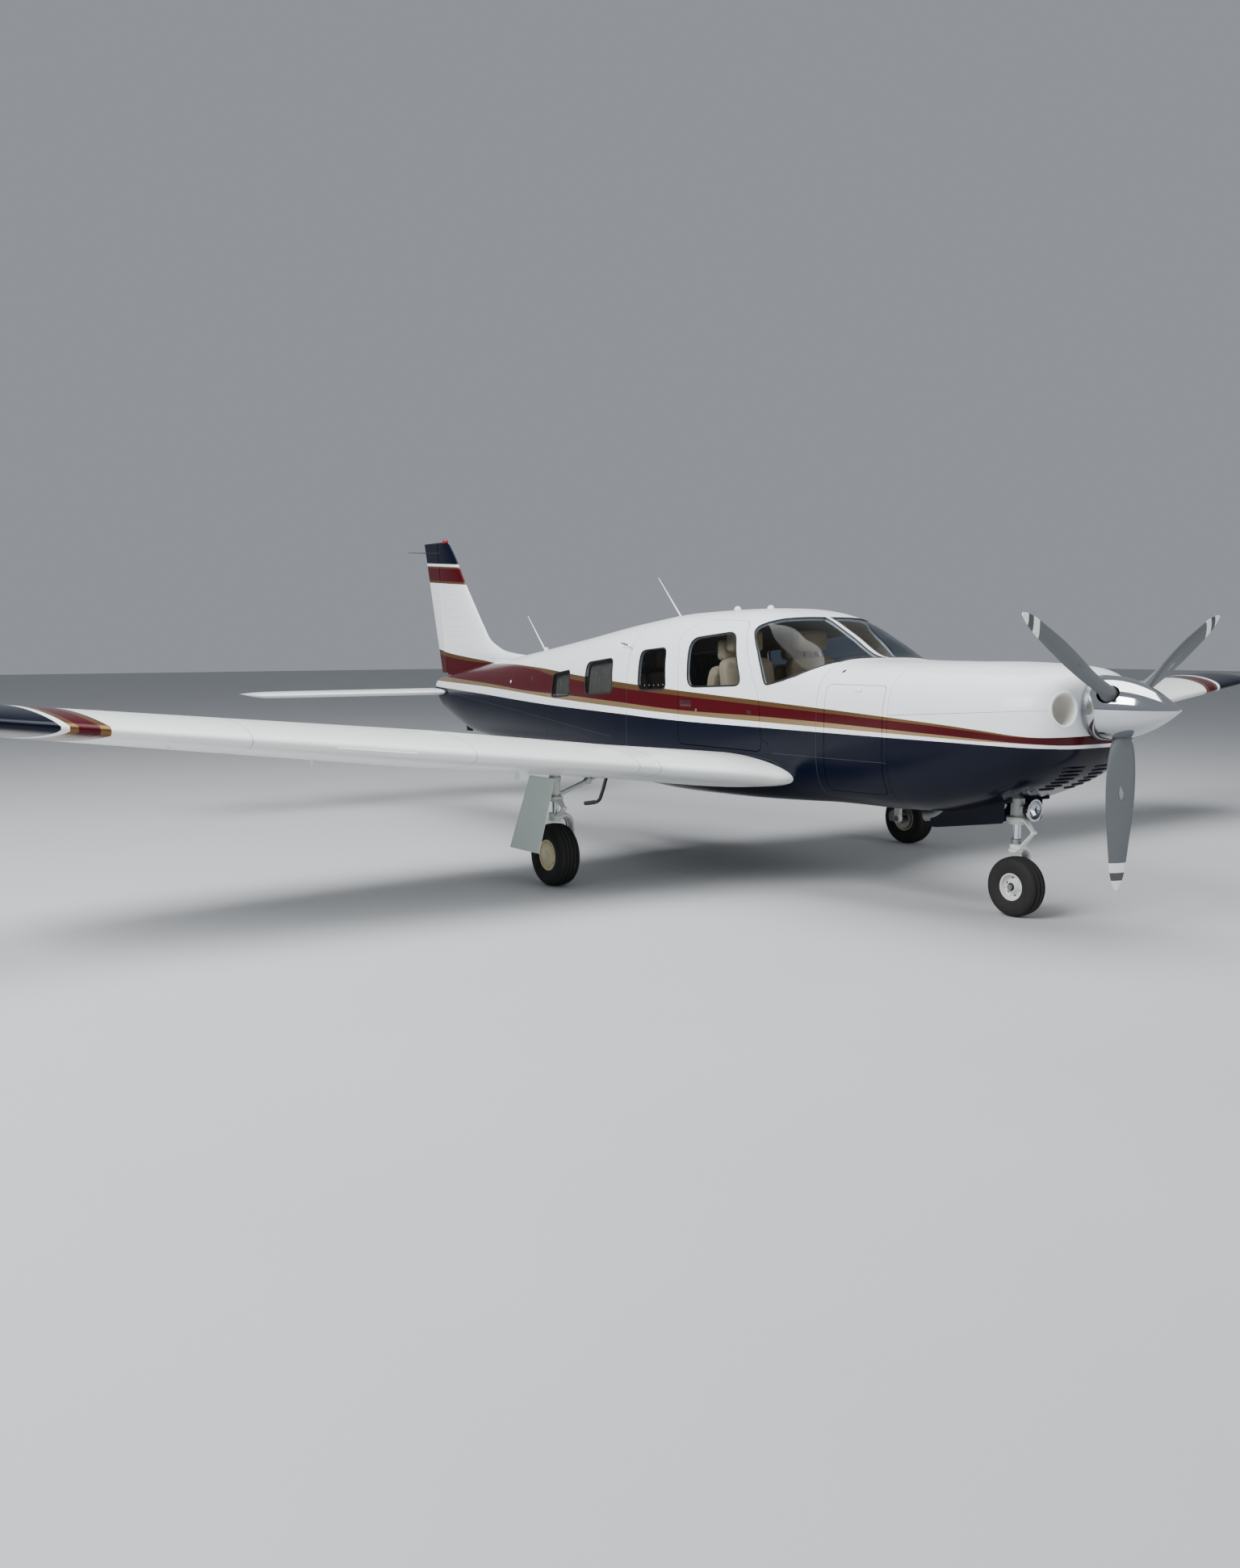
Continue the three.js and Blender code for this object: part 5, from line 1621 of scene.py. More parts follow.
@dataclass
class Wing(Foil):
    """A wing with its flap, aileron and tip.

    Args:
        side: 1 for left and -1 for right.
        skin: The fuselage skin that its root meets.
        incidence: The angle in degrees by which its nose is up.
        weights: How full its half thickness is from nose to tail, as a cubic curve's weights.
        camber: The height of its middle line, as a share of the chord.
        peak: Where the middle line is highest.
        trailing_half: Half its thickness at the trailing edge, as a share of the chord.
        flap: Side distances of the flap's ends, and the station of its hinge at each.
        aileron: The same for the aileron.
        gap: The gap beside a moving surface.
        lip_ahead: How far ahead of a hinge the fixed skin ends.
        nose_inside: How far the moving nose lies inside the skin.
        well: Inner and outer side distance, front and rear station, and roof height of the wheel well.
    """

    side: int
    skin: FuselageSkin
    incidence: float = 3.0
    weights: tuple = (1.013, 1.133, 1.867, 0.467)
    camber: float = 0.02
    peak: float = 0.4
    trailing_half: float = 0.0015
    flap: tuple = ((0.715, 3.925), (2.640, 3.925))
    aileron: tuple = ((2.790, 3.900), (4.890, 3.740))
    gap: float = 0.007
    lip_ahead: float = 0.028
    nose_inside: float = 0.003
    well: tuple = (0.900, 1.800, 3.255, 3.650, 0.790)

    def profile(self, x: Array, ratio: Array) -> tuple[Array, Array]:
        """The height of the middle line and the half thickness, as shares of the chord.

        Args:
            x: Shares of the chord.
            ratio: Thickness ratios.

        Returns:
            The middle line's heights and the half thicknesses.
        """
        a, b, c, d = self.weights
        blend = a * (1 - x) ** 3 + 3 * b * x * (1 - x) ** 2 + 3 * c * x ** 2 * (1 - x) + d * x ** 3
        half = ratio * np.sqrt(x) * (1 - x) * blend + self.trailing_half * np.minimum(1, 8 * np.sqrt(x))
        rise = 2 * self.peak * x - x * x
        middle = np.where(x < self.peak, self.camber * rise / self.peak ** 2,
                          self.camber * (1 - 2 * self.peak + rise) / (1 - self.peak) ** 2)
        return middle, half

    def row(self, u: Array) -> list:
        """Leading edge station, chord, leading edge height and thickness ratio at span distances.

        Args:
            u: Span distances.

        Returns:
            Four arrays, one for each value.
        """
        if np.min(u) > TIP_TABLE:
            values = between(TIP_ROWS * [MM, MM, MM, MM, 1], np.ravel(u))
            return [column.reshape(np.shape(u)) for column in values.T]
        return [np.interp(u, WING_ROWS[:, 0] * MM, WING_ROWS[:, k] * scale)
                for k, scale in ((1, MM), (2, MM), (3, MM), (4, 1))]

    def place(self, u: Array, c: Array) -> Array:
        """Points on the wing's skin.

        Args:
            u: Span distances.
            c: Values of c.

        Returns:
            The points.
        """
        front, chord, z, ratio = self.row(u)
        x = c * c
        middle, half = self.profile(x, ratio)
        if np.min(u) > TIP_TABLE:
            half = half * np.sqrt(np.clip(1 - np.maximum(0, (u - 5.46) / 0.05) ** 2, 0, 1))
        height = z - chord * x * math.tan(math.radians(self.incidence)) + chord * (middle + np.sign(c) * half)
        return np.stack([HALF_LENGTH - front - chord * x, self.side * u, height], axis=-1)

    def hinge_station(self, u: Array) -> Array:
        """The station of the hinge line, or of a line that joins the two outside their spans."""
        ends = (*self.flap, *self.aileron)
        return np.interp(u, [end[0] for end in ends], [end[1] for end in ends])

    def hinge(self, u: Array) -> tuple[Array, Array, Array]:
        """The hinge's points, the moving nose's radius and the value of c there.

        Args:
            u: Span distances.

        Returns:
            Points, radii and values of c.
        """
        station = self.hinge_station(u)
        front, chord, z, ratio = self.row(u)
        x = (station - front) / chord
        middle, half = self.profile(x, ratio)
        height = z - chord * x * math.tan(math.radians(self.incidence)) + chord * middle
        points = np.stack([HALF_LENGTH - station, self.side * u, height], axis=-1)
        return points, half * chord - self.nose_inside, np.sqrt(x)

    def lip(self, u: Array) -> Array:
        """The value of c where the fixed skin ends."""
        front, chord, *_ = self.row(u)
        return np.sqrt((self.hinge_station(u) - self.lip_ahead - front) / chord)

    def root_ring(self, count: int, outer: float) -> Array:
        """Rings from the fuselage skin outwards, the first one lying just inside that skin.

        Args:
            count: How many rings.
            outer: The side distance of the last one.

        Returns:
            The rings, point by point and then along the span.
        """
        c = self.section(np.array([outer]))[:, 0]
        start = np.full(len(c), 0.63)
        for _ in range(12):
            place = self.place(start, c)
            station = HALF_LENGTH - place[:, 0]
            share = self.skin.share_at_height(station, place[:, 2], 1)
            start = 0.5 * start + 0.5 * (self.skin.point(station, share)[:, 1] - 0.006)
            start = np.clip(start, 0.45, outer - 0.01)
        t = np.linspace(0, 1, count)
        spans = start[:, None] * (1 - t) + outer * t
        return self.place(spans, np.broadcast_to(c[:, None], spans.shape))

    def columns(self, low: float, high: float, step: float = 0.09) -> Array:
        """Span distances from low to high, with the table's own rows among them.

        Args:
            low: The first side distance.
            high: The last one.
            step: The longest step.

        Returns:
            The span distances.
        """
        inner = [y * MM for y in WING_ROWS[:, 0] if low + 0.02 < y * MM < high - 0.02]
        stops = [low, *inner, high]
        parts = [np.linspace(a, b, max(2, math.ceil((b - a) / step) + 1))[:-1]
                 for a, b in zip(stops, stops[1:])]
        return np.concatenate([*parts, [high]])

    def build(self, finish: dict) -> None:
        """Builds the wing, flap, aileron and tip.

        Args:
            finish: The materials by name.
        """
        word = "left" if self.side > 0 else "right"
        hair = 0.00006
        (flap_in, _), (flap_out, _) = self.flap
        (aileron_in, _), (aileron_out, _) = self.aileron
        joints = [flap_in - self.gap, flap_out + self.gap, aileron_in - self.gap, aileron_out + self.gap]
        solid = Solid()
        self.loft(solid, self.root_ring(6, joints[0] - hair))
        self.loft(solid, self.fixed(self.columns(joints[0] + hair, joints[1] - hair)))
        self.loft(solid, self.whole(self.columns(joints[1] + hair, joints[2] - hair)))
        self.loft(solid, self.fixed(self.columns(joints[2] + hair, joints[3] - hair)))
        self.loft(solid, self.whole(self.columns(joints[3] + hair, WING_END)))
        piece = solid.build(f"wing_{word}_skin", [finish["wing_paint"]])
        sides = sorted((self.side * self.well[0], self.side * self.well[1]))
        # The wheel well's lining is near-black painted shade.
        hollowed(piece, [HALF_LENGTH - self.well[3], sides[0], 0.5],
                 [HALF_LENGTH - self.well[2], sides[1], self.well[4]], finish["dark_inside"])
        fit(piece, "airframe", "pearl_paint", f"wing_{word}")
        flap = self.loft(Solid(), self.moving(self.columns(flap_in, flap_out)))
        fit(flap.build(f"flap_{word}_skin", [finish["wing_paint"]]), f"flap_{word}", "pearl_paint",
            f"flap_{word}")
        aileron = self.loft(Solid(), self.moving(self.columns(aileron_in, aileron_out)))
        fit(aileron.build(f"aileron_{word}_skin", [finish["wing_paint"]]), f"aileron_{word}",
            "pearl_paint", f"aileron_{word}")
        far = TIP_END - 0.3 * (1 - np.sin(np.linspace(0, np.pi / 2, 18)))
        tip = self.loft(Solid(), self.whole(np.maximum(far, TIP_START)))
        fit(tip.build(f"wing_tip_{word}_skin", [finish["wing_paint"]]), "airframe", "navy_paint",
            f"wing_tip_{word}")


# Height and station of the fin's leading edge, then the half thickness as a share of its most, by the
# square root of the share of the way to the hinge line
FIN_FRONT = np.array([[1440, 6120], [1509, 6911], [1553, 7059], [1608, 7182], [1734, 7307], [1937, 7483],
                      [2136, 7652], [2521, 7969], [2562, 8030]])
FIN_WIDTHS = np.array([[0, 0], [0.141, 0.30], [0.283, 0.55], [0.5, 0.88], [0.707, 1.0], [0.894, 0.92],
                       [1, 0.76]])


@dataclass
class Fin(Foil):
    """The fin and rudder with their pressed beads.

    Args:
        low: The height and station of the hinge line's foot.
        high: The height and station of its top.
        tail_low: The same for the rudder's trailing edge.
        tail_high: The same for its top.
        half_low: Half the thickness at the foot.
        half_high: Half the thickness at the top.
        nose: The rudder nose's radius as a share of the half thickness.
        lip_ahead: How far ahead of the hinge the fin's skin ends.
        bead: How high a bead stands.
        bead_half: Half a bead's width.
        beads: Heights of the beads, and how far they run ahead of the hinge line.
        root: The height up to which the leading edge stands upright inside the fuselage, and its station.
    """

    low: tuple = (1.285, 7.975)
    high: tuple = (2.535, 8.196)
    tail_low: tuple = (1.264, 8.136)
    tail_high: tuple = (2.562, 8.500)
    half_low: float = 0.058
    half_high: float = 0.026
    nose: float = 0.72
    lip_ahead: float = 0.022
    bead: float = 0.003
    bead_half: float = 0.011
    beads: tuple = ((2.09, 0.30), (2.005, 0.34), (1.92, 0.38), (1.84, 0.42), (1.75, 0.46), (1.66, 0.50),
                    (1.56, 0.54))
    root: tuple = (1.44, 6.55)
    THICK = np.array([0.0, 1.0, 0.0])

    def hinge_station(self, u: Array) -> Array:
        """The station of the hinge line, run on past its ends."""
        (z0, s0), (z1, s1) = self.low, self.high
        return s0 + (u - z0) * (s1 - s0) / (z1 - z0)

    def tail_station(self, u: Array) -> Array:
        """The station of the trailing edge."""
        (z0, s0), (z1, s1) = self.tail_low, self.tail_high
        return s0 + (u - z0) * (s1 - s0) / (z1 - z0)

    def half(self, u: Array) -> Array:
        """Half the thickness at a height, rounded over at the very top.

        Args:
            u: Heights.

        Returns:
            Half thicknesses.
        """
        foot, top = self.low[0], self.tail_high[0]
        plain = self.half_low + (u - foot) * (self.half_high - self.half_low) / (top - foot)
        return plain * np.sqrt(np.clip(1 - np.maximum(0, (u - self.high[0]) / 0.028) ** 2, 0.02, 1))

    def front_station(self, u: Array) -> Array:
        """The station of the leading edge."""
        front = between(FIN_FRONT * MM, np.ravel(u))[:, 0].reshape(np.shape(u))
        return np.where(u < self.root[0], self.root[1], front)

    def place(self, u: Array, c: Array) -> Array:
        """Points on the fin from its leading edge to its trailing edge, beads and all.

        Args:
            u: Heights.
            c: Values of c.

        Returns:
            The points.
        """
        front, hinge, tail = self.front_station(u), self.hinge_station(u), self.tail_station(u)
        x = c * c
        station = front + (tail - front) * x
        share = np.sqrt(np.clip((station - front) / (hinge - front), 0, 1))
        width = between(FIN_WIDTHS, np.ravel(share))[:, 0].reshape(np.shape(share))
        behind = np.clip((tail - station) / (tail - hinge), 0, 1)
        width = np.where(station > hinge, FIN_WIDTHS[-1, 1] * behind + 0.05 * (1 - behind), width)
        out = self.half(u) * width
        for height, reach in self.beads:
            across = np.clip(1 - ((u - height) / self.bead_half) ** 2, 0, 1) ** 2
            ahead = hinge - station
            ends = np.clip(np.minimum(ahead - 0.10, reach - ahead) / 0.03, 0, 1)
            back_ends = np.clip(np.minimum(-ahead - 0.03, ahead + (tail - hinge) - 0.04) / 0.03, 0, 1)
            out = out + self.bead * across * (ends + back_ends)
        return np.stack([HALF_LENGTH - station, np.sign(c) * out, np.broadcast_to(u, np.shape(c))], axis=-1)

    def share_of(self, u: Array, station: Array) -> Array:
        """The value of c at a station."""
        front = self.front_station(u)
        return np.sqrt((station - front) / (self.tail_station(u) - front))

    def hinge(self, u: Array) -> tuple[Array, Array, Array]:
        """The hinge's points, the rudder nose's radius and the value of c there.

        Args:
            u: Heights.

        Returns:
            Points, radii and values of c.
        """
        station = self.hinge_station(u)
        points = np.stack([HALF_LENGTH - station, np.zeros_like(u), u], axis=-1)
        return points, self.half(u) * self.nose, self.share_of(u, station)

    def lip(self, u: Array) -> Array:
        """The value of c where the fin's skin ends."""
        return self.share_of(u, self.hinge_station(u) - self.lip_ahead)

    def build(self, finish: dict) -> None:
        """Builds the fin and the rudder.

        Args:
            finish: The materials by name.
        """
        self.FRONT_ROWS, self.REAR_ROWS = 71, 24
        high = self.high[0]
        crown = high + 0.027 * np.sin(np.linspace(0.15, 1, 6) * np.pi / 2)
        columns = np.concatenate([np.linspace(1.27, 1.4399, 8), np.linspace(1.4401, 1.52, 22)[:-1],
                                  np.linspace(1.52, high, 150), crown])
        fin = self.loft(Solid(), self.fixed(columns))
        fit(fin.build("fin_skin", [finish["fin_paint"]]), "airframe", "white_paint", "fin")
        columns = np.concatenate([np.linspace(1.287, high, 180), crown])
        rudder = self.loft(Solid(), self.moving(columns))
        fit(rudder.build("rudder_skin", [finish["fin_paint"]]), "rudder", "white_paint", "rudder")


# Side distance, leading edge station, chord and half thickness, then the share of that by the value of c
TAILPLANE_ROWS = np.array([[168, 7790, 680, 32], [900, 7842, 628, 30.5], [1700, 7900, 570, 29],
                           [1880, 7925, 545, 26], [1970, 8010, 460, 12]])
TAILPLANE_WIDTHS = np.array([[0, 0], [0.2, 0.5], [0.387, 0.85], [0.592, 1], [0.837, 0.7], [1, 0.08]])


@dataclass
class Tailplane(Foil):
    """One half of the all-moving tailplane with its tab.

    Args:
        side: 1 for left and -1 for right.
        height: Its height.
        tab_inner: The side distance of the tab's inner end.
        tab_outer: The side distance of its outer end.
        tab_front: The station of the tab's hinge.
        nose: The radius of the tab's nose.
        gap: The gap beside the tab.
    """

    side: int
    height: float = 1.105
    tab_inner: float = 0.190
    tab_outer: float = 1.500
    tab_front: float = 8.345
    nose: float = 0.010
    gap: float = 0.007
    REAR_ROWS, FRONT_ROWS = 8, 41

    def row(self, u: Array) -> list:
        """Leading edge station, chord and half thickness at span distances."""
        values = between(TAILPLANE_ROWS * MM, np.ravel(u))
        return [column.reshape(np.shape(u)) for column in values.T]

    def place(self, u: Array, c: Array) -> Array:
        """Points on the tailplane's skin.

        Args:
            u: Span distances.
            c: Values of c.

        Returns:
            The points.
        """
        front, chord, half = self.row(u)
        share = between(TAILPLANE_WIDTHS, np.abs(np.ravel(c)))[:, 0].reshape(np.shape(c))
        rounding = np.sqrt(np.clip(1 - np.maximum(0, (u - 1.94) / 0.0305) ** 2, 0, 1))
        height = self.height + np.sign(c) * half * share * rounding
        return np.stack([HALF_LENGTH - front - chord * c * c, self.side * u, height], axis=-1)

    def share_of(self, u: Array, station: Array) -> Array:
        """The value of c at a station."""
        front, chord, _ = self.row(u)
        return np.sqrt((station - front) / chord)

    def hinge(self, u: Array) -> tuple[Array, Array, Array]:
        """The tab hinge's points, its nose's radius and the value of c there.

        Args:
            u: Span distances.

        Returns:
            Points, radii and values of c.
        """
        points = np.stack([np.full_like(u, HALF_LENGTH - self.tab_front), self.side * u,
                           np.full_like(u, self.height)], axis=-1)
        return points, np.full_like(u, self.nose), self.share_of(u, np.full_like(u, self.tab_front))

    def lip(self, u: Array) -> Array:
        """The value of c where the skin ahead of the tab ends."""
        return self.share_of(u, np.full_like(u, self.tab_front - self.nose - self.gap))

    def build(self, main: Solid, tab: Solid) -> None:
        """Adds this half to the tailplane and to the tab.

        Args:
            main: The tailplane.
            tab: The tab.
        """
        joint = self.tab_outer + self.gap
        self.loft(main, self.fixed(np.linspace(0.168, joint - 0.0001, 18)))
        outer = np.concatenate([np.linspace(joint, 1.94, 14)[:-1],
                                1.94 + 0.03 * np.sin(np.linspace(0, np.pi / 2, 7))])
        self.loft(main, self.whole(outer))
        self.loft(tab, self.moving(np.linspace(self.tab_inner, self.tab_outer, 16)))


@dataclass
class Tail:
    """The all-moving tailplane and its tab, in both halves, with the tube that carries them.

    Args:
        pivot: The station of the pivot.
        height: Its height.
        tube_radius: The tube's radius.
        reach: How far out the tube goes.
        yoke: The station of the bar that joins the tab's halves.
    """

    pivot: float = 7.970
    height: float = 1.105
    tube_radius: float = 0.022
    reach: float = 0.30
    yoke: float = 8.4175

    def build(self, finish: dict) -> None:
        """Builds the tailplane and the tab.

        Args:
            finish: The materials by name.
        """
        main, tab = Solid(), Solid()
        for side in (1, -1):
            Tailplane(side).build(main, tab)
        span = np.linspace(-self.reach, self.reach, 5)[:, None]
        path = span * [0, 1, 0] + [HALF_LENGTH - self.pivot, 0, self.height]
        tube(main, path, self.tube_radius, 24)
        path = span * [0, 0.66, 0] + [HALF_LENGTH - self.yoke, 0, self.height]
        tube(tab, path, 0.013, 12, flat=0.45)
        fit(main.build("tailplane_skin", [finish["white_paint"]]), "stabilator", "white_paint", "stabilator")
        fit(tab.build("tab_skin", [finish["white_paint"]]), "anti_servo_tab", "white_paint",
            "anti_servo_tab")


# Propeller
@dataclass
class SpinnerSkin:
    """The spinner's surface: a key is a distance aft of the tip, a share is an angle from straight down.

    Args:
        radius: Its radius at the base.
        rim: Where it reaches that radius.
        point_power: How pointed its tip is.
    """

    radius: float = 0.176
    rim: float = 0.455
    point_power: float = 2.0

    def radius_at(self, key: Array) -> Array:
        """The radius at a distance aft of the tip."""
        t = np.clip(key / self.rim, 0, 1)
        return self.radius * np.sqrt(1 - (1 - t) ** 2) ** self.point_power

    def around(self, key: Array, share: Array, radius: Array) -> Array:
        """Points at a radius, in the spinner's own turned places.

        Args:
            key: Distances aft of the tip.
            share: Angles as shares of a half turn.
            radius: Radii.

        Returns:
            The points.
        """
        turn = np.asarray(share) * np.pi - np.pi / 2
        key, turn, radius = np.broadcast_arrays(key, turn, radius)
        return np.stack([HALF_LENGTH - key, radius * np.cos(turn), PROP_HEIGHT + radius * np.sin(turn)], -1)

    def point(self, key: Array, share: Array) -> Array:
        """Points on the spinner."""
        return self.around(key, share, self.radius_at(np.asarray(key)))

    def normal(self, key: Array, share: Array) -> Array:
        """Outward directions.

        Args:
            key: Distances aft of the tip.
            share: Angles as shares of a half turn.

        Returns:
            Directions of length one.
        """
        key = np.asarray(key)
        slope = (self.radius_at(key + 0.002) - self.radius_at(np.maximum(key - 0.002, 0))) / 0.004
        out = self.around(key * 0, share, np.ones_like(key)) - [HALF_LENGTH, 0, PROP_HEIGHT]
        return unit(out + slope[..., None] * [1.0, 0.0, 0.0])


# Radius, chord, thickness and angle from the disc's plane
BLADE_ROWS = np.array([[110, 92, 92, 40], [165, 96, 88, 38], [200, 120, 70, 37], [275, 146, 44, 34],
                       [365, 162, 28, 30], [450, 168, 22, 27], [580, 162, 17, 23], [690, 142, 14, 20],
                       [800, 121, 11, 18], [860, 107, 9, 17], [915, 86, 8, 17], [955, 58, 6, 17],
                       [989, 20, 5, 17]])


@dataclass
class Propeller:
    """Spinner, three blades and their hub.

    Args:
        station: The station of the disc.
        angles: The blades' angles from the left, in degrees.
        hole_ahead: How far a blade's hole in the spinner reaches ahead and behind.
        base: The station of the plate at the spinner's back.
        badge: Where a blade's plain metal oval lies along it, its half length and its half width.
    """

    station: float = 0.348
    angles: tuple = (-90, 30, 150)
    hole_ahead: float = 0.062
    base: float = 0.484
    badge: tuple = (0.453, 0.0415, 0.0135)

    def build(self, finish: dict) -> None:
        """Builds the spinner, back plate, hub and blades.

        Args:
            finish: The materials by name.
        """
        skin = SpinnerSkin()
        keys = np.linspace(0.0004, skin.rim, 40)
        turn = np.linspace(0, 2 * np.pi, 48, endpoint=False)
        holes = []
        for angle in self.angles:
            key = self.station + self.hole_ahead * np.cos(turn)
            middle = (angle + 90 + 180) % 360 / 180 - 1
            side = np.arcsin(0.88 * self.hole_ahead * np.sin(turn) / skin.radius_at(key)) / np.pi
            holes.append(np.column_stack([key, (middle + side) * GIRTH]))
        shell = Shell("spinner_shell", skin, strip(keys, np.full(40, -1.0), np.full(40, 1.0)), holes,
                      spacing=0.024, depth=0.003)
        # The spinner's inner faces are near-black painted shade.
        shell = shell.build([finish["polished_metal"], finish["dark_inside"]], inner=1)
        fit(shell, "propeller", "polished_metal", "spinner")
        plate = Solid()
        profile = [[0.05, skin.rim - 0.01], [0.174, skin.rim - 0.01], [0.1765, skin.rim],
                   [0.1765, self.base - 0.002], [0.174, self.base], [0.082, self.base],
                   [0.078, 0.59], [0.0, 0.59]]
        revolved(plate, profile, [HALF_LENGTH, 0, PROP_HEIGHT], [-1, 0, 0], 96)
        plate = plate.build("spinner_plate", [finish["steel"]], crease=30)
        fit(plate, "propeller", "polished_metal")
        # The hub inside the spinner is near-black painted shade, seen through the blade holes.
        hub = Solid()
        turn = np.linspace(0, np.pi, 24)
        profile = np.column_stack([0.112 * np.sin(turn), self.station - 0.10 * np.cos(turn)])
        revolved(hub, profile, [HALF_LENGTH, 0, PROP_HEIGHT], [-1, 0, 0], 48)
        fit(hub.build("propeller_hub", [finish["dark_inside"]]), "propeller", "polished_metal")
        for number, angle in enumerate(self.angles, 1):
            self.blade(number, math.radians(angle), finish)

    def blade(self, number: int, turn: float, finish: dict) -> None:
        """One blade: rings that go from a round shank to a thin, twisted section with a sharp rear edge.

        Args:
            number: The blade's number, for the names.
            turn: Its angle.
            finish: The materials by name.
        """
        radius = np.concatenate([np.linspace(0.110, 0.30, 14)[:-1], np.linspace(0.30, 0.93, 40)[:-1],
                                 0.93 + 0.0598 * np.sin(np.linspace(0, np.pi / 2, 12))])
        chord, thick, pitch = between(BLADE_ROWS * [MM, MM, MM, 1], radius).T
        pitch = np.radians(pitch)[None]
        a = np.linspace(0, 2 * np.pi, 48, endpoint=False)[:, None]
        flat = np.clip((radius - 0.2) / 0.15, 0, 1)[None]
        u = chord[None] / 2 * np.cos(a)
        v = thick[None] / 2 * np.sin(a) * (1 + 0.45 * flat * np.cos(a)) * np.where(
            np.sin(a) > 0, 1 + 0.25 * flat, 1 - 0.45 * flat)
        across = u * np.cos(pitch) - v * np.sin(pitch)
        ahead = u * np.sin(pitch) + v * np.cos(pitch)
        reach = np.broadcast_to(radius[None], u.shape)
        y = reach * math.cos(turn) - across * math.sin(turn)
        z = reach * math.sin(turn) + across * math.cos(turn)
        rings = np.stack([HALF_LENGTH - self.station + ahead, y, PROP_HEIGHT + z], axis=-1)
        solid = Solid().grid(rings, 0, (True, False))
        for column in (0, -1):
            solid.fan(rings[:, column], rings[:, column].mean(axis=0))
        piece = solid.build(f"propeller_blade_{number}_metal", [finish["blade_paint"]])
        fit(piece, "propeller", "blade_paint", f"propeller_blade_{number}")
        _, thick, pitch = between(BLADE_ROWS * [MM, MM, MM, 1], np.array([self.badge[0]]))[0]
        lean = math.radians(pitch)
        outward = np.array([0, math.cos(turn), math.sin(turn)])
        wide, front = np.array([0, -math.sin(turn), math.cos(turn)]), np.array([1.0, 0, 0])
        normal = front * math.cos(lean) - wide * math.sin(lean)
        disc = np.array([HALF_LENGTH - self.station, 0, PROP_HEIGHT])
        place = disc + outward * self.badge[0] + normal * thick * 0.625
        around = np.linspace(0, 2 * np.pi, 40, endpoint=False)
        oval = np.column_stack([self.badge[1] * np.cos(around), self.badge[2] * np.sin(around)])
        badge = slab(Solid(), oval, place, outward, wide * math.cos(lean) + front * math.sin(lean), 0.0016)
        fit(badge.build(f"blade_{number}_oval", [finish["steel"]]), "propeller", "blade_paint")


# Landing gear
UP, OUT, AFT = np.array([0.0, 0.0, 1.0]), np.array([0.0, 1.0, 0.0]), np.array([-1.0, 0.0, 0.0])


def boss(solid: Solid, start: Array, end: Array, radius: float, finish: int = 0, segments: int = 28,
         soft: float = 0.002) -> Solid:
    """A round bar between two points, with softened rims.

    Args:
        solid: What it is added to.
        start: Where it starts.
        end: Where it ends.
        radius: Its radius.
        finish: The number of the finish.
        segments: Steps round it.
        soft: How far its rims are cut back.

    Returns:
        The solid.
    """
    start, end = np.asarray(start, float), np.asarray(end, float)
    length = float(np.linalg.norm(end - start))
    soft = min(soft, length * 0.3)
    profile = [[0, 0], [radius - soft, 0], [radius, soft], [radius, length - soft],
               [radius - soft, length], [0, length]]
    return revolved(solid, profile, start, (end - start) / length, segments, finish)


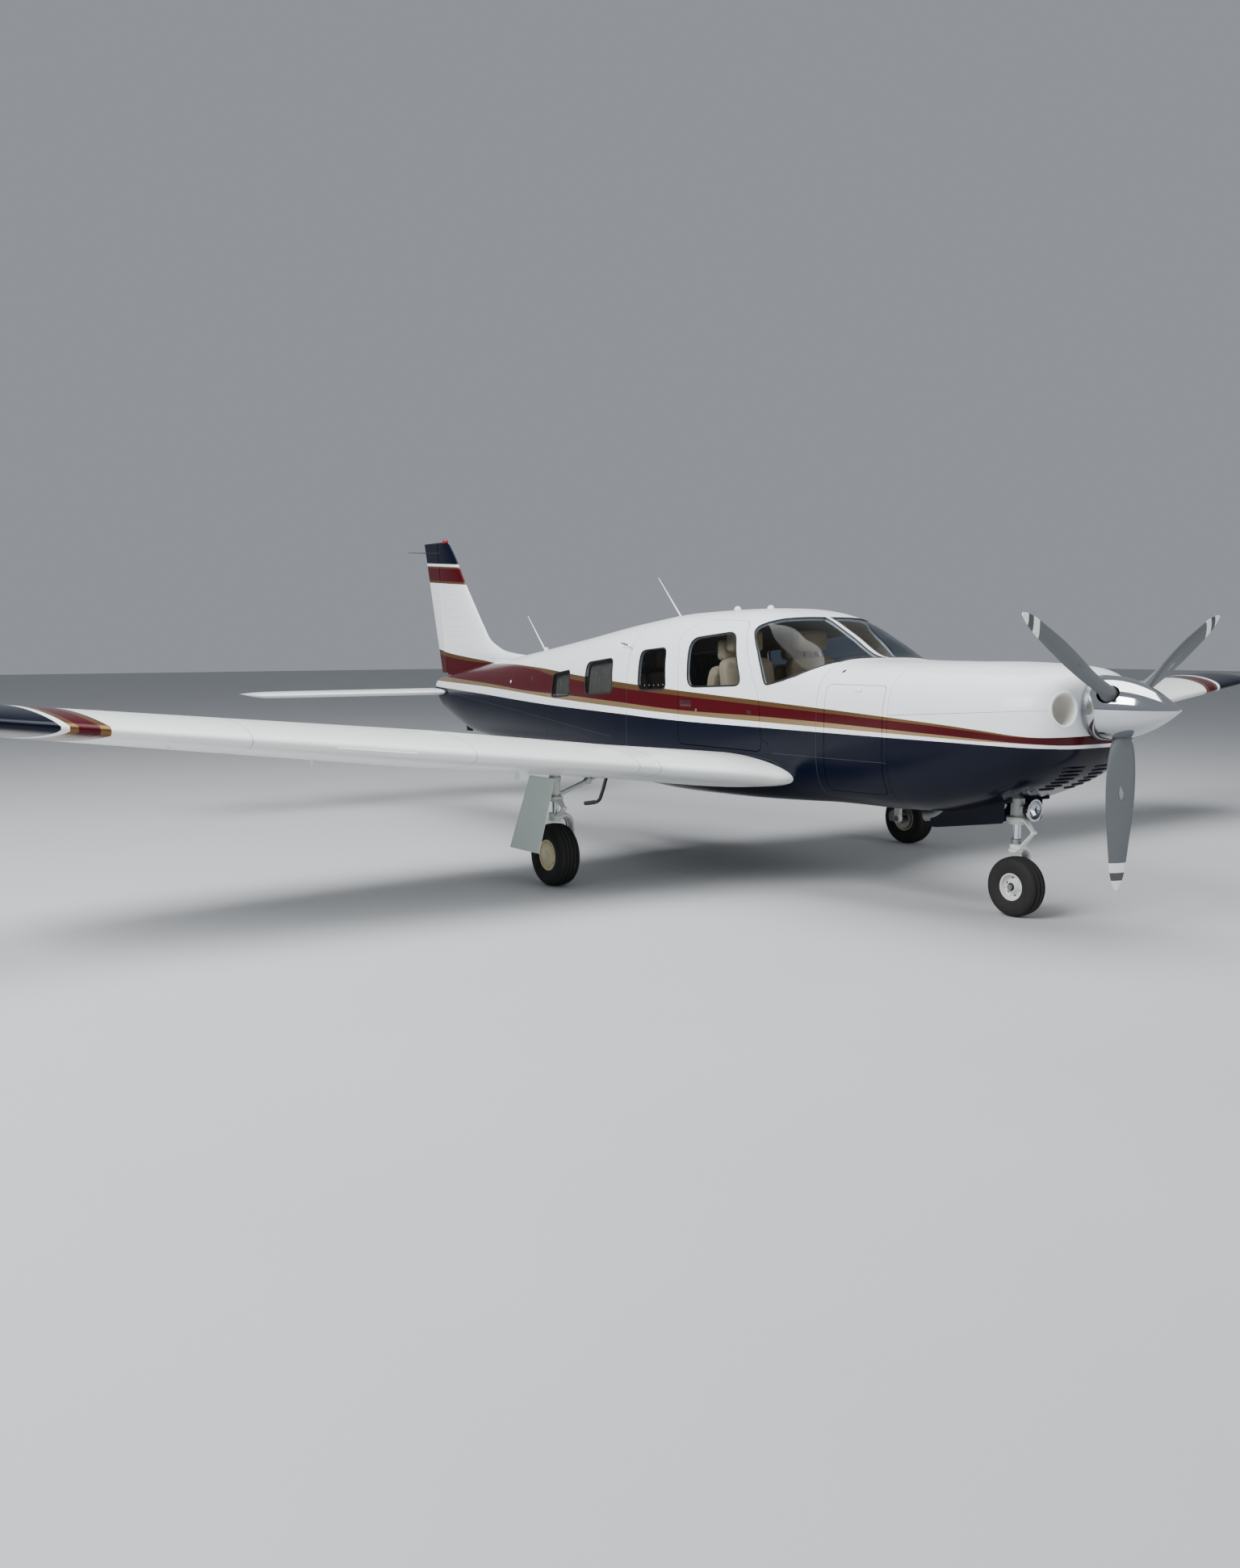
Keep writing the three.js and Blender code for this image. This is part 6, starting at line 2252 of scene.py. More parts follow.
@dataclass
class Wheel:
    """A tyre with grooves on a two-piece hub.

    Args:
        name: The names of its tyre and its hub.
        body: The body that it rides on.
        station: The axle's station.
        y: The side distance of its middle.
        radius: The tyre's radius.
        width: Its width.
        rim: The rim's radius.
        outer: Which way its outer face looks, 1 for left and -1 for right.
        grooves: How many grooves the tread has.
        nose: Whether it is the nose wheel, whose hub is open and grey.
    """

    name: tuple
    body: str
    station: float
    y: float
    radius: float
    width: float
    rim: float
    outer: int
    grooves: int = 4
    nose: bool = False

    def middle(self) -> Array:
        """The wheel's centre."""
        return np.array([HALF_LENGTH - self.station, self.y, self.radius])

    def build(self, finish: dict) -> None:
        """Builds the tyre and the hub.

        Args:
            finish: The materials by name.
        """
        half = self.width / 2
        rows = np.array([[0, self.rim, 0.66], [0.12, self.rim + 0.004, 0.78], [0.3, self.radius * 0.62, 0.95],
                         [0.5, self.radius * 0.76, 1.0], [0.68, self.radius * 0.88, 0.93],
                         [0.78, self.radius * 0.935, 0.82], [0.88, self.radius * 0.972, 0.6],
                         [1.0, self.radius * 0.997, 0.0]])
        side = between(rows, np.concatenate([np.linspace(0, 0.78, 22)[:-1], np.linspace(0.78, 1, 34)]))
        right = np.column_stack([side[:, 0], side[:, 1] * half])
        left = right[::-1][1:] * [1, -1]
        profile = np.vstack([right, left])
        tread = np.linspace(-0.52, 0.52, self.grooves) * half
        depth = np.abs(profile[:, 1:] - tread).min(axis=1)
        tread_share = np.clip((profile[:, 0] - self.radius * 0.93) / (self.radius * 0.02), 0, 1)
        profile[:, 0] -= 0.007 * np.clip((0.0046 - depth) / 0.0010, 0, 1) * tread_share
        ring = np.clip(1 - np.abs(profile[:, 0] - self.radius * 0.70) / 0.003, 0, 1)
        profile[:, 1] *= 1 + 0.012 * ring * (depth > 0)
        profile = np.vstack([profile, [self.rim - 0.004, -half * 0.6], [self.rim - 0.004, half * 0.6]])
        solid = Solid()
        revolved(solid, np.vstack([profile, profile[:1]]), self.middle(), OUT, 120)
        tyre_node, hub_node = self.name
        piece = solid.build(f"{tyre_node}_tread", [finish["tyre_rubber"]], crease=40)
        fit(piece, self.body, "rubber", tyre_node)
        self.hub(hub_node, finish)

    def hub(self, node: str, finish: dict) -> None:
        """The hub: a rim flange and a disc on the outer side, the flange and brake disc on the inner one.

        Args:
            node: The hub's CAD node.
            finish: The materials by name.
        """
        half, rim = self.width / 2, self.rim
        solid = Solid()
        edge = half * 0.72
        outer = [[rim - 0.006, 0], [rim + 0.001, edge - 0.006], [rim + 0.007, edge],
                 [rim + 0.006, edge + 0.004], [rim - 0.002, edge + 0.004], [rim - 0.007, edge - 0.002]]
        if self.nose:
            face = [[rim - 0.010, edge - 0.016], [rim * 0.72, edge - 0.026], [rim * 0.62, edge - 0.024],
                    [rim * 0.45, edge - 0.004], [rim * 0.40, edge + 0.002], [rim * 0.34, edge + 0.002],
                    [0.012, edge + 0.000]]
        else:
            face = [[rim - 0.009, edge - 0.001], [rim - 0.012, edge + 0.002], [rim * 0.80, edge + 0.006],
                    [rim * 0.45, edge + 0.010], [rim * 0.30, edge + 0.011], [rim * 0.28, edge + 0.016],
                    [0.012, edge + 0.018], [0.0, edge + 0.018]]
        inner = [[rim - 0.006, 0], [rim + 0.001, -edge + 0.006], [rim + 0.007, -edge],
                 [rim + 0.006, -edge - 0.004],
                 [rim - 0.002, -edge - 0.004], [rim - 0.008, -edge + 0.004], [rim - 0.014, -edge * 0.45],
                 [rim * 0.55, -edge * 0.40], [rim * 0.50, -edge * 0.62], [0.019, -edge * 0.66],
                 [0.019, 0.0]]
        axis = OUT * self.outer
        revolved(solid, outer + face, self.middle(), axis, 96)
        revolved(solid, inner, self.middle(), axis, 96)
        paint = finish["white_hub" if self.nose else "cream_hub"]
        fit(solid.build(f"{node}_rim", [paint], closed=False, crease=28), self.body, "hub_paint", node)
        count = 6 if self.nose else 8
        turn = np.linspace(0, 2 * np.pi, count, endpoint=False) + 0.2
        around = np.stack([np.cos(turn), np.zeros(count), np.sin(turn)], axis=-1)
        reach, lift = (rim * 0.80, edge - 0.020) if self.nose else (rim * 0.83, edge + 0.004)
        studs(f"{node}_bolts", self.body, "cast_metal", finish["steel"],
              self.middle() + around * reach + axis * lift, np.tile(axis, (count, 1)), 0.0042, 0.003)
        if self.nose:
            # The bearing is near-black painted shade in the hub's middle.
            bearing = boss(Solid(), self.middle() + axis * (edge - 0.012),
                           self.middle() + axis * (edge + 0.004), rim * 0.33)
            fit(bearing.build(f"{node}_bearing", [finish["dark_inside"]]), self.body, "rubber")
            # The slots are near-black plates of painted shade that stand for the openings in the hub's face.
            slots = Solid()
            for angle in turn + math.pi / count:
                way = np.array([math.cos(angle), 0, math.sin(angle)])
                outline = rounded([[-0.010, -0.006], [0.010, -0.006], [0.010, 0.006], [-0.010, 0.006]],
                                  0.0055)
                slab(slots, outline, self.middle() + way * rim * 0.70 + axis * (edge - 0.0255),
                     np.cross(way, axis), way, 0.002)
            fit(slots.build(f"{node}_slots", [finish["dark_inside"]]), self.body, "rubber")
        else:
            disc = Solid()
            profile = [[0.045, -edge - 0.004], [0.082, -edge - 0.004], [0.083, -edge - 0.006],
                       [0.083, -edge - 0.012], [0.082, -edge - 0.014], [0.045, -edge - 0.014],
                       [0.045, -edge - 0.004]]
            revolved(disc, profile, self.middle(), axis, 72)
            fit(disc.build(f"{node}_brake_disc", [finish["steel"]]), self.body, "cast_metal")


def link(solid: Solid, start: Array, end: Array, wide: float, narrow: float, thickness: float) -> Solid:
    """A flat link that tapers from a wide fork at its start to an eye at its end, across the aircraft.

    Args:
        solid: What it is added to.
        start: Where it starts.
        end: Where it ends.
        wide: Half its width at the fork.
        narrow: Half its width at the eye.
        thickness: Its thickness.

    Returns:
        The solid.
    """
    start, end = np.asarray(start, float), np.asarray(end, float)
    way = end - start
    length = float(np.linalg.norm(way))
    way = way / length
    outline = rounded([[-wide, -0.012], [wide, -0.012], [wide * 0.8, length * 0.3], [narrow, length + 0.012],
                       [-narrow, length + 0.012], [-wide * 0.8, length * 0.3]], 0.012)
    slab(solid, outline, start, OUT, way, thickness, bevel=0.003)
    for point, half in ((start, wide + 0.004), (end, narrow + 0.006)):
        boss(solid, point - OUT * half, point + OUT * half, thickness * 0.95)
    return solid


@dataclass
class MainGear:
    """A main leg with its fork, links, brace, brake and door.

    Args:
        side: 1 for left and -1 for right.
        station: The leg's station.
        y: Its side distance.
        arm: The fork arm's side distance.
        crown: The height of the fork's crown.
        collar: The height of the cylinder's lower end.
        top: The height of the pivot.
        axle: The axle's height.
    """

    side: int
    station: float = 3.431
    y: float = 1.665
    arm: float = 1.540
    crown: float = 0.459
    collar: float = 0.560
    top: float = 0.768
    axle: float = 0.207

    def on(self, aft: float, y: float, z: float) -> Array:
        """A point from a distance aft of the leg, a side distance and a height."""
        return np.array([HALF_LENGTH - self.station - aft, self.side * y, z])

    def build(self, finish: dict) -> None:
        """Builds every piece of the leg, and the wheel's brake.

        Args:
            finish: The materials by name.
        """
        word = "left" if self.side > 0 else "right"
        leg = Solid()
        low, top = self.collar, self.top
        profile = [[0, low], [0.041, low], [0.044, low + 0.004], [0.044, low + 0.026], [0.038, low + 0.032],
                   [0.036, low + 0.045], [0.036, top - 0.075], [0.041, top - 0.070], [0.041, top - 0.050],
                   [0.037, top - 0.045], [0.037, top], [0, top]]
        revolved(leg, profile, self.on(0, self.y, 0), UP, 48)
        boss(leg, self.on(-0.176, self.y, top), self.on(0.218, self.y, top), 0.020)
        arch = ((0.147, -0.002), (0.125, 0.003), (0.070, 0.008), (0.027, -0.011), (0.004, -0.053),
                (0, -0.129), (0, -0.219), (0, -0.270))
        path = along([self.on(0, self.arm + out, self.crown + up) for out, up in arch], 40)
        t = np.linspace(0, 1, 40)
        tube(leg, path, 0.0145 + 0.004 * np.sin(np.pi * np.clip(t * 2, 0, 1)) ** 2, 28, up=(1, 0, 0),
             flat=2.7, finish=0)
        boss(leg, self.on(0, self.y, self.crown - 0.028), self.on(0, self.y, self.crown + 0.026), 0.044,
             soft=0.006)
        boss(leg, self.on(0, self.arm - 0.019, self.axle), self.on(0, self.arm + 0.016, self.axle), 0.036,
             soft=0.004)
        knee = self.on(-0.110, self.y, 0.521)
        for height in (self.collar + 0.022, self.crown):
            link(leg, self.on(-0.040, self.y, height), knee, 0.030, 0.013, 0.013)
        start, end = self.on(0, self.y, self.collar + 0.03), self.on(0, 1.150, self.top)
        middle = (start + end) / 2
        tube(leg, np.linspace(start, middle, 6), 0.0155, 20, up=(1, 0, 0))
        tube(leg, np.linspace(middle, end, 6), 0.0125, 20, up=(1, 0, 0))
        boss(leg, middle + AFT * 0.022, middle - AFT * 0.022, 0.021)
        boss(leg, end + AFT * 0.088, end - AFT * 0.088, 0.017)
        outline = rounded([[-0.09, -0.028], [0.09, -0.028], [0.09, 0.028], [-0.09, 0.028]], 0.012)
        slab(leg, outline, self.on(0, 1.150, self.top + 0.014), AFT, OUT, 0.012)
        fit(leg.build(f"main_leg_{word}", [finish["gear_paint"]], crease=35), "airframe", "gear_paint",
            f"main_gear_leg_{word}")
        chrome = Solid()
        boss(chrome, self.on(0, self.y, self.crown), self.on(0, self.y, self.collar + 0.004), 0.0245,
             segments=40)
        fit(chrome.build(f"main_piston_{word}", [finish["polished_metal"]]), "airframe", "polished_metal")
        metal = Solid()
        boss(metal, self.on(0, self.arm - 0.035, self.axle), self.on(0, self.y + 0.02, self.axle), 0.0155)
        boss(metal, self.on(0, self.arm - 0.030, self.axle), self.on(0, self.arm - 0.017, self.axle), 0.024,
             segments=6)
        for aft, up in ((0.052, 0.040), (0.074, 0.0)):
            boss(metal, self.on(aft, self.arm - 0.004, self.axle + up),
                 self.on(aft, self.arm + 0.034, self.axle + up), 0.0075)
        outline = rounded([[0.040, -0.030], [0.092, -0.026], [0.098, 0.030], [0.055, 0.066],
                           [0.030, 0.050]], 0.014)
        slab(metal, outline, self.on(0, self.arm + 0.026, self.axle), AFT, UP, 0.026, bevel=0.004)
        slab(metal, outline, self.on(0, self.arm + 0.001, self.axle), AFT, UP, 0.012, bevel=0.003)
        fit(metal.build(f"main_brake_{word}", [finish["cast_metal"]]), "airframe", "cast_metal")
        hoses = Solid()
        points = [self.on(0.030, self.y - 0.030, 0.742), self.on(0.052, self.y - 0.030, 0.66),
                  self.on(0.046, self.y - 0.028, 0.58), self.on(0.085, self.y - 0.050, 0.49),
                  self.on(0.090, self.arm - 0.020, 0.40), self.on(0.060, self.arm - 0.022, 0.32),
                  self.on(0.070, self.arm - 0.004, 0.270)]
        tube(hoses, along(points, 60), 0.0052, 12, up=(1, 0.2, 0))
        fit(hoses.build(f"brake_hose_{word}", [finish["hose"]]), "airframe", "rubber")
        bands = Solid()
        for z in (0.70, 0.60):
            profile = [[0.0365, z - 0.006], [0.0395, z - 0.005], [0.0395, z + 0.005], [0.0365, z + 0.006]]
            revolved(bands, profile, self.on(0, self.y, 0), UP, 36)
            boss(bands, self.on(0.034, self.y - 0.034, z - 0.006), self.on(0.034, self.y - 0.034, z + 0.006),
                 0.008, segments=12)
        fit(bands.build(f"hose_clips_{word}", [finish["steel"]], closed=False), "airframe", "cast_metal")
        self.door(word, finish)

    def door(self, word: str, finish: dict) -> None:
        """The slanted door plate outboard of the leg, with its inner flange, struts and rivets.

        Args:
            word: The side as a word, for the names.
            finish: The materials by name.
        """
        top_y, low_y, top_z, low_z = 1.818, 1.930, 0.735, 0.262
        middle = self.on(0, (top_y + low_y) / 2, (top_z + low_z) / 2)
        way = unit(self.on(0, top_y, top_z) - self.on(0, low_y, low_z))
        half = math.hypot(top_y - low_y, top_z - low_z) / 2
        front, rear, low_front, low_rear = -0.241, 0.061, -0.228, 0.131
        corners = [[low_front, -half], [low_rear, -half], [rear, half], [front, half]]
        outline = resampled(rounded(corners, 0.010, 5), 0.03)
        solid = Solid()
        slab(solid, outline, middle, AFT, way, 0.006, bevel=0.002)
        inward = unit(np.cross(AFT, way)) * self.side
        inward = inward if inward[1] * self.side < 0 else -inward
        inner = inset(resampled(rounded(corners, 0.045, 8), 0.03), 0.030)
        rib = middle + inner[:, :1] * AFT + inner[:, 1:] * way + inward * 0.006
        tube(solid, rib, 0.006, 10, up=inward, closed=True)
        for z in (0.690, 0.640):
            y = top_y + (top_z - z) / (top_z - low_z) * (low_y - top_y)
            tube(solid, np.linspace(self.on(0, self.y + 0.036, z), self.on(0, y - 0.004, z), 4), 0.0085, 16,
                 up=(1, 0, 0))
            boss(solid, self.on(0, y - 0.012, z), self.on(0, y - 0.002, z), 0.020)
        fit(solid.build(f"gear_door_{word}_plate", [finish["door_paint"]]), "airframe", "gear_paint",
            f"gear_door_{word}")
        row = resampled(inset(outline, 0.014), 0.030)
        points = middle + row[:, :1] * AFT + row[:, 1:] * way - inward * 0.0028
        studs(f"gear_door_{word}_rivets", "airframe", "gear_paint", finish["door_paint"], points,
              np.tile(-inward, (len(points), 1)), 0.0028, 0.0011)


@dataclass
class NoseGear:
    """The nose strut with its braces and light, the steered fork, and the two doors.

    Args:
        station: The strut's station.
        crown: The height of the fork's crown.
        arm: The fork arm's side distance; not used.
        axle: The axle's height.
        wheel: The axle's station; not used.
    """

    station: float = 1.027
    crown: float = 0.398
    arm: float = 0.0875
    axle: float = 0.178
    wheel: float = 1.019

    def on(self, aft: float, y: float, z: float) -> Array:
        """A point from a distance aft of the strut, a side distance and a height."""
        return np.array([HALF_LENGTH - self.station - aft, y, z])

    def build(self, finish: dict) -> None:
        """Builds the strut, the fork, the light and the doors.

        Args:
            finish: The materials by name.
        """
        self.strut(finish)
        self.fork(finish)
        self.light(finish)
        for side, word in ((1, "left"), (-1, "right")):
            self.door(side, word, finish)

    def strut(self, finish: dict) -> None:
        """The upper cylinder, its cross bar, the braces to the firewall and a curved link behind it.

        Args:
            finish: The materials by name.
        """
        solid = Solid()
        profile = [[0, 0.545], [0.043, 0.545], [0.046, 0.549], [0.046, 0.592], [0.041, 0.598], [0.040, 0.615],
                   [0.040, 0.86], [0.046, 0.87], [0.046, 0.93], [0.042, 0.935], [0, 0.935]]
        revolved(solid, profile, self.on(0, 0, 0), UP, 56)
        boss(solid, self.on(0, -0.150, 0.900), self.on(0, 0.150, 0.900), 0.022)
        wall = 1.489 - self.station
        for y in (-0.12, 0.12):
            tube(solid, np.linspace(self.on(0, y, 0.900), self.on(wall, y, 0.860), 6), 0.016, 20)
        tube(solid, np.linspace(self.on(0.012, 0, 0.70), self.on(wall, 0, 0.84), 8), 0.016, 20)
        outline = rounded([[-0.15, -0.04], [0.15, -0.04], [0.15, 0.04], [-0.15, 0.04]], 0.015)
        slab(solid, outline, self.on(wall - 0.002, 0, 0.860), OUT, UP, 0.012)
        slab(solid, rounded([[-0.022, 0], [0.022, 0], [0.022, 0.034], [-0.022, 0.034]], 0.006),
             self.on(-0.038, 0, 0.622), OUT, UP, 0.060, bevel=0.004)
        path = along([self.on(0.045, -0.05, 0.66), self.on(0.10, -0.055, 0.585),
                      self.on(0.165, -0.055, 0.545), self.on(0.23, -0.05, 0.56),
                      self.on(0.30, -0.045, 0.62)], 40)
        tube(solid, path, 0.010, 16, up=(0, 1, 0))
        fit(solid.build("nose_strut", [finish["gear_paint"]], crease=35), "airframe", "gear_paint",
            "nose_gear_strut")

    def fork(self, finish: dict) -> None:
        """The chrome piston, steering collar, torque links and the one-armed fork with its axle.

        Args:
            finish: The materials by name.
        """
        solid = Solid()
        ring = [[0.048, 0.562], [0.060, 0.562], [0.062, 0.565], [0.062, 0.586], [0.060, 0.589],
                [0.048, 0.589], [0.048, 0.562]]
        revolved(solid, ring, self.on(0, 0, 0), UP, 56)
        path = along([self.on(-0.008, y, z) for y, z in ((-0.045, 0.392), (-0.01, 0.402), (0.040, 0.400),
                                                         (0.074, 0.378), (0.088, 0.330), (0.0885, 0.25),
                                                         (0.0885, 0.160))], 36)
        t = np.linspace(0, 1, 36)
        tube(solid, path, 0.0125 + 0.0035 * np.sin(np.pi * np.clip(1.6 * t, 0, 1)) ** 2, 28, up=(1, 0, 0),
             flat=2.35)
        boss(solid, self.on(0, 0, self.crown - 0.022), self.on(0, 0, self.crown + 0.030), 0.037, soft=0.005)
        boss(solid, self.on(-0.008, 0.074, self.axle), self.on(-0.008, 0.104, self.axle), 0.030, soft=0.004)
        knee = self.on(-0.120, 0, 0.505)
        link(solid, self.on(-0.060, 0, 0.574), knee, 0.026, 0.011, 0.012)
        link(solid, self.on(-0.036, 0, self.crown + 0.012), knee, 0.026, 0.011, 0.012)
        fit(solid.build("nose_fork_arm", [finish["gear_paint"]], crease=35), "nose_fork", "gear_paint",
            "nose_fork")
        chrome = Solid()
        boss(chrome, self.on(0, 0, self.crown), self.on(0, 0, 0.5445), 0.0228, segments=40)
        fit(chrome.build("nose_piston", [finish["polished_metal"]]), "nose_fork", "polished_metal")
        metal = Solid()
        boss(metal, self.on(0, 0, self.crown + 0.026), self.on(0, 0, self.crown + 0.062), 0.0315, soft=0.003)
        boss(metal, self.on(-0.008, -0.056, self.axle), self.on(-0.008, 0.112, self.axle), 0.0118)
        boss(metal, self.on(-0.008, -0.064, self.axle), self.on(-0.008, -0.050, self.axle), 0.019, segments=6)
        fit(metal.build("nose_axle", [finish["steel"]]), "nose_fork", "cast_metal")

    def light(self, finish: dict) -> None:
        """The landing light: a can in near-black painted shade, a silver ring, a bright dish and a clear
        lens.

        Args:
            finish: The materials by name.
        """
        place = self.on(0.901 - self.station, 0, 0.637)
        can = Solid()
        profile = [[0.060, 0.004], [0.066, 0.004], [0.066, 0.024], [0.050, 0.050], [0.024, 0.0572],
                   [0, 0.0572]]
        revolved(can, profile, place, AFT, 56)
        fit(can.build("landing_light_can", [finish["dark_inside"]], closed=False), "airframe", "lamp_lens",
            "landing_light")
        ring = Solid()
        profile = [[0.052, 0.004], [0.054, -0.001], [0.063, -0.001], [0.067, 0.002], [0.067, 0.012],
                   [0.052, 0.012], [0.052, 0.004]]
        revolved(ring, profile, place, AFT, 64)
        fit(ring.build("landing_light_ring", [finish["polished_metal"]]), "airframe", "polished_metal")
        dish = Solid()
        t = np.linspace(0, 1, 12)
        revolved(dish, np.column_stack([0.053 * (1 - t) + 0.001, 0.004 + 0.034 * np.sqrt(t)]), place, AFT, 56)
        fit(dish.build("landing_light_dish", [finish["polished_metal"]], closed=False), "airframe",
            "polished_metal")
        lens = Solid()
        t = np.linspace(0, 1, 10)
        front = np.column_stack([0.053 * np.sin(t * np.pi / 2), -0.006 * np.cos(t * np.pi / 2) + 0.002])
        back = front[::-1] + [0, 0.003]
        revolved(lens, np.vstack([front, back]), place, AFT, 56)
        fit(lens.build("landing_light_lens", [finish["lamp_glass"]]), "airframe", "lamp_lens")

    def door(self, side: int, word: str, finish: dict) -> None:
        """A door plate beside the strut.

        Args:
            side: 1 for left and -1 for right.
            word: The side as a word, for the names.
            finish: The materials by name.
        """
        corners = [[985, 712], [1540, 712], [1540, 487], [1500, 485], [1000, 562], [985, 575]]
        outline = resampled(rounded(corners, 18) * MM, 0.05)
        solid = Solid()
        slab(solid, outline, np.array([HALF_LENGTH, side * 0.168, 0.0]), AFT, UP, 0.007, bevel=0.002)
        inner = inset(outline, 0.022)
        rib = np.column_stack([HALF_LENGTH - inner[:, 0], np.full(len(inner), side * 0.1635), inner[:, 1]])
        tube(solid, rib, 0.004, 8, up=(0, 1, 0), closed=True)
        fit(solid.build(f"nose_gear_door_{word}_plate", [finish["navy_paint"]]), "airframe", "navy_paint",
            f"nose_gear_door_{word}")
        row = resampled(inset(outline, 0.012), 0.030)
        points = np.column_stack([HALF_LENGTH - row[:, 0], np.full(len(row), side * 0.1714), row[:, 1]])
        studs(f"nose_gear_door_{word}_rivets", "airframe", "navy_paint", finish["navy_paint"], points,
              np.tile([0, side, 0], (len(row), 1)), 0.0028, 0.0011)


# Cabin furniture and bulkheads
def oblong(width: float, length: float, radius: float) -> Array:
    """A rounded rectangle about the origin."""
    x, y = width / 2, length / 2
    return rounded([[-x, -y], [x, -y], [x, y], [-x, y]], radius)


def cushion(name: str, place: Array, along_way: Array, size: tuple, rolls: int,
            finish: dict) -> bpy.types.Object:
    """A padded block: a rounded box with crowned faces, and rolls across its upper face.

    Args:
        name: The piece's name.
        place: Its middle.
        along_way: The direction of its length; its width lies across the aircraft.
        size: Width, length and thickness.
        rolls: How many sewn rolls the upper face has.
        finish: The materials.

    Returns:
        The piece: cos and sin of two angles, each raised to a small power, give a rounded box. The upper
        face is then lowered by a share that follows a wave along the length, and both faces swell
        towards the middle.
    """
    def shaped(value: Array, power: float) -> Array:
        """A value raised to a power, with its sign kept."""
        return np.sign(value) * np.abs(value) ** power

    angle = np.linspace(0, 2 * np.pi, 96, endpoint=False)[:, None]
    turn = np.linspace(-np.pi / 2, np.pi / 2, 33)[None]
    turn = turn * (0.35 + 0.65 * np.abs(turn) / (np.pi / 2))
    flat = np.cos(turn) ** 0.30
    x, y = shaped(np.cos(angle), 0.34) * flat, shaped(np.sin(angle), 0.34) * flat
    z = shaped(np.sin(turn), 0.45) * np.ones_like(angle)
    crown = 1 + 0.16 * (1 - x * x) * (1 - y * y)
    valley = 1 - np.abs(np.sin(0.5 * np.pi * rolls * (y + 1))) ** 0.6 if rolls > 1 else 0 * y
    z = z * (crown - 0.28 * valley * (1 - x ** 6))
    way = unit(np.asarray(along_way, float))
    normal = np.cross(OUT, way)
    normal = normal if normal[2] + 0.2 * normal[0] > 0 else -normal
    width, length, thick = (part / 2 / 1.08 for part in size)
    surface = (np.asarray(place) + width * x[..., None] * OUT + length * y[..., None] * way
               + thick * z[..., None] * normal)
    piece = Solid().grid(surface, 0, (True, False)).build(name, [finish["leather"]], crease=70)
    return piece


# Seats: name, station of the front edge, side distance, width, way it faces and height of its back
SEATS = (
    ("front_seat_left", 2.600, 0.300, 0.480, 1, 1.500),
    ("front_seat_right", 2.600, -0.300, 0.480, 1, 1.500),
    ("middle_seat_left", 3.790, 0.290, 0.440, -1, 1.440),
    ("middle_seat_right", 3.790, -0.290, 0.440, -1, 1.440),
    ("rear_seat_left", 4.180, 0.225, 0.445, 1, 1.360),
    ("rear_seat_right", 4.180, -0.225, 0.445, 1, 1.360),
)


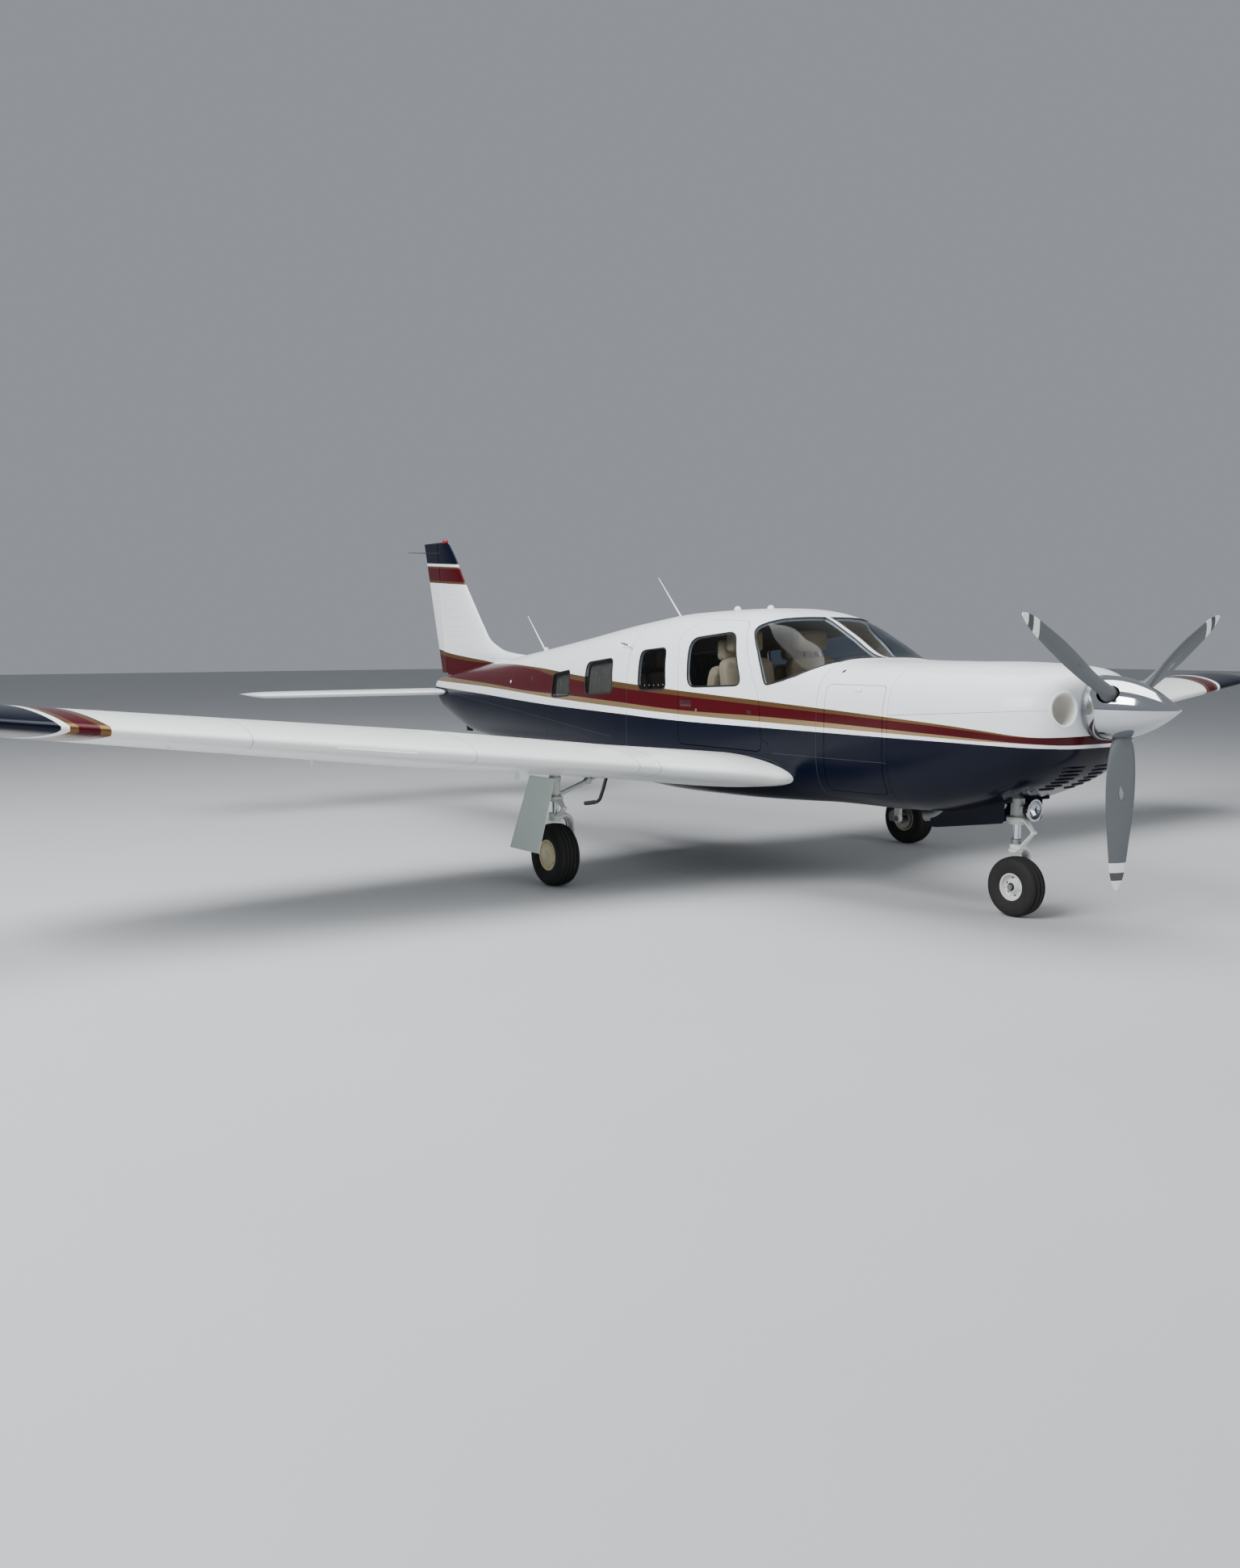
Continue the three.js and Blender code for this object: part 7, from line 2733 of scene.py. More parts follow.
@dataclass
class Interior:
    """Seats, panel, floor, bulkheads, blinds and the linings of the wells.

    Args:
        skin: The fuselage skin.
        floor: The height of the cabin floor's top.
        panel: The station of the instrument panel's face.
        shield: The height of the glare shield's middle.
        yoke: Side distance and height of a control wheel.
    """

    skin: FuselageSkin
    floor: float = 0.762
    panel: float = 2.128
    shield: float = 1.416
    yoke: tuple = (0.270, 1.230)

    def build(self, finish: dict) -> None:
        """Builds the furniture and dresses the plain pieces that stay.

        Args:
            finish: The materials by name.
        """
        for node, name in (("cabin_floor", "carpet"), ("engine_block", "engine_grey")):
            for slot in bpy.data.objects[node].material_slots:
                slot.material = finish[name]
        for seat in SEATS:
            self.seat(*seat, finish)
        self.dashboard(finish)
        self.walls(finish)
        for side, word in ((1, "left"), (-1, "right")):
            for name in ("fourth_window", "fifth_window"):
                self.blind(name, side, word, finish)

    def seat(self, name: str, front: float, y: float, width: float, facing: int, top: float,
             finish: dict) -> None:
        """One seat: legs, a cushion, a sloping back in rolls, and a headrest on two posts.

        Args:
            name: Its name.
            front: The station of its front edge.
            y: Its side distance.
            width: Its width.
            facing: 1 if it faces forward and -1 if aft.
            top: The height of its back.
            finish: The materials by name.
        """
        def spot(aft: float, z: float, out: float = 0.0) -> Array:
            """A point behind the seat's front edge."""
            return np.array([HALF_LENGTH - front - facing * aft, y + out, z])

        node = name if not name.startswith("rear") else "rear_seats"
        frame = Solid()
        half = width / 2 - 0.05
        for aft in (0.085, 0.465):
            slab(frame, oblong(2 * half, 1.050 - self.floor, 0.02), spot(aft, (1.045 + self.floor) / 2),
                 OUT, UP, 0.040)
        slab(frame, oblong(2 * half + 0.04, 0.46, 0.03), spot(0.27, 1.040), OUT, AFT, 0.022)
        for out in (-0.055, 0.055):
            tube(frame, np.linspace(spot(0.525, top - 0.05, out), spot(0.540, top + 0.06, out), 4), 0.006,
                 12, up=OUT)
        nodes = (node,) if name != "rear_seat_right" else ()
        fit(frame.build(f"{name}_frame", [finish["panel_black"]]), "airframe", "leather", *nodes)
        back_way = spot(0.545, top) - spot(0.470, 1.105)
        back = (spot(0.545, top) + spot(0.455, 1.105)) / 2
        head = spot(0.540, top + 0.100)
        parts = (("cushion", spot(0.250, 1.090), AFT * facing, (width, 0.50, 0.095), 4),
                 ("back", back, back_way, (width, top - 1.09, 0.105), 5),
                 ("headrest", head, UP, (0.30, 0.165, 0.096), 2))
        for part, place, way, size, rolls in parts:
            piece = cushion(f"{name}_{part}", place, way, size, rolls, finish)
            fit(piece, "airframe", "leather")

    def dashboard(self, finish: dict) -> None:
        """The panel with its dials, a glare shield over it, a pedestal and two control wheels.

        Args:
            finish: The materials by name.
        """
        face = HALF_LENGTH - self.panel
        solid = Solid()
        outline = rounded([[-0.575, 1.13], [0.575, 1.13], [0.585, 1.27], [0.525, 1.395], [-0.525, 1.395],
                           [-0.585, 1.27]], 0.03)
        slab(solid, outline, [face + 0.037, 0, 0], OUT, UP, 0.074, bevel=0.004)
        outline = rounded([[-2.205, -0.52], [-1.72, -0.42], [-1.72, 0.42], [-2.205, 0.52]], 0.05)
        slab(solid, outline, [HALF_LENGTH, 0, self.shield], -AFT, OUT, 0.030, bevel=0.012)
        slab(solid, oblong(0.14, 0.43, 0.02), [HALF_LENGTH - 2.150, 0, 0.98], OUT, UP, 0.095)
        fit(solid.build("glare_shield_and_panel", [finish["panel_black"]]), "airframe", "panel_black",
            "instrument_panel")
        rims, dials, wheels = Solid(), Solid(), Solid()
        for side in (1, -1):
            for column in (-1, 0, 1):
                for z in (1.335, 1.245):
                    middle = np.array([face - 0.001, side * 0.27 + column * 0.092, z])
                    boss(rims, middle, middle + AFT * 0.005, 0.041, soft=0.0015)
                    boss(dials, middle + AFT * 0.004, middle + AFT * 0.0056, 0.036, soft=0.0005)
            y, z = side * self.yoke[0], self.yoke[1]
            tube(wheels, np.linspace([face - 0.004, y, z], [face - 0.145, y, z], 4), 0.0125, 20)
            shape = ((-0.118, 0.092), (-0.122, 0.03), (-0.092, -0.012), (0, -0.004), (0.092, -0.012),
                     (0.122, 0.03), (0.118, 0.092))
            path = along([[face - 0.148, y + out, z + up] for out, up in shape], 48)
            tube(wheels, path, 0.0135, 16, up=AFT)
        for solid, name, paint in ((rims, "dial_rims", "steel"), (dials, "dials", "panel_line"),
                                   (wheels, "control_wheels", "panel_black")):
            fit(solid.build(name, [finish[paint]]), "airframe", "panel_black")

    def section_plate(self, solid: Solid, front: float, rear: float, pull: float) -> None:
        """A plate across the fuselage between two stations, drawn in from the skin.

        Args:
            solid: What it is added to.
            front: Its front station.
            rear: Its rear station.
            pull: How far its edge stays inside the skin.
        """
        share = np.linspace(-1, 1, 97)[:-1]
        rings = [self.skin.lifted(np.full(96, key), share, -pull) for key in (front, rear)]
        solid.grid(np.stack(rings), 0, (False, True))
        for ring in rings:
            solid.fan(ring, ring.mean(axis=0))

    def walls(self, finish: dict) -> None:
        """The firewall, the nose bay's rear wall and deck, the rear bulkhead, and the nose well's lining.

        Args:
            finish: The materials by name.
        """
        walls = Solid()
        self.section_plate(walls, 1.4975, 1.510, 0.006)
        self.section_plate(walls, 5.400, 5.417, 0.016)
        fit(walls.build("bulkheads", [finish["steel"]]), "airframe", "cast_metal")
        bay = Solid()
        share = np.linspace(-1, 1, 97)[:-1]
        rings = [self.skin.lifted(np.full(96, key), share, -0.026) for key in (2.014, 2.046)]
        rings = [ring * [1, 1, 0] + np.minimum(ring[:, 2:], 1.400) * [0, 0, 1] for ring in rings]
        bay.grid(np.stack(rings), 0, (False, True))
        for ring in rings:
            bay.fan(ring, [ring[0, 0], 0, 1.1])
        outline = rounded([[-2.05, -0.52], [-1.512, -0.45], [-1.512, 0.45], [-2.05, 0.52]], 0.01)
        slab(bay, outline, [HALF_LENGTH, 0, 1.3895], -AFT, OUT, 0.016)
        fit(bay.build("baggage_bay_walls", [finish["trim_beige"]]), "airframe", "panel_black")
        # The nose well's lining is near-black painted shade.
        well = Solid()
        front, rear, half, roof = 0.932, 1.488, 0.164, 0.802
        low = 0.66
        x0, x1 = HALF_LENGTH - front, HALF_LENGTH - rear
        for side in (1, -1):
            slab(well, rounded([[x1, 0.60], [x0, low + 0.03], [x0, roof], [x1, roof]], 0.004),
                 [0, side * half, 0], -AFT, UP, 0.004)
        slab(well, rounded([[x1, -half], [x0, -half], [x0, half], [x1, half]], 0.004), [0, 0, roof], -AFT,
             OUT, 0.004)
        slab(well, oblong(2 * half, roof - low - 0.06, 0.004), [x0, 0, (roof + low + 0.06) / 2], OUT, UP,
             0.004)
        slab(well, oblong(2 * half, roof - 0.615, 0.004), [x1, 0, (roof + 0.615) / 2], OUT, UP, 0.004)
        fit(well.build("nose_well_lining", [finish["dark_inside"]]), "airframe", "panel_black")

    def blind(self, name: str, side: int, word: str, finish: dict) -> None:
        """A pleated blind inside a small window: its depth is a wave along the fuselage.

        Args:
            name: The window's name.
            side: 1 for left and -1 for right.
            word: The side as a word, for the names.
            finish: The materials by name.
        """
        corners, _ = WINDOWS[name]
        s, z = np.array(corners).T * MM
        across = np.linspace(s.min() - 0.03, s.max() + 0.03, 160)
        heights = np.linspace(z.min() - 0.03, z.max() + 0.03, 12)
        keys, level = np.meshgrid(across, heights)
        share = self.skin.share_at_height(keys.ravel(), level.ravel(), side)
        wave = 0.006 * np.sin(keys.ravel() * 2 * np.pi / 0.034)
        sheets = [self.skin.lifted(keys.ravel(), share, -0.050 + wave + off).reshape(12, 160, 3)
                  for off in (0, 0.002)]
        solid = Solid().grid(np.concatenate([sheets[0], sheets[1][::-1]]), 0, (True, False))
        for column in (0, -1):
            solid.grid(np.stack([sheets[0][:, column], sheets[1][:, column]]))
        piece = solid.build(f"{word}_{name}_blind", [finish["curtain"]])
        body = next((door.node for door in DOORS if door.window == name and door.side == side), "airframe")
        fit(piece, body, "carpet")


# Outside fittings
@dataclass(frozen=True)
class Plate:
    """A small plate on the right side: name, body, finish, middle, size, corner radius and height."""

    name: str
    body: str
    paint: str
    station: float
    z: float
    width: float
    tall: float
    radius: float
    lift: float


PLATES = (
    Plate("handle_recess", "front_door", "dark_red", 3.350, 1.178, 0.130, 0.044, 0.012, 0.0010),
    Plate("handle_lever", "front_door", "dark_red", 3.345, 1.180, 0.096, 0.020, 0.009, 0.0060),
    Plate("door_lock", "front_door", "steel", 3.233, 1.137, 0.020, 0.020, 0.010, 0.0020),
    Plate("door_latch", "front_door", "dark_red", 2.675, 1.145, 0.050, 0.022, 0.008, 0.0040),
    Plate("upper_hinge_leaf", "front_door", "white_paint", 2.628, 1.247, 0.048, 0.022, 0.007, 0.0030),
    Plate("upper_hinge_root", "airframe", "white_paint", 2.545, 1.247, 0.052, 0.022, 0.007, 0.0030),
    Plate("lower_hinge_root", "airframe", "navy_paint", 2.518, 0.949, 0.048, 0.022, 0.007, 0.0030),
    Plate("nose_door_latch", "nose_baggage_door", "white_paint", 1.743, 1.318, 0.062, 0.030, 0.014, 0.0060),
    # The drain is a near-black plate of painted shade that stands for its hole.
    Plate("nose_drain", "airframe", "dark_inside", 1.942, 1.420, 0.018, 0.018, 0.009, 0.0012),
    Plate("tail_static_port", "airframe", "dark_red", 5.688, 1.292, 0.046, 0.040, 0.006, 0.0008),
    Plate("tail_port", "airframe", "bead_white", 6.150, 1.252, 0.024, 0.024, 0.012, 0.0015),
)
# Rows of screws and rivets: station and height at both ends, and how many
RIVET_ROWS = (
    ((0.565, 1.250), (1.450, 1.192), 9), ((0.565, 1.222), (1.450, 1.164), 9),
    ((1.462, 0.740), (1.462, 1.420), 14), ((2.010, 0.690), (2.010, 0.930), 5),
    ((2.070, 0.720), (2.070, 1.440), 12), ((1.530, 0.905), (2.440, 0.905), 22),
    ((3.560, 0.700), (3.560, 1.740), 22), ((4.080, 0.640), (4.080, 1.700), 22),
    ((4.880, 0.660), (4.880, 1.640), 20), ((5.405, 0.660), (5.405, 1.560), 20),
    ((5.435, 0.660), (5.435, 1.560), 20), ((6.150, 0.690), (6.150, 1.430), 16),
    ((6.850, 0.740), (6.850, 1.360), 14), ((7.450, 0.800), (7.450, 1.300), 10),
    ((3.600, 0.920), (7.800, 1.120), 80), ((5.450, 1.350), (7.600, 1.210), 42),
    ((2.100, 1.240), (2.520, 1.262), 9), ((3.560, 1.300), (5.380, 1.205), 34),
)
# The edge of the wing root's fairing on the fuselage, as station and height
WING_ROOT = [[2329, 736], [2385, 816], [2450, 840], [2522, 852], [2697, 862], [2948, 853], [3183, 831],
             [3600, 782], [4000, 735], [4260, 700]]


@dataclass
class Fittings:
    """What is fixed to the skin: rivets, panel lines, plates, antennas, lights, steps and pads.

    Args:
        skin: The fuselage skin.
        head: The radius of a rivet's head.
        line: Half the width of a panel line.
    """

    skin: FuselageSkin
    head: float = 0.0026
    line: float = 0.0013

    def on_side(self, station: Array, z: Array, side: int, lift: float = 0.0) -> tuple[Array, Array]:
        """Points and outward directions on one side at stations and heights.

        Args:
            station: Stations.
            z: Heights.
            side: 1 for left and -1 for right.
            lift: How far outside the skin.

        Returns:
            The points and the directions.
        """
        station, z = np.asarray(station, float), np.asarray(z, float)
        share = self.skin.share_at_height(station, z, side)
        return self.skin.lifted(station, share, lift), self.skin.normal(station, share)

    def build(self, finish: dict) -> None:
        """Builds all fittings.

        Args:
            finish: The materials by name.
        """
        self.rivets(finish)
        self.lines(finish)
        for plate in PLATES:
            self.plate(plate, finish)
        self.masts(finish)
        self.underside(finish)
        self.louvres(finish)

    def rivets(self, finish: dict) -> None:
        """Rows of flush heads along frames, laps and the wing's root.

        Args:
            finish: The materials by name.
        """
        points, normals = [], []
        root = np.array(WING_ROOT) * MM
        root = between(root, np.linspace(root[0, 0], root[-1, 0], 46))[:, 0]
        stations = np.linspace(WING_ROOT[0][0] * MM, WING_ROOT[-1][0] * MM, 46)
        for side in (1, -1):
            rows = [np.linspace(start, end, count).T for start, end, count in RIVET_ROWS]
            rows.append(np.stack([stations, root - 0.012]))
            for station, z in rows:
                place, normal = self.on_side(station, z, side)
                points.append(place)
                normals.append(normal)
        studs("fuselage_rivets", "airframe", "white_paint", finish["fuselage_paint"], np.concatenate(points),
              np.concatenate(normals), self.head, 0.0009)
        height = np.concatenate([np.linspace(0.94, 1.21, 10)] * 2 + [np.linspace(1.28, 1.67, 10)] * 2)
        lean = np.interp(height, [0.892, 1.247, 1.736], [2.549, 2.583, 2.845])
        station = lean + np.tile(np.repeat([0.022, 0.048], 10), 2)
        place, normal = self.on_side(station, height, -1)
        studs("front_door_rivets", "front_door", "white_paint", finish["fuselage_paint"], place, normal,
              self.head, 0.0009)

    def seam(self, solid: Solid, corners: Array, side: int) -> None:
        """A dark panel line through stations and heights on one side.

        Args:
            solid: What it is added to.
            corners: Stations and heights.
            side: 1 for left and -1 for right.
        """
        path = along(corners, 60)
        place, normal = self.on_side(path[:, 0], path[:, 1], side, 0.0002)
        across = unit(np.cross(np.gradient(place, axis=0), normal))
        section = ((-1, -0.0006), (-0.6, 0.0002), (0.6, 0.0002), (1, -0.0006))
        rows = [place + across * (self.line * c) + normal * h for c, h in section]
        solid.grid(np.stack(rows), 0, (True, False))

    def lines(self, finish: dict) -> None:
        """Panel joints: frames, the lap along each side and the root fairing's edge.

        Args:
            finish: The materials by name.
        """
        solid = Solid()
        for side in (1, -1):
            self.seam(solid, np.array(WING_ROOT) * MM, side)
            for station, low, high in ((2.060, 0.66, 1.46), (4.070, 0.66, 1.70), (6.140, 0.70, 1.44)):
                self.seam(solid, np.array([[station, low], [station + 0.0001, high]]), side)
            self.seam(solid, np.array([[1.50, 0.895], [2.45, 0.893]]), side)
            self.seam(solid, np.array([[4.30, 0.895], [6.00, 1.01], [7.85, 1.11]]), side)
        fit(solid.build("panel_lines", [finish["panel_line"]], closed=False), "airframe", "panel_black")

    def plate(self, plate: Plate, finish: dict) -> None:
        """A plate that follows the skin: its outline at two heights, closed over the top.

        Args:
            plate: The plate.
            finish: The materials by name.
        """
        local = oblong(plate.width, plate.tall, plate.radius)
        outline = local + [plate.station, plate.z]
        trimmed = inset(local, min(0.0015, plate.lift)) + [plate.station, plate.z]
        rings = [self.on_side(*outline.T, -1, lift)[0] for lift in (-0.002, plate.lift * 0.6)]
        rings.append(self.on_side(*trimmed.T, -1, plate.lift)[0])
        middle = self.on_side([plate.station], [plate.z], -1, plate.lift)[0]
        solid = Solid().grid(np.stack(rings), 0, (False, True)).fan(rings[-1], middle)
        solid.fan(rings[0], self.on_side([plate.station], [plate.z], -1, -0.002)[0])
        fit(solid.build(plate.name, [finish[plate.paint]]), plate.body, "white_paint")

    def masts(self, finish: dict) -> None:
        """Whip antennas, the beacon, domes on the roof, the grab handle and the tail's rods.

        Args:
            finish: The materials by name.
        """
        dark, white, chrome = Solid(), Solid(), Solid()
        for (s0, z0), (s1, z1) in (((4.209, 1.771), (4.541, 2.087)), ((6.194, 1.528), (6.505, 1.821))):
            t = np.linspace(0, 1, 20)
            path = np.array([[HALF_LENGTH - s0, 0, z0 - 0.03]]) + t[:, None] * [s0 - s1, 0, z1 - z0 + 0.03]
            tube(white, path, 0.0075 - 0.0055 * t, 14, up=(0, 1, 0))
            boss(white, path[0] - UP * 0.02, path[0] + UP * 0.045, 0.017, soft=0.008)
        for station in (3.418, 3.064):
            place = at(station * 1000, -135, 1795)
            turn = np.linspace(0, np.pi / 2, 10)
            profile = np.column_stack([0.024 * np.cos(turn), 0.030 + 0.022 * np.sin(turn)])
            revolved(white, np.vstack([[0, 0], [0.026, 0], [0.026, 0.030], profile]), place, UP, 32)
        for side in (1, -1):
            path = along([[HALF_LENGTH - 8.10, side * 0.02, 2.455], [HALF_LENGTH - 8.28, side * 0.10, 2.462],
                          [HALF_LENGTH - 8.46, side * 0.20, 2.470]], 24)
            tube(dark, path, np.linspace(0.0052, 0.0026, 24), 12)
        fit(white.build("antennas", [finish["white_paint"]]), "airframe", "white_paint")
        fit(dark.build("tail_antenna_rods", [finish["panel_black"]]), "airframe", "panel_black")
        points = ((4.062, 1.548, -0.010), (4.066, 1.550, 0.030), (4.095, 1.556, 0.043), (4.132, 1.560, 0.046),
                  (4.169, 1.564, 0.043), (4.198, 1.570, 0.030), (4.202, 1.572, -0.010))
        path = along([self.on_side([s], [z], -1, lift)[0][0] for s, z, lift in points], 48)
        tube(chrome, path, 0.0062, 16, up=UP)
        fit(chrome.build("grab_handle", [finish["polished_metal"]]), "airframe", "polished_metal")
        beacon = Solid()
        turn = np.linspace(0, np.pi / 2, 14)
        profile = np.column_stack([0.026 * np.cos(turn), 0.012 + 0.018 * np.sin(turn)])
        revolved(beacon, np.vstack([[0, -0.01], [0.026, -0.01], profile]), at(8055, 0, 2560), UP, 40)
        fit(beacon.build("beacon_lens", [finish["lens_red"]]), "airframe", "lamp_lens")

    def underside(self, finish: dict) -> None:
        """The tail skid, jack pads, exhaust, masts under the wings and the boarding step.

        Args:
            finish: The materials by name.
        """
        pads = Solid()
        for side in (1, -1):
            slab(pads, oblong(0.060, 0.060, 0.006), at(2960, side * 2200, 820), AFT, OUT, 0.100, bevel=0.002)
        fit(pads.build("jack_pads", [finish["wing_paint"]]), "airframe", "pearl_paint")
        skid = Solid()
        slab(skid, rounded([[-7.66, 0.85], [-7.54, 0.85], [-7.56, 0.735], [-7.64, 0.735]], 0.006),
             [HALF_LENGTH, 0, 0], -AFT, UP, 0.028, bevel=0.003)
        fit(skid.build("tail_skid", [finish["navy_paint"]]), "airframe", "navy_paint")
        stack = Solid()
        path = along([at(1390, -150, 680), at(1450, -150, 605), at(1525, -150, 560), at(1600, -150, 545)], 30)
        tube(stack, path, 0.034, 28, up=(0, 1, 0), flat=0.75)
        fit(stack.build("exhaust_stack", [finish["cast_metal"]]), "airframe", "cast_metal")
        # A near-black plug just inside the stack's end: the pipe's soot, and painted shade for its hollow.
        hollow = Solid()
        tube(hollow, np.linspace(at(1570, -150, 551), at(1601.5, -150, 544.6), 3), 0.029, 28,
             up=(0, 1, 0), flat=0.75)
        fit(hollow.build("exhaust_mouth", [finish["dark_inside"]]), "airframe", "cast_metal")
        probe = Solid()
        slab(probe, rounded([[-0.024, 0], [0.024, 0], [0.014, -0.088], [-0.014, -0.088]], 0.006),
             at(2990, -4300, 1135), AFT, UP, 0.012, bevel=0.004)
        slab(probe, rounded([[-0.05, 0.03], [0.05, 0.03], [0.0, -0.045]], 0.008), at(3290, -3400, 930),
             AFT, UP, 0.010, bevel=0.003)
        fit(probe.build("wing_masts", [finish["bead_white"]]), "airframe", "pearl_paint")
        step, pad = Solid(), Solid()
        path = along([at(4380, -540, 650), at(4397, -560, 632), at(4440, -603, 460), at(4455, -617, 405),
                      at(4480, -626, 384), at(4525, -640, 374), at(4585, -656, 364)], 60)
        tube(step, path, 0.0135, 20, up=(0, 1, 0))
        tube(pad, along([at(4500, -632, 379.5), at(4545, -645, 371), at(4592, -658, 363)], 20), 0.0165,
             20, up=(0, 1, 0))
        fit(step.build("boarding_step_tube", [finish["hose"]]), "airframe", "step_rubber", "boarding_step")
        fit(pad.build("boarding_step_pad", [finish["step_rubber"]]), "airframe", "step_rubber")

    def louvres(self, finish: dict) -> None:
        """Pressed louvres on the chin: short raised lips across it, one above the other, each over a
        near-black tube of painted shade that stands for its slot.

        Args:
            finish: The materials by name.
        """
        solid, dark = Solid(), Solid()
        for side in (1, -1):
            for z in np.linspace(0.915, 0.780, 7):
                y = np.linspace(0.045, 0.205 - 0.35 * (0.915 - z), 24)
                place = self.skin.from_ahead(side * y, np.full(24, z))
                rise = np.sin(np.linspace(0, np.pi, 24)) ** 0.5
                path = self.skin.lifted(place[:, 0], place[:, 1], 0.0045 * rise - 0.002)
                tube(solid, path, 0.0052, 14, up=UP)
                # Under each lip, a near-black tube of painted shade that stands for the slot.
                path = self.skin.lifted(place[:, 0], place[:, 1], 0.0022 * rise - 0.002) - UP * 0.0058
                tube(dark, path, 0.0028, 10, up=UP)
        fit(solid.build("chin_louvres", [finish["navy_paint"]]), "airframe", "navy_paint")
        fit(dark.build("louvre_slots", [finish["dark_inside"]]), "airframe", "navy_paint")


def wing_trim(wing: Wing, finish: dict) -> None:
    """Rivet rows along a wing, panel joints round its nose and a stall strip.

    Args:
        wing: The wing.
        finish: The materials.
    """
    word = "left" if wing.side > 0 else "right"
    points, normals = [], []
    for c in (-0.78, -0.62, -0.42, -0.24, 0.24, 0.42, 0.62, 0.78):
        u = np.arange(0.76, 5.16, 0.055)
        rows = [(u, np.full(len(u), c))]
        if c == 0.24:
            for out in (1.42, 2.04, 2.69, 3.30, 3.95, 4.60, 5.17):
                spread = np.concatenate([np.linspace(-0.80, -0.16, 18), np.linspace(0.16, 0.80, 18)])
                rows.append((np.full(36, out), spread))
        for spans, shares in rows:
            place = wing.place(spans, shares)
            du = wing.place(spans + 0.002, shares) - place
            dc = wing.place(spans, shares + 0.002) - place
            normal = unit(np.cross(du, dc))
            up = np.sign(normal[:, 2]) * np.sign(shares)
            points.append(place)
            normals.append(normal * up[:, None])
    studs(f"wing_{word}_rivets", "airframe", "pearl_paint", finish["wing_paint"], np.concatenate(points),
          np.concatenate(normals), 0.0024, 0.0008, 6)
    solid = Solid()
    for out in (1.40, 1.56, 2.69, 3.95):
        c = np.linspace(-0.82, 0.82, 90)
        rows = [wing.place(np.full(90, out + shift), c) for shift in (-0.0012, 0.0012)]
        centre = wing.place(np.full(90, out), np.zeros(90)) + AFT * 0.25
        swell = [(row - centre) * [1.0006, 1, 1.004] + centre for row in rows]
        solid.grid(np.stack([rows[0], swell[0], swell[1], rows[1]]), 0, (True, False))
    fit(solid.build(f"wing_{word}_lines", [finish["panel_line"]], closed=False), "airframe", "panel_black")
    strip_u = np.linspace(3.05, 3.50, 30)
    nose = wing.place(strip_u, np.full(30, -0.03))
    bar_strip = Solid()
    tube(bar_strip, nose - AFT * 0.001, 0.006, 8, up=UP, flat=0.8)
    fit(bar_strip.build(f"stall_strip_{word}", [finish["white_paint"]]), "airframe", "pearl_paint")


def hollowed(piece: bpy.types.Object, low: Array, high: Array, lining: bpy.types.Material) -> None:
    """Cuts a box out of a closed piece and lines the recess with a finish of its own.

    Args:
        piece: The closed piece.
        low: The box's lowest corner.
        high: Its highest corner.
        lining: The recess's finish.
    """
    low, high = np.asarray(low, float), np.asarray(high, float)
    solid = Solid()
    middle, size = (low + high) / 2, high - low
    slab(solid, oblong(size[0], size[1], 0.03), middle, -AFT, OUT, size[2], bevel=0.0005)
    cutter = solid.build("well_cutter", [lining])
    cut = piece.modifiers.new("well", "BOOLEAN")
    cut.object, cut.operation, cut.solver, cut.material_mode = cutter, "DIFFERENCE", "EXACT", "TRANSFER"
    depsgraph = bpy.context.evaluated_depsgraph_get()
    mesh = bpy.data.meshes.new_from_object(piece.evaluated_get(depsgraph), depsgraph=depsgraph)
    piece.modifiers.clear()
    piece.data = mesh
    bpy.data.objects.remove(cutter)


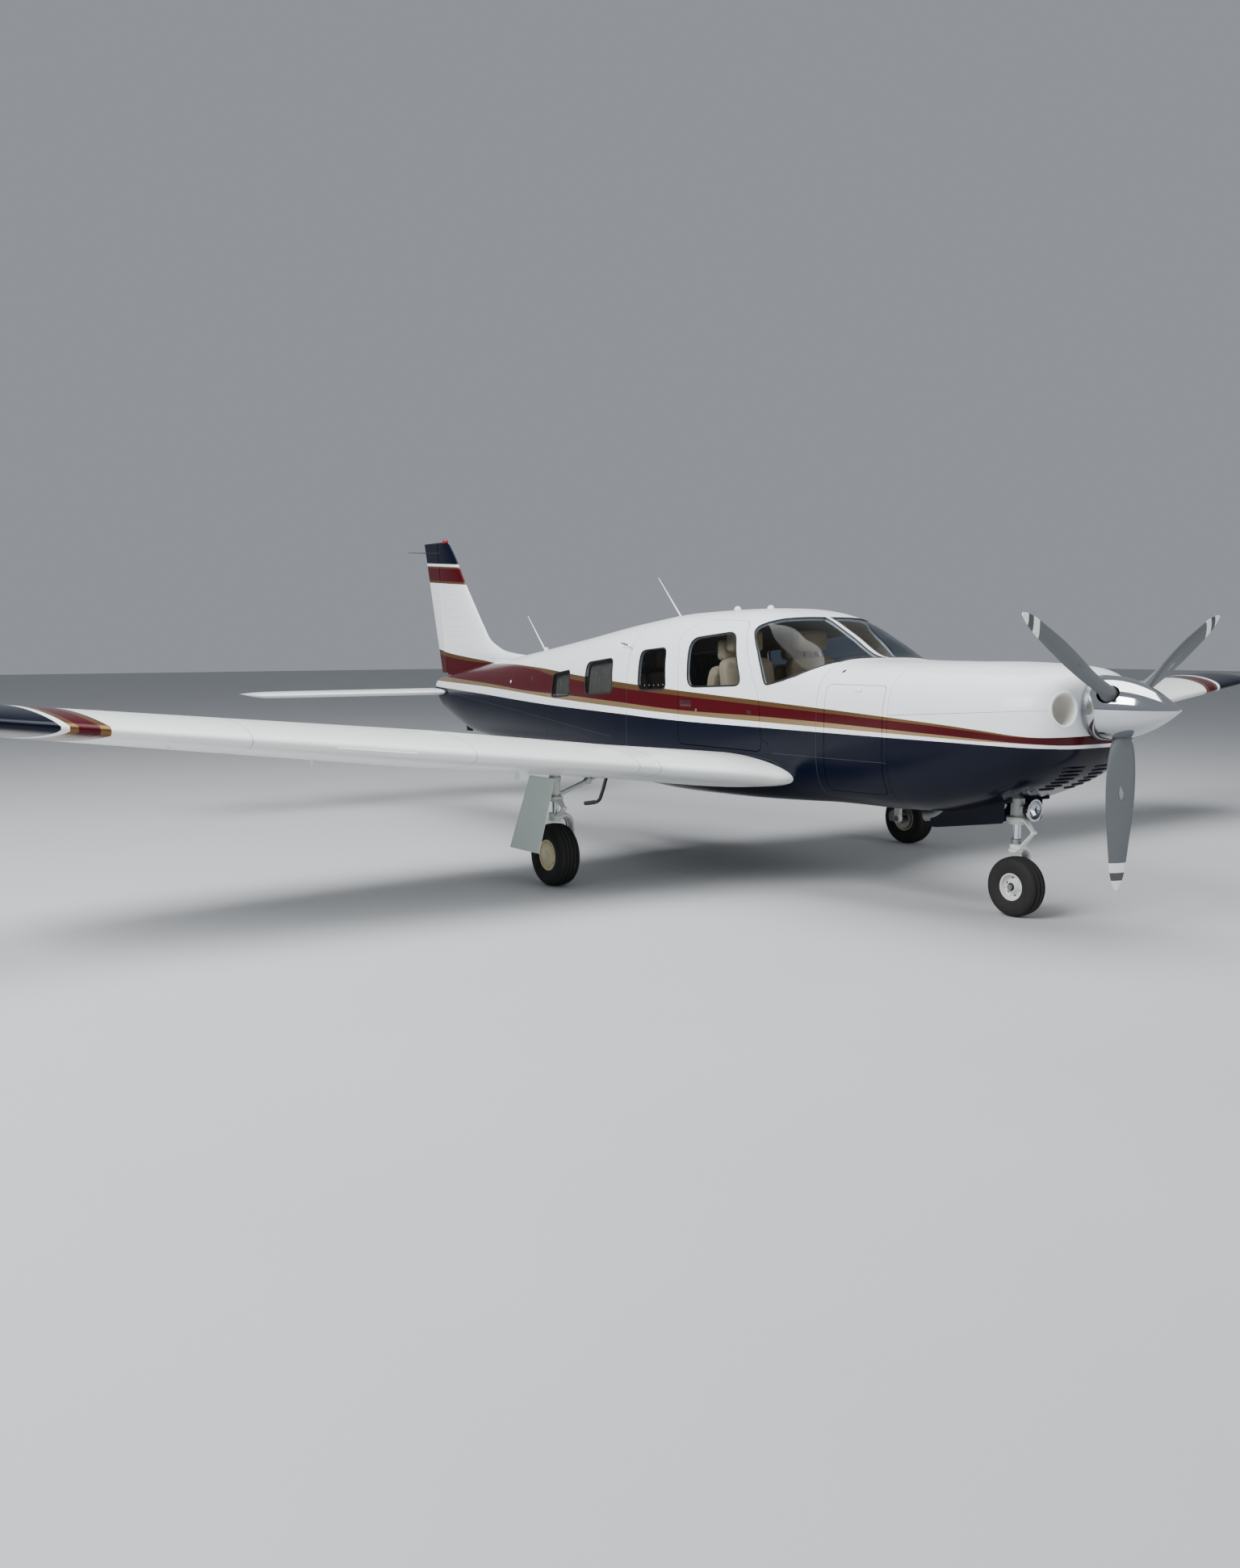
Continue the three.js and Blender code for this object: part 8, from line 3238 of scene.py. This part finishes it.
# Stage
@dataclass
class Studio:
    """A pale floor, soft lights and the camera.

    Args:
        eye: The camera's place.
        yaw: Its direction from +X, in degrees.
        pitch: Its direction above the horizon, in degrees.
        focal: Its focal length in pixels of the picture.
        size: The picture's width and height in pixels.
        shift: How far the picture is shifted up, as a share of its height.
    """

    eye: tuple = (8.4217, -6.4619, 1.6123)
    yaw: float = 145.026
    pitch: float = -6.563
    focal: float = 1707.06
    size: tuple = (1536, 1942)
    shift: float = 0.00899

    def build(self) -> None:
        """Puts up the camera, lights, floor and world."""
        self.camera()
        self.floor()
        self.light("key", (3.0, -12.0, 9.0), 2700.0, 7.0)
        self.light("overhead", (1.0, 0.5, 10.5), 1300.0, 9.0)
        self.light("fill", (12.0, 3.0, 4.0), 380.0, 6.0)
        world = bpy.data.worlds.new("studio")
        world.use_nodes = True
        world.node_tree.nodes["Background"].inputs[0].default_value = (0.82, 0.87, 0.95, 1)
        world.node_tree.nodes["Background"].inputs[1].default_value = 0.36
        bpy.context.scene.world = world

    def camera(self) -> None:
        """The camera at the photograph's viewing angle."""
        data = bpy.data.cameras.new("camera")
        data.sensor_width = 36.0
        data.lens = 36.0 * self.focal / max(self.size)
        data.shift_y = self.shift
        data.clip_end = 200.0
        camera = bpy.data.objects.new("camera", data)
        yaw, pitch = math.radians(self.yaw), math.radians(self.pitch)
        ahead = Vector((math.cos(yaw) * math.cos(pitch), math.sin(yaw) * math.cos(pitch), math.sin(pitch)))
        camera.location = self.eye
        camera.rotation_euler = ahead.to_track_quat("-Z", "Y").to_euler()
        bpy.context.scene.collection.objects.link(camera)
        bpy.context.scene.camera = camera

    def floor(self) -> None:
        """A wide, plain, pale floor."""
        x, y = np.meshgrid(np.linspace(-60, 60, 13), np.linspace(-60, 60, 13))
        solid = Solid().grid(np.dstack([x, y, np.zeros_like(x)]))
        material = bpy.data.materials.new("studio_floor")
        material.use_nodes = True
        make = Tree(material.node_tree)
        shader = material.node_tree.nodes["Principled BSDF"]
        cloud = make.noise(make.place(), 0.6, 3.0)
        make.tree.links.new(make.mix(cloud, (0.44, 0.45, 0.46, 1), (0.49, 0.50, 0.51, 1)),
                            shader.inputs["Base Color"])
        shader.inputs["Roughness"].default_value = 0.8
        piece = solid.build("studio_floor", [material], closed=False)

    def light(self, name: str, place: tuple, power: float, size: float) -> None:
        """A square soft light that faces the middle of the aircraft.

        Args:
            name: Its name.
            place: Its place.
            power: Its power in watts.
            size: The length of its side.
        """
        data = bpy.data.lights.new(name, "AREA")
        data.energy, data.size = power, size
        lamp = bpy.data.objects.new(name, data)
        lamp.location = place
        lamp.rotation_euler = (Vector((0, 0, 1)) - Vector(place)).to_track_quat("-Z", "Y").to_euler()
        bpy.context.scene.collection.objects.link(lamp)


def main() -> None:
    """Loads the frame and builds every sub-assembly in order."""
    logging.basicConfig(level=logging.INFO, format="%(name)s: %(message)s")
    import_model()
    Studio().build()
    finish = finishes()
    skin = FuselageSkin(FUSELAGE_ROWS)
    Cowl(skin).build(finish)
    Cabin(skin).build(finish)
    Interior(skin).build(finish)
    for side in (1, -1):
        wing = Wing(side, skin)
        wing.build(finish)
        wing_trim(wing, finish)
    Fittings(skin).build(finish)
    Fin().build(finish)
    Tail().build(finish)
    Propeller().build(finish)
    for side, word in ((1, "left"), (-1, "right")):
        leg = MainGear(side)
        leg.build(finish)
        Wheel((f"main_tyre_{word}", f"main_hub_{word}"), f"main_wheel_{word}", leg.station, side * leg.y,
              leg.axle, 0.160, 0.098, side).build(finish)
    NoseGear().build(finish)
    Wheel(("nose_tyre", "nose_hub"), "nose_wheel", 1.019, 0.0, 0.178, 0.127, 0.076, -1, 3, True).build(finish)
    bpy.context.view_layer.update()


if __name__ == "__main__":
    main()
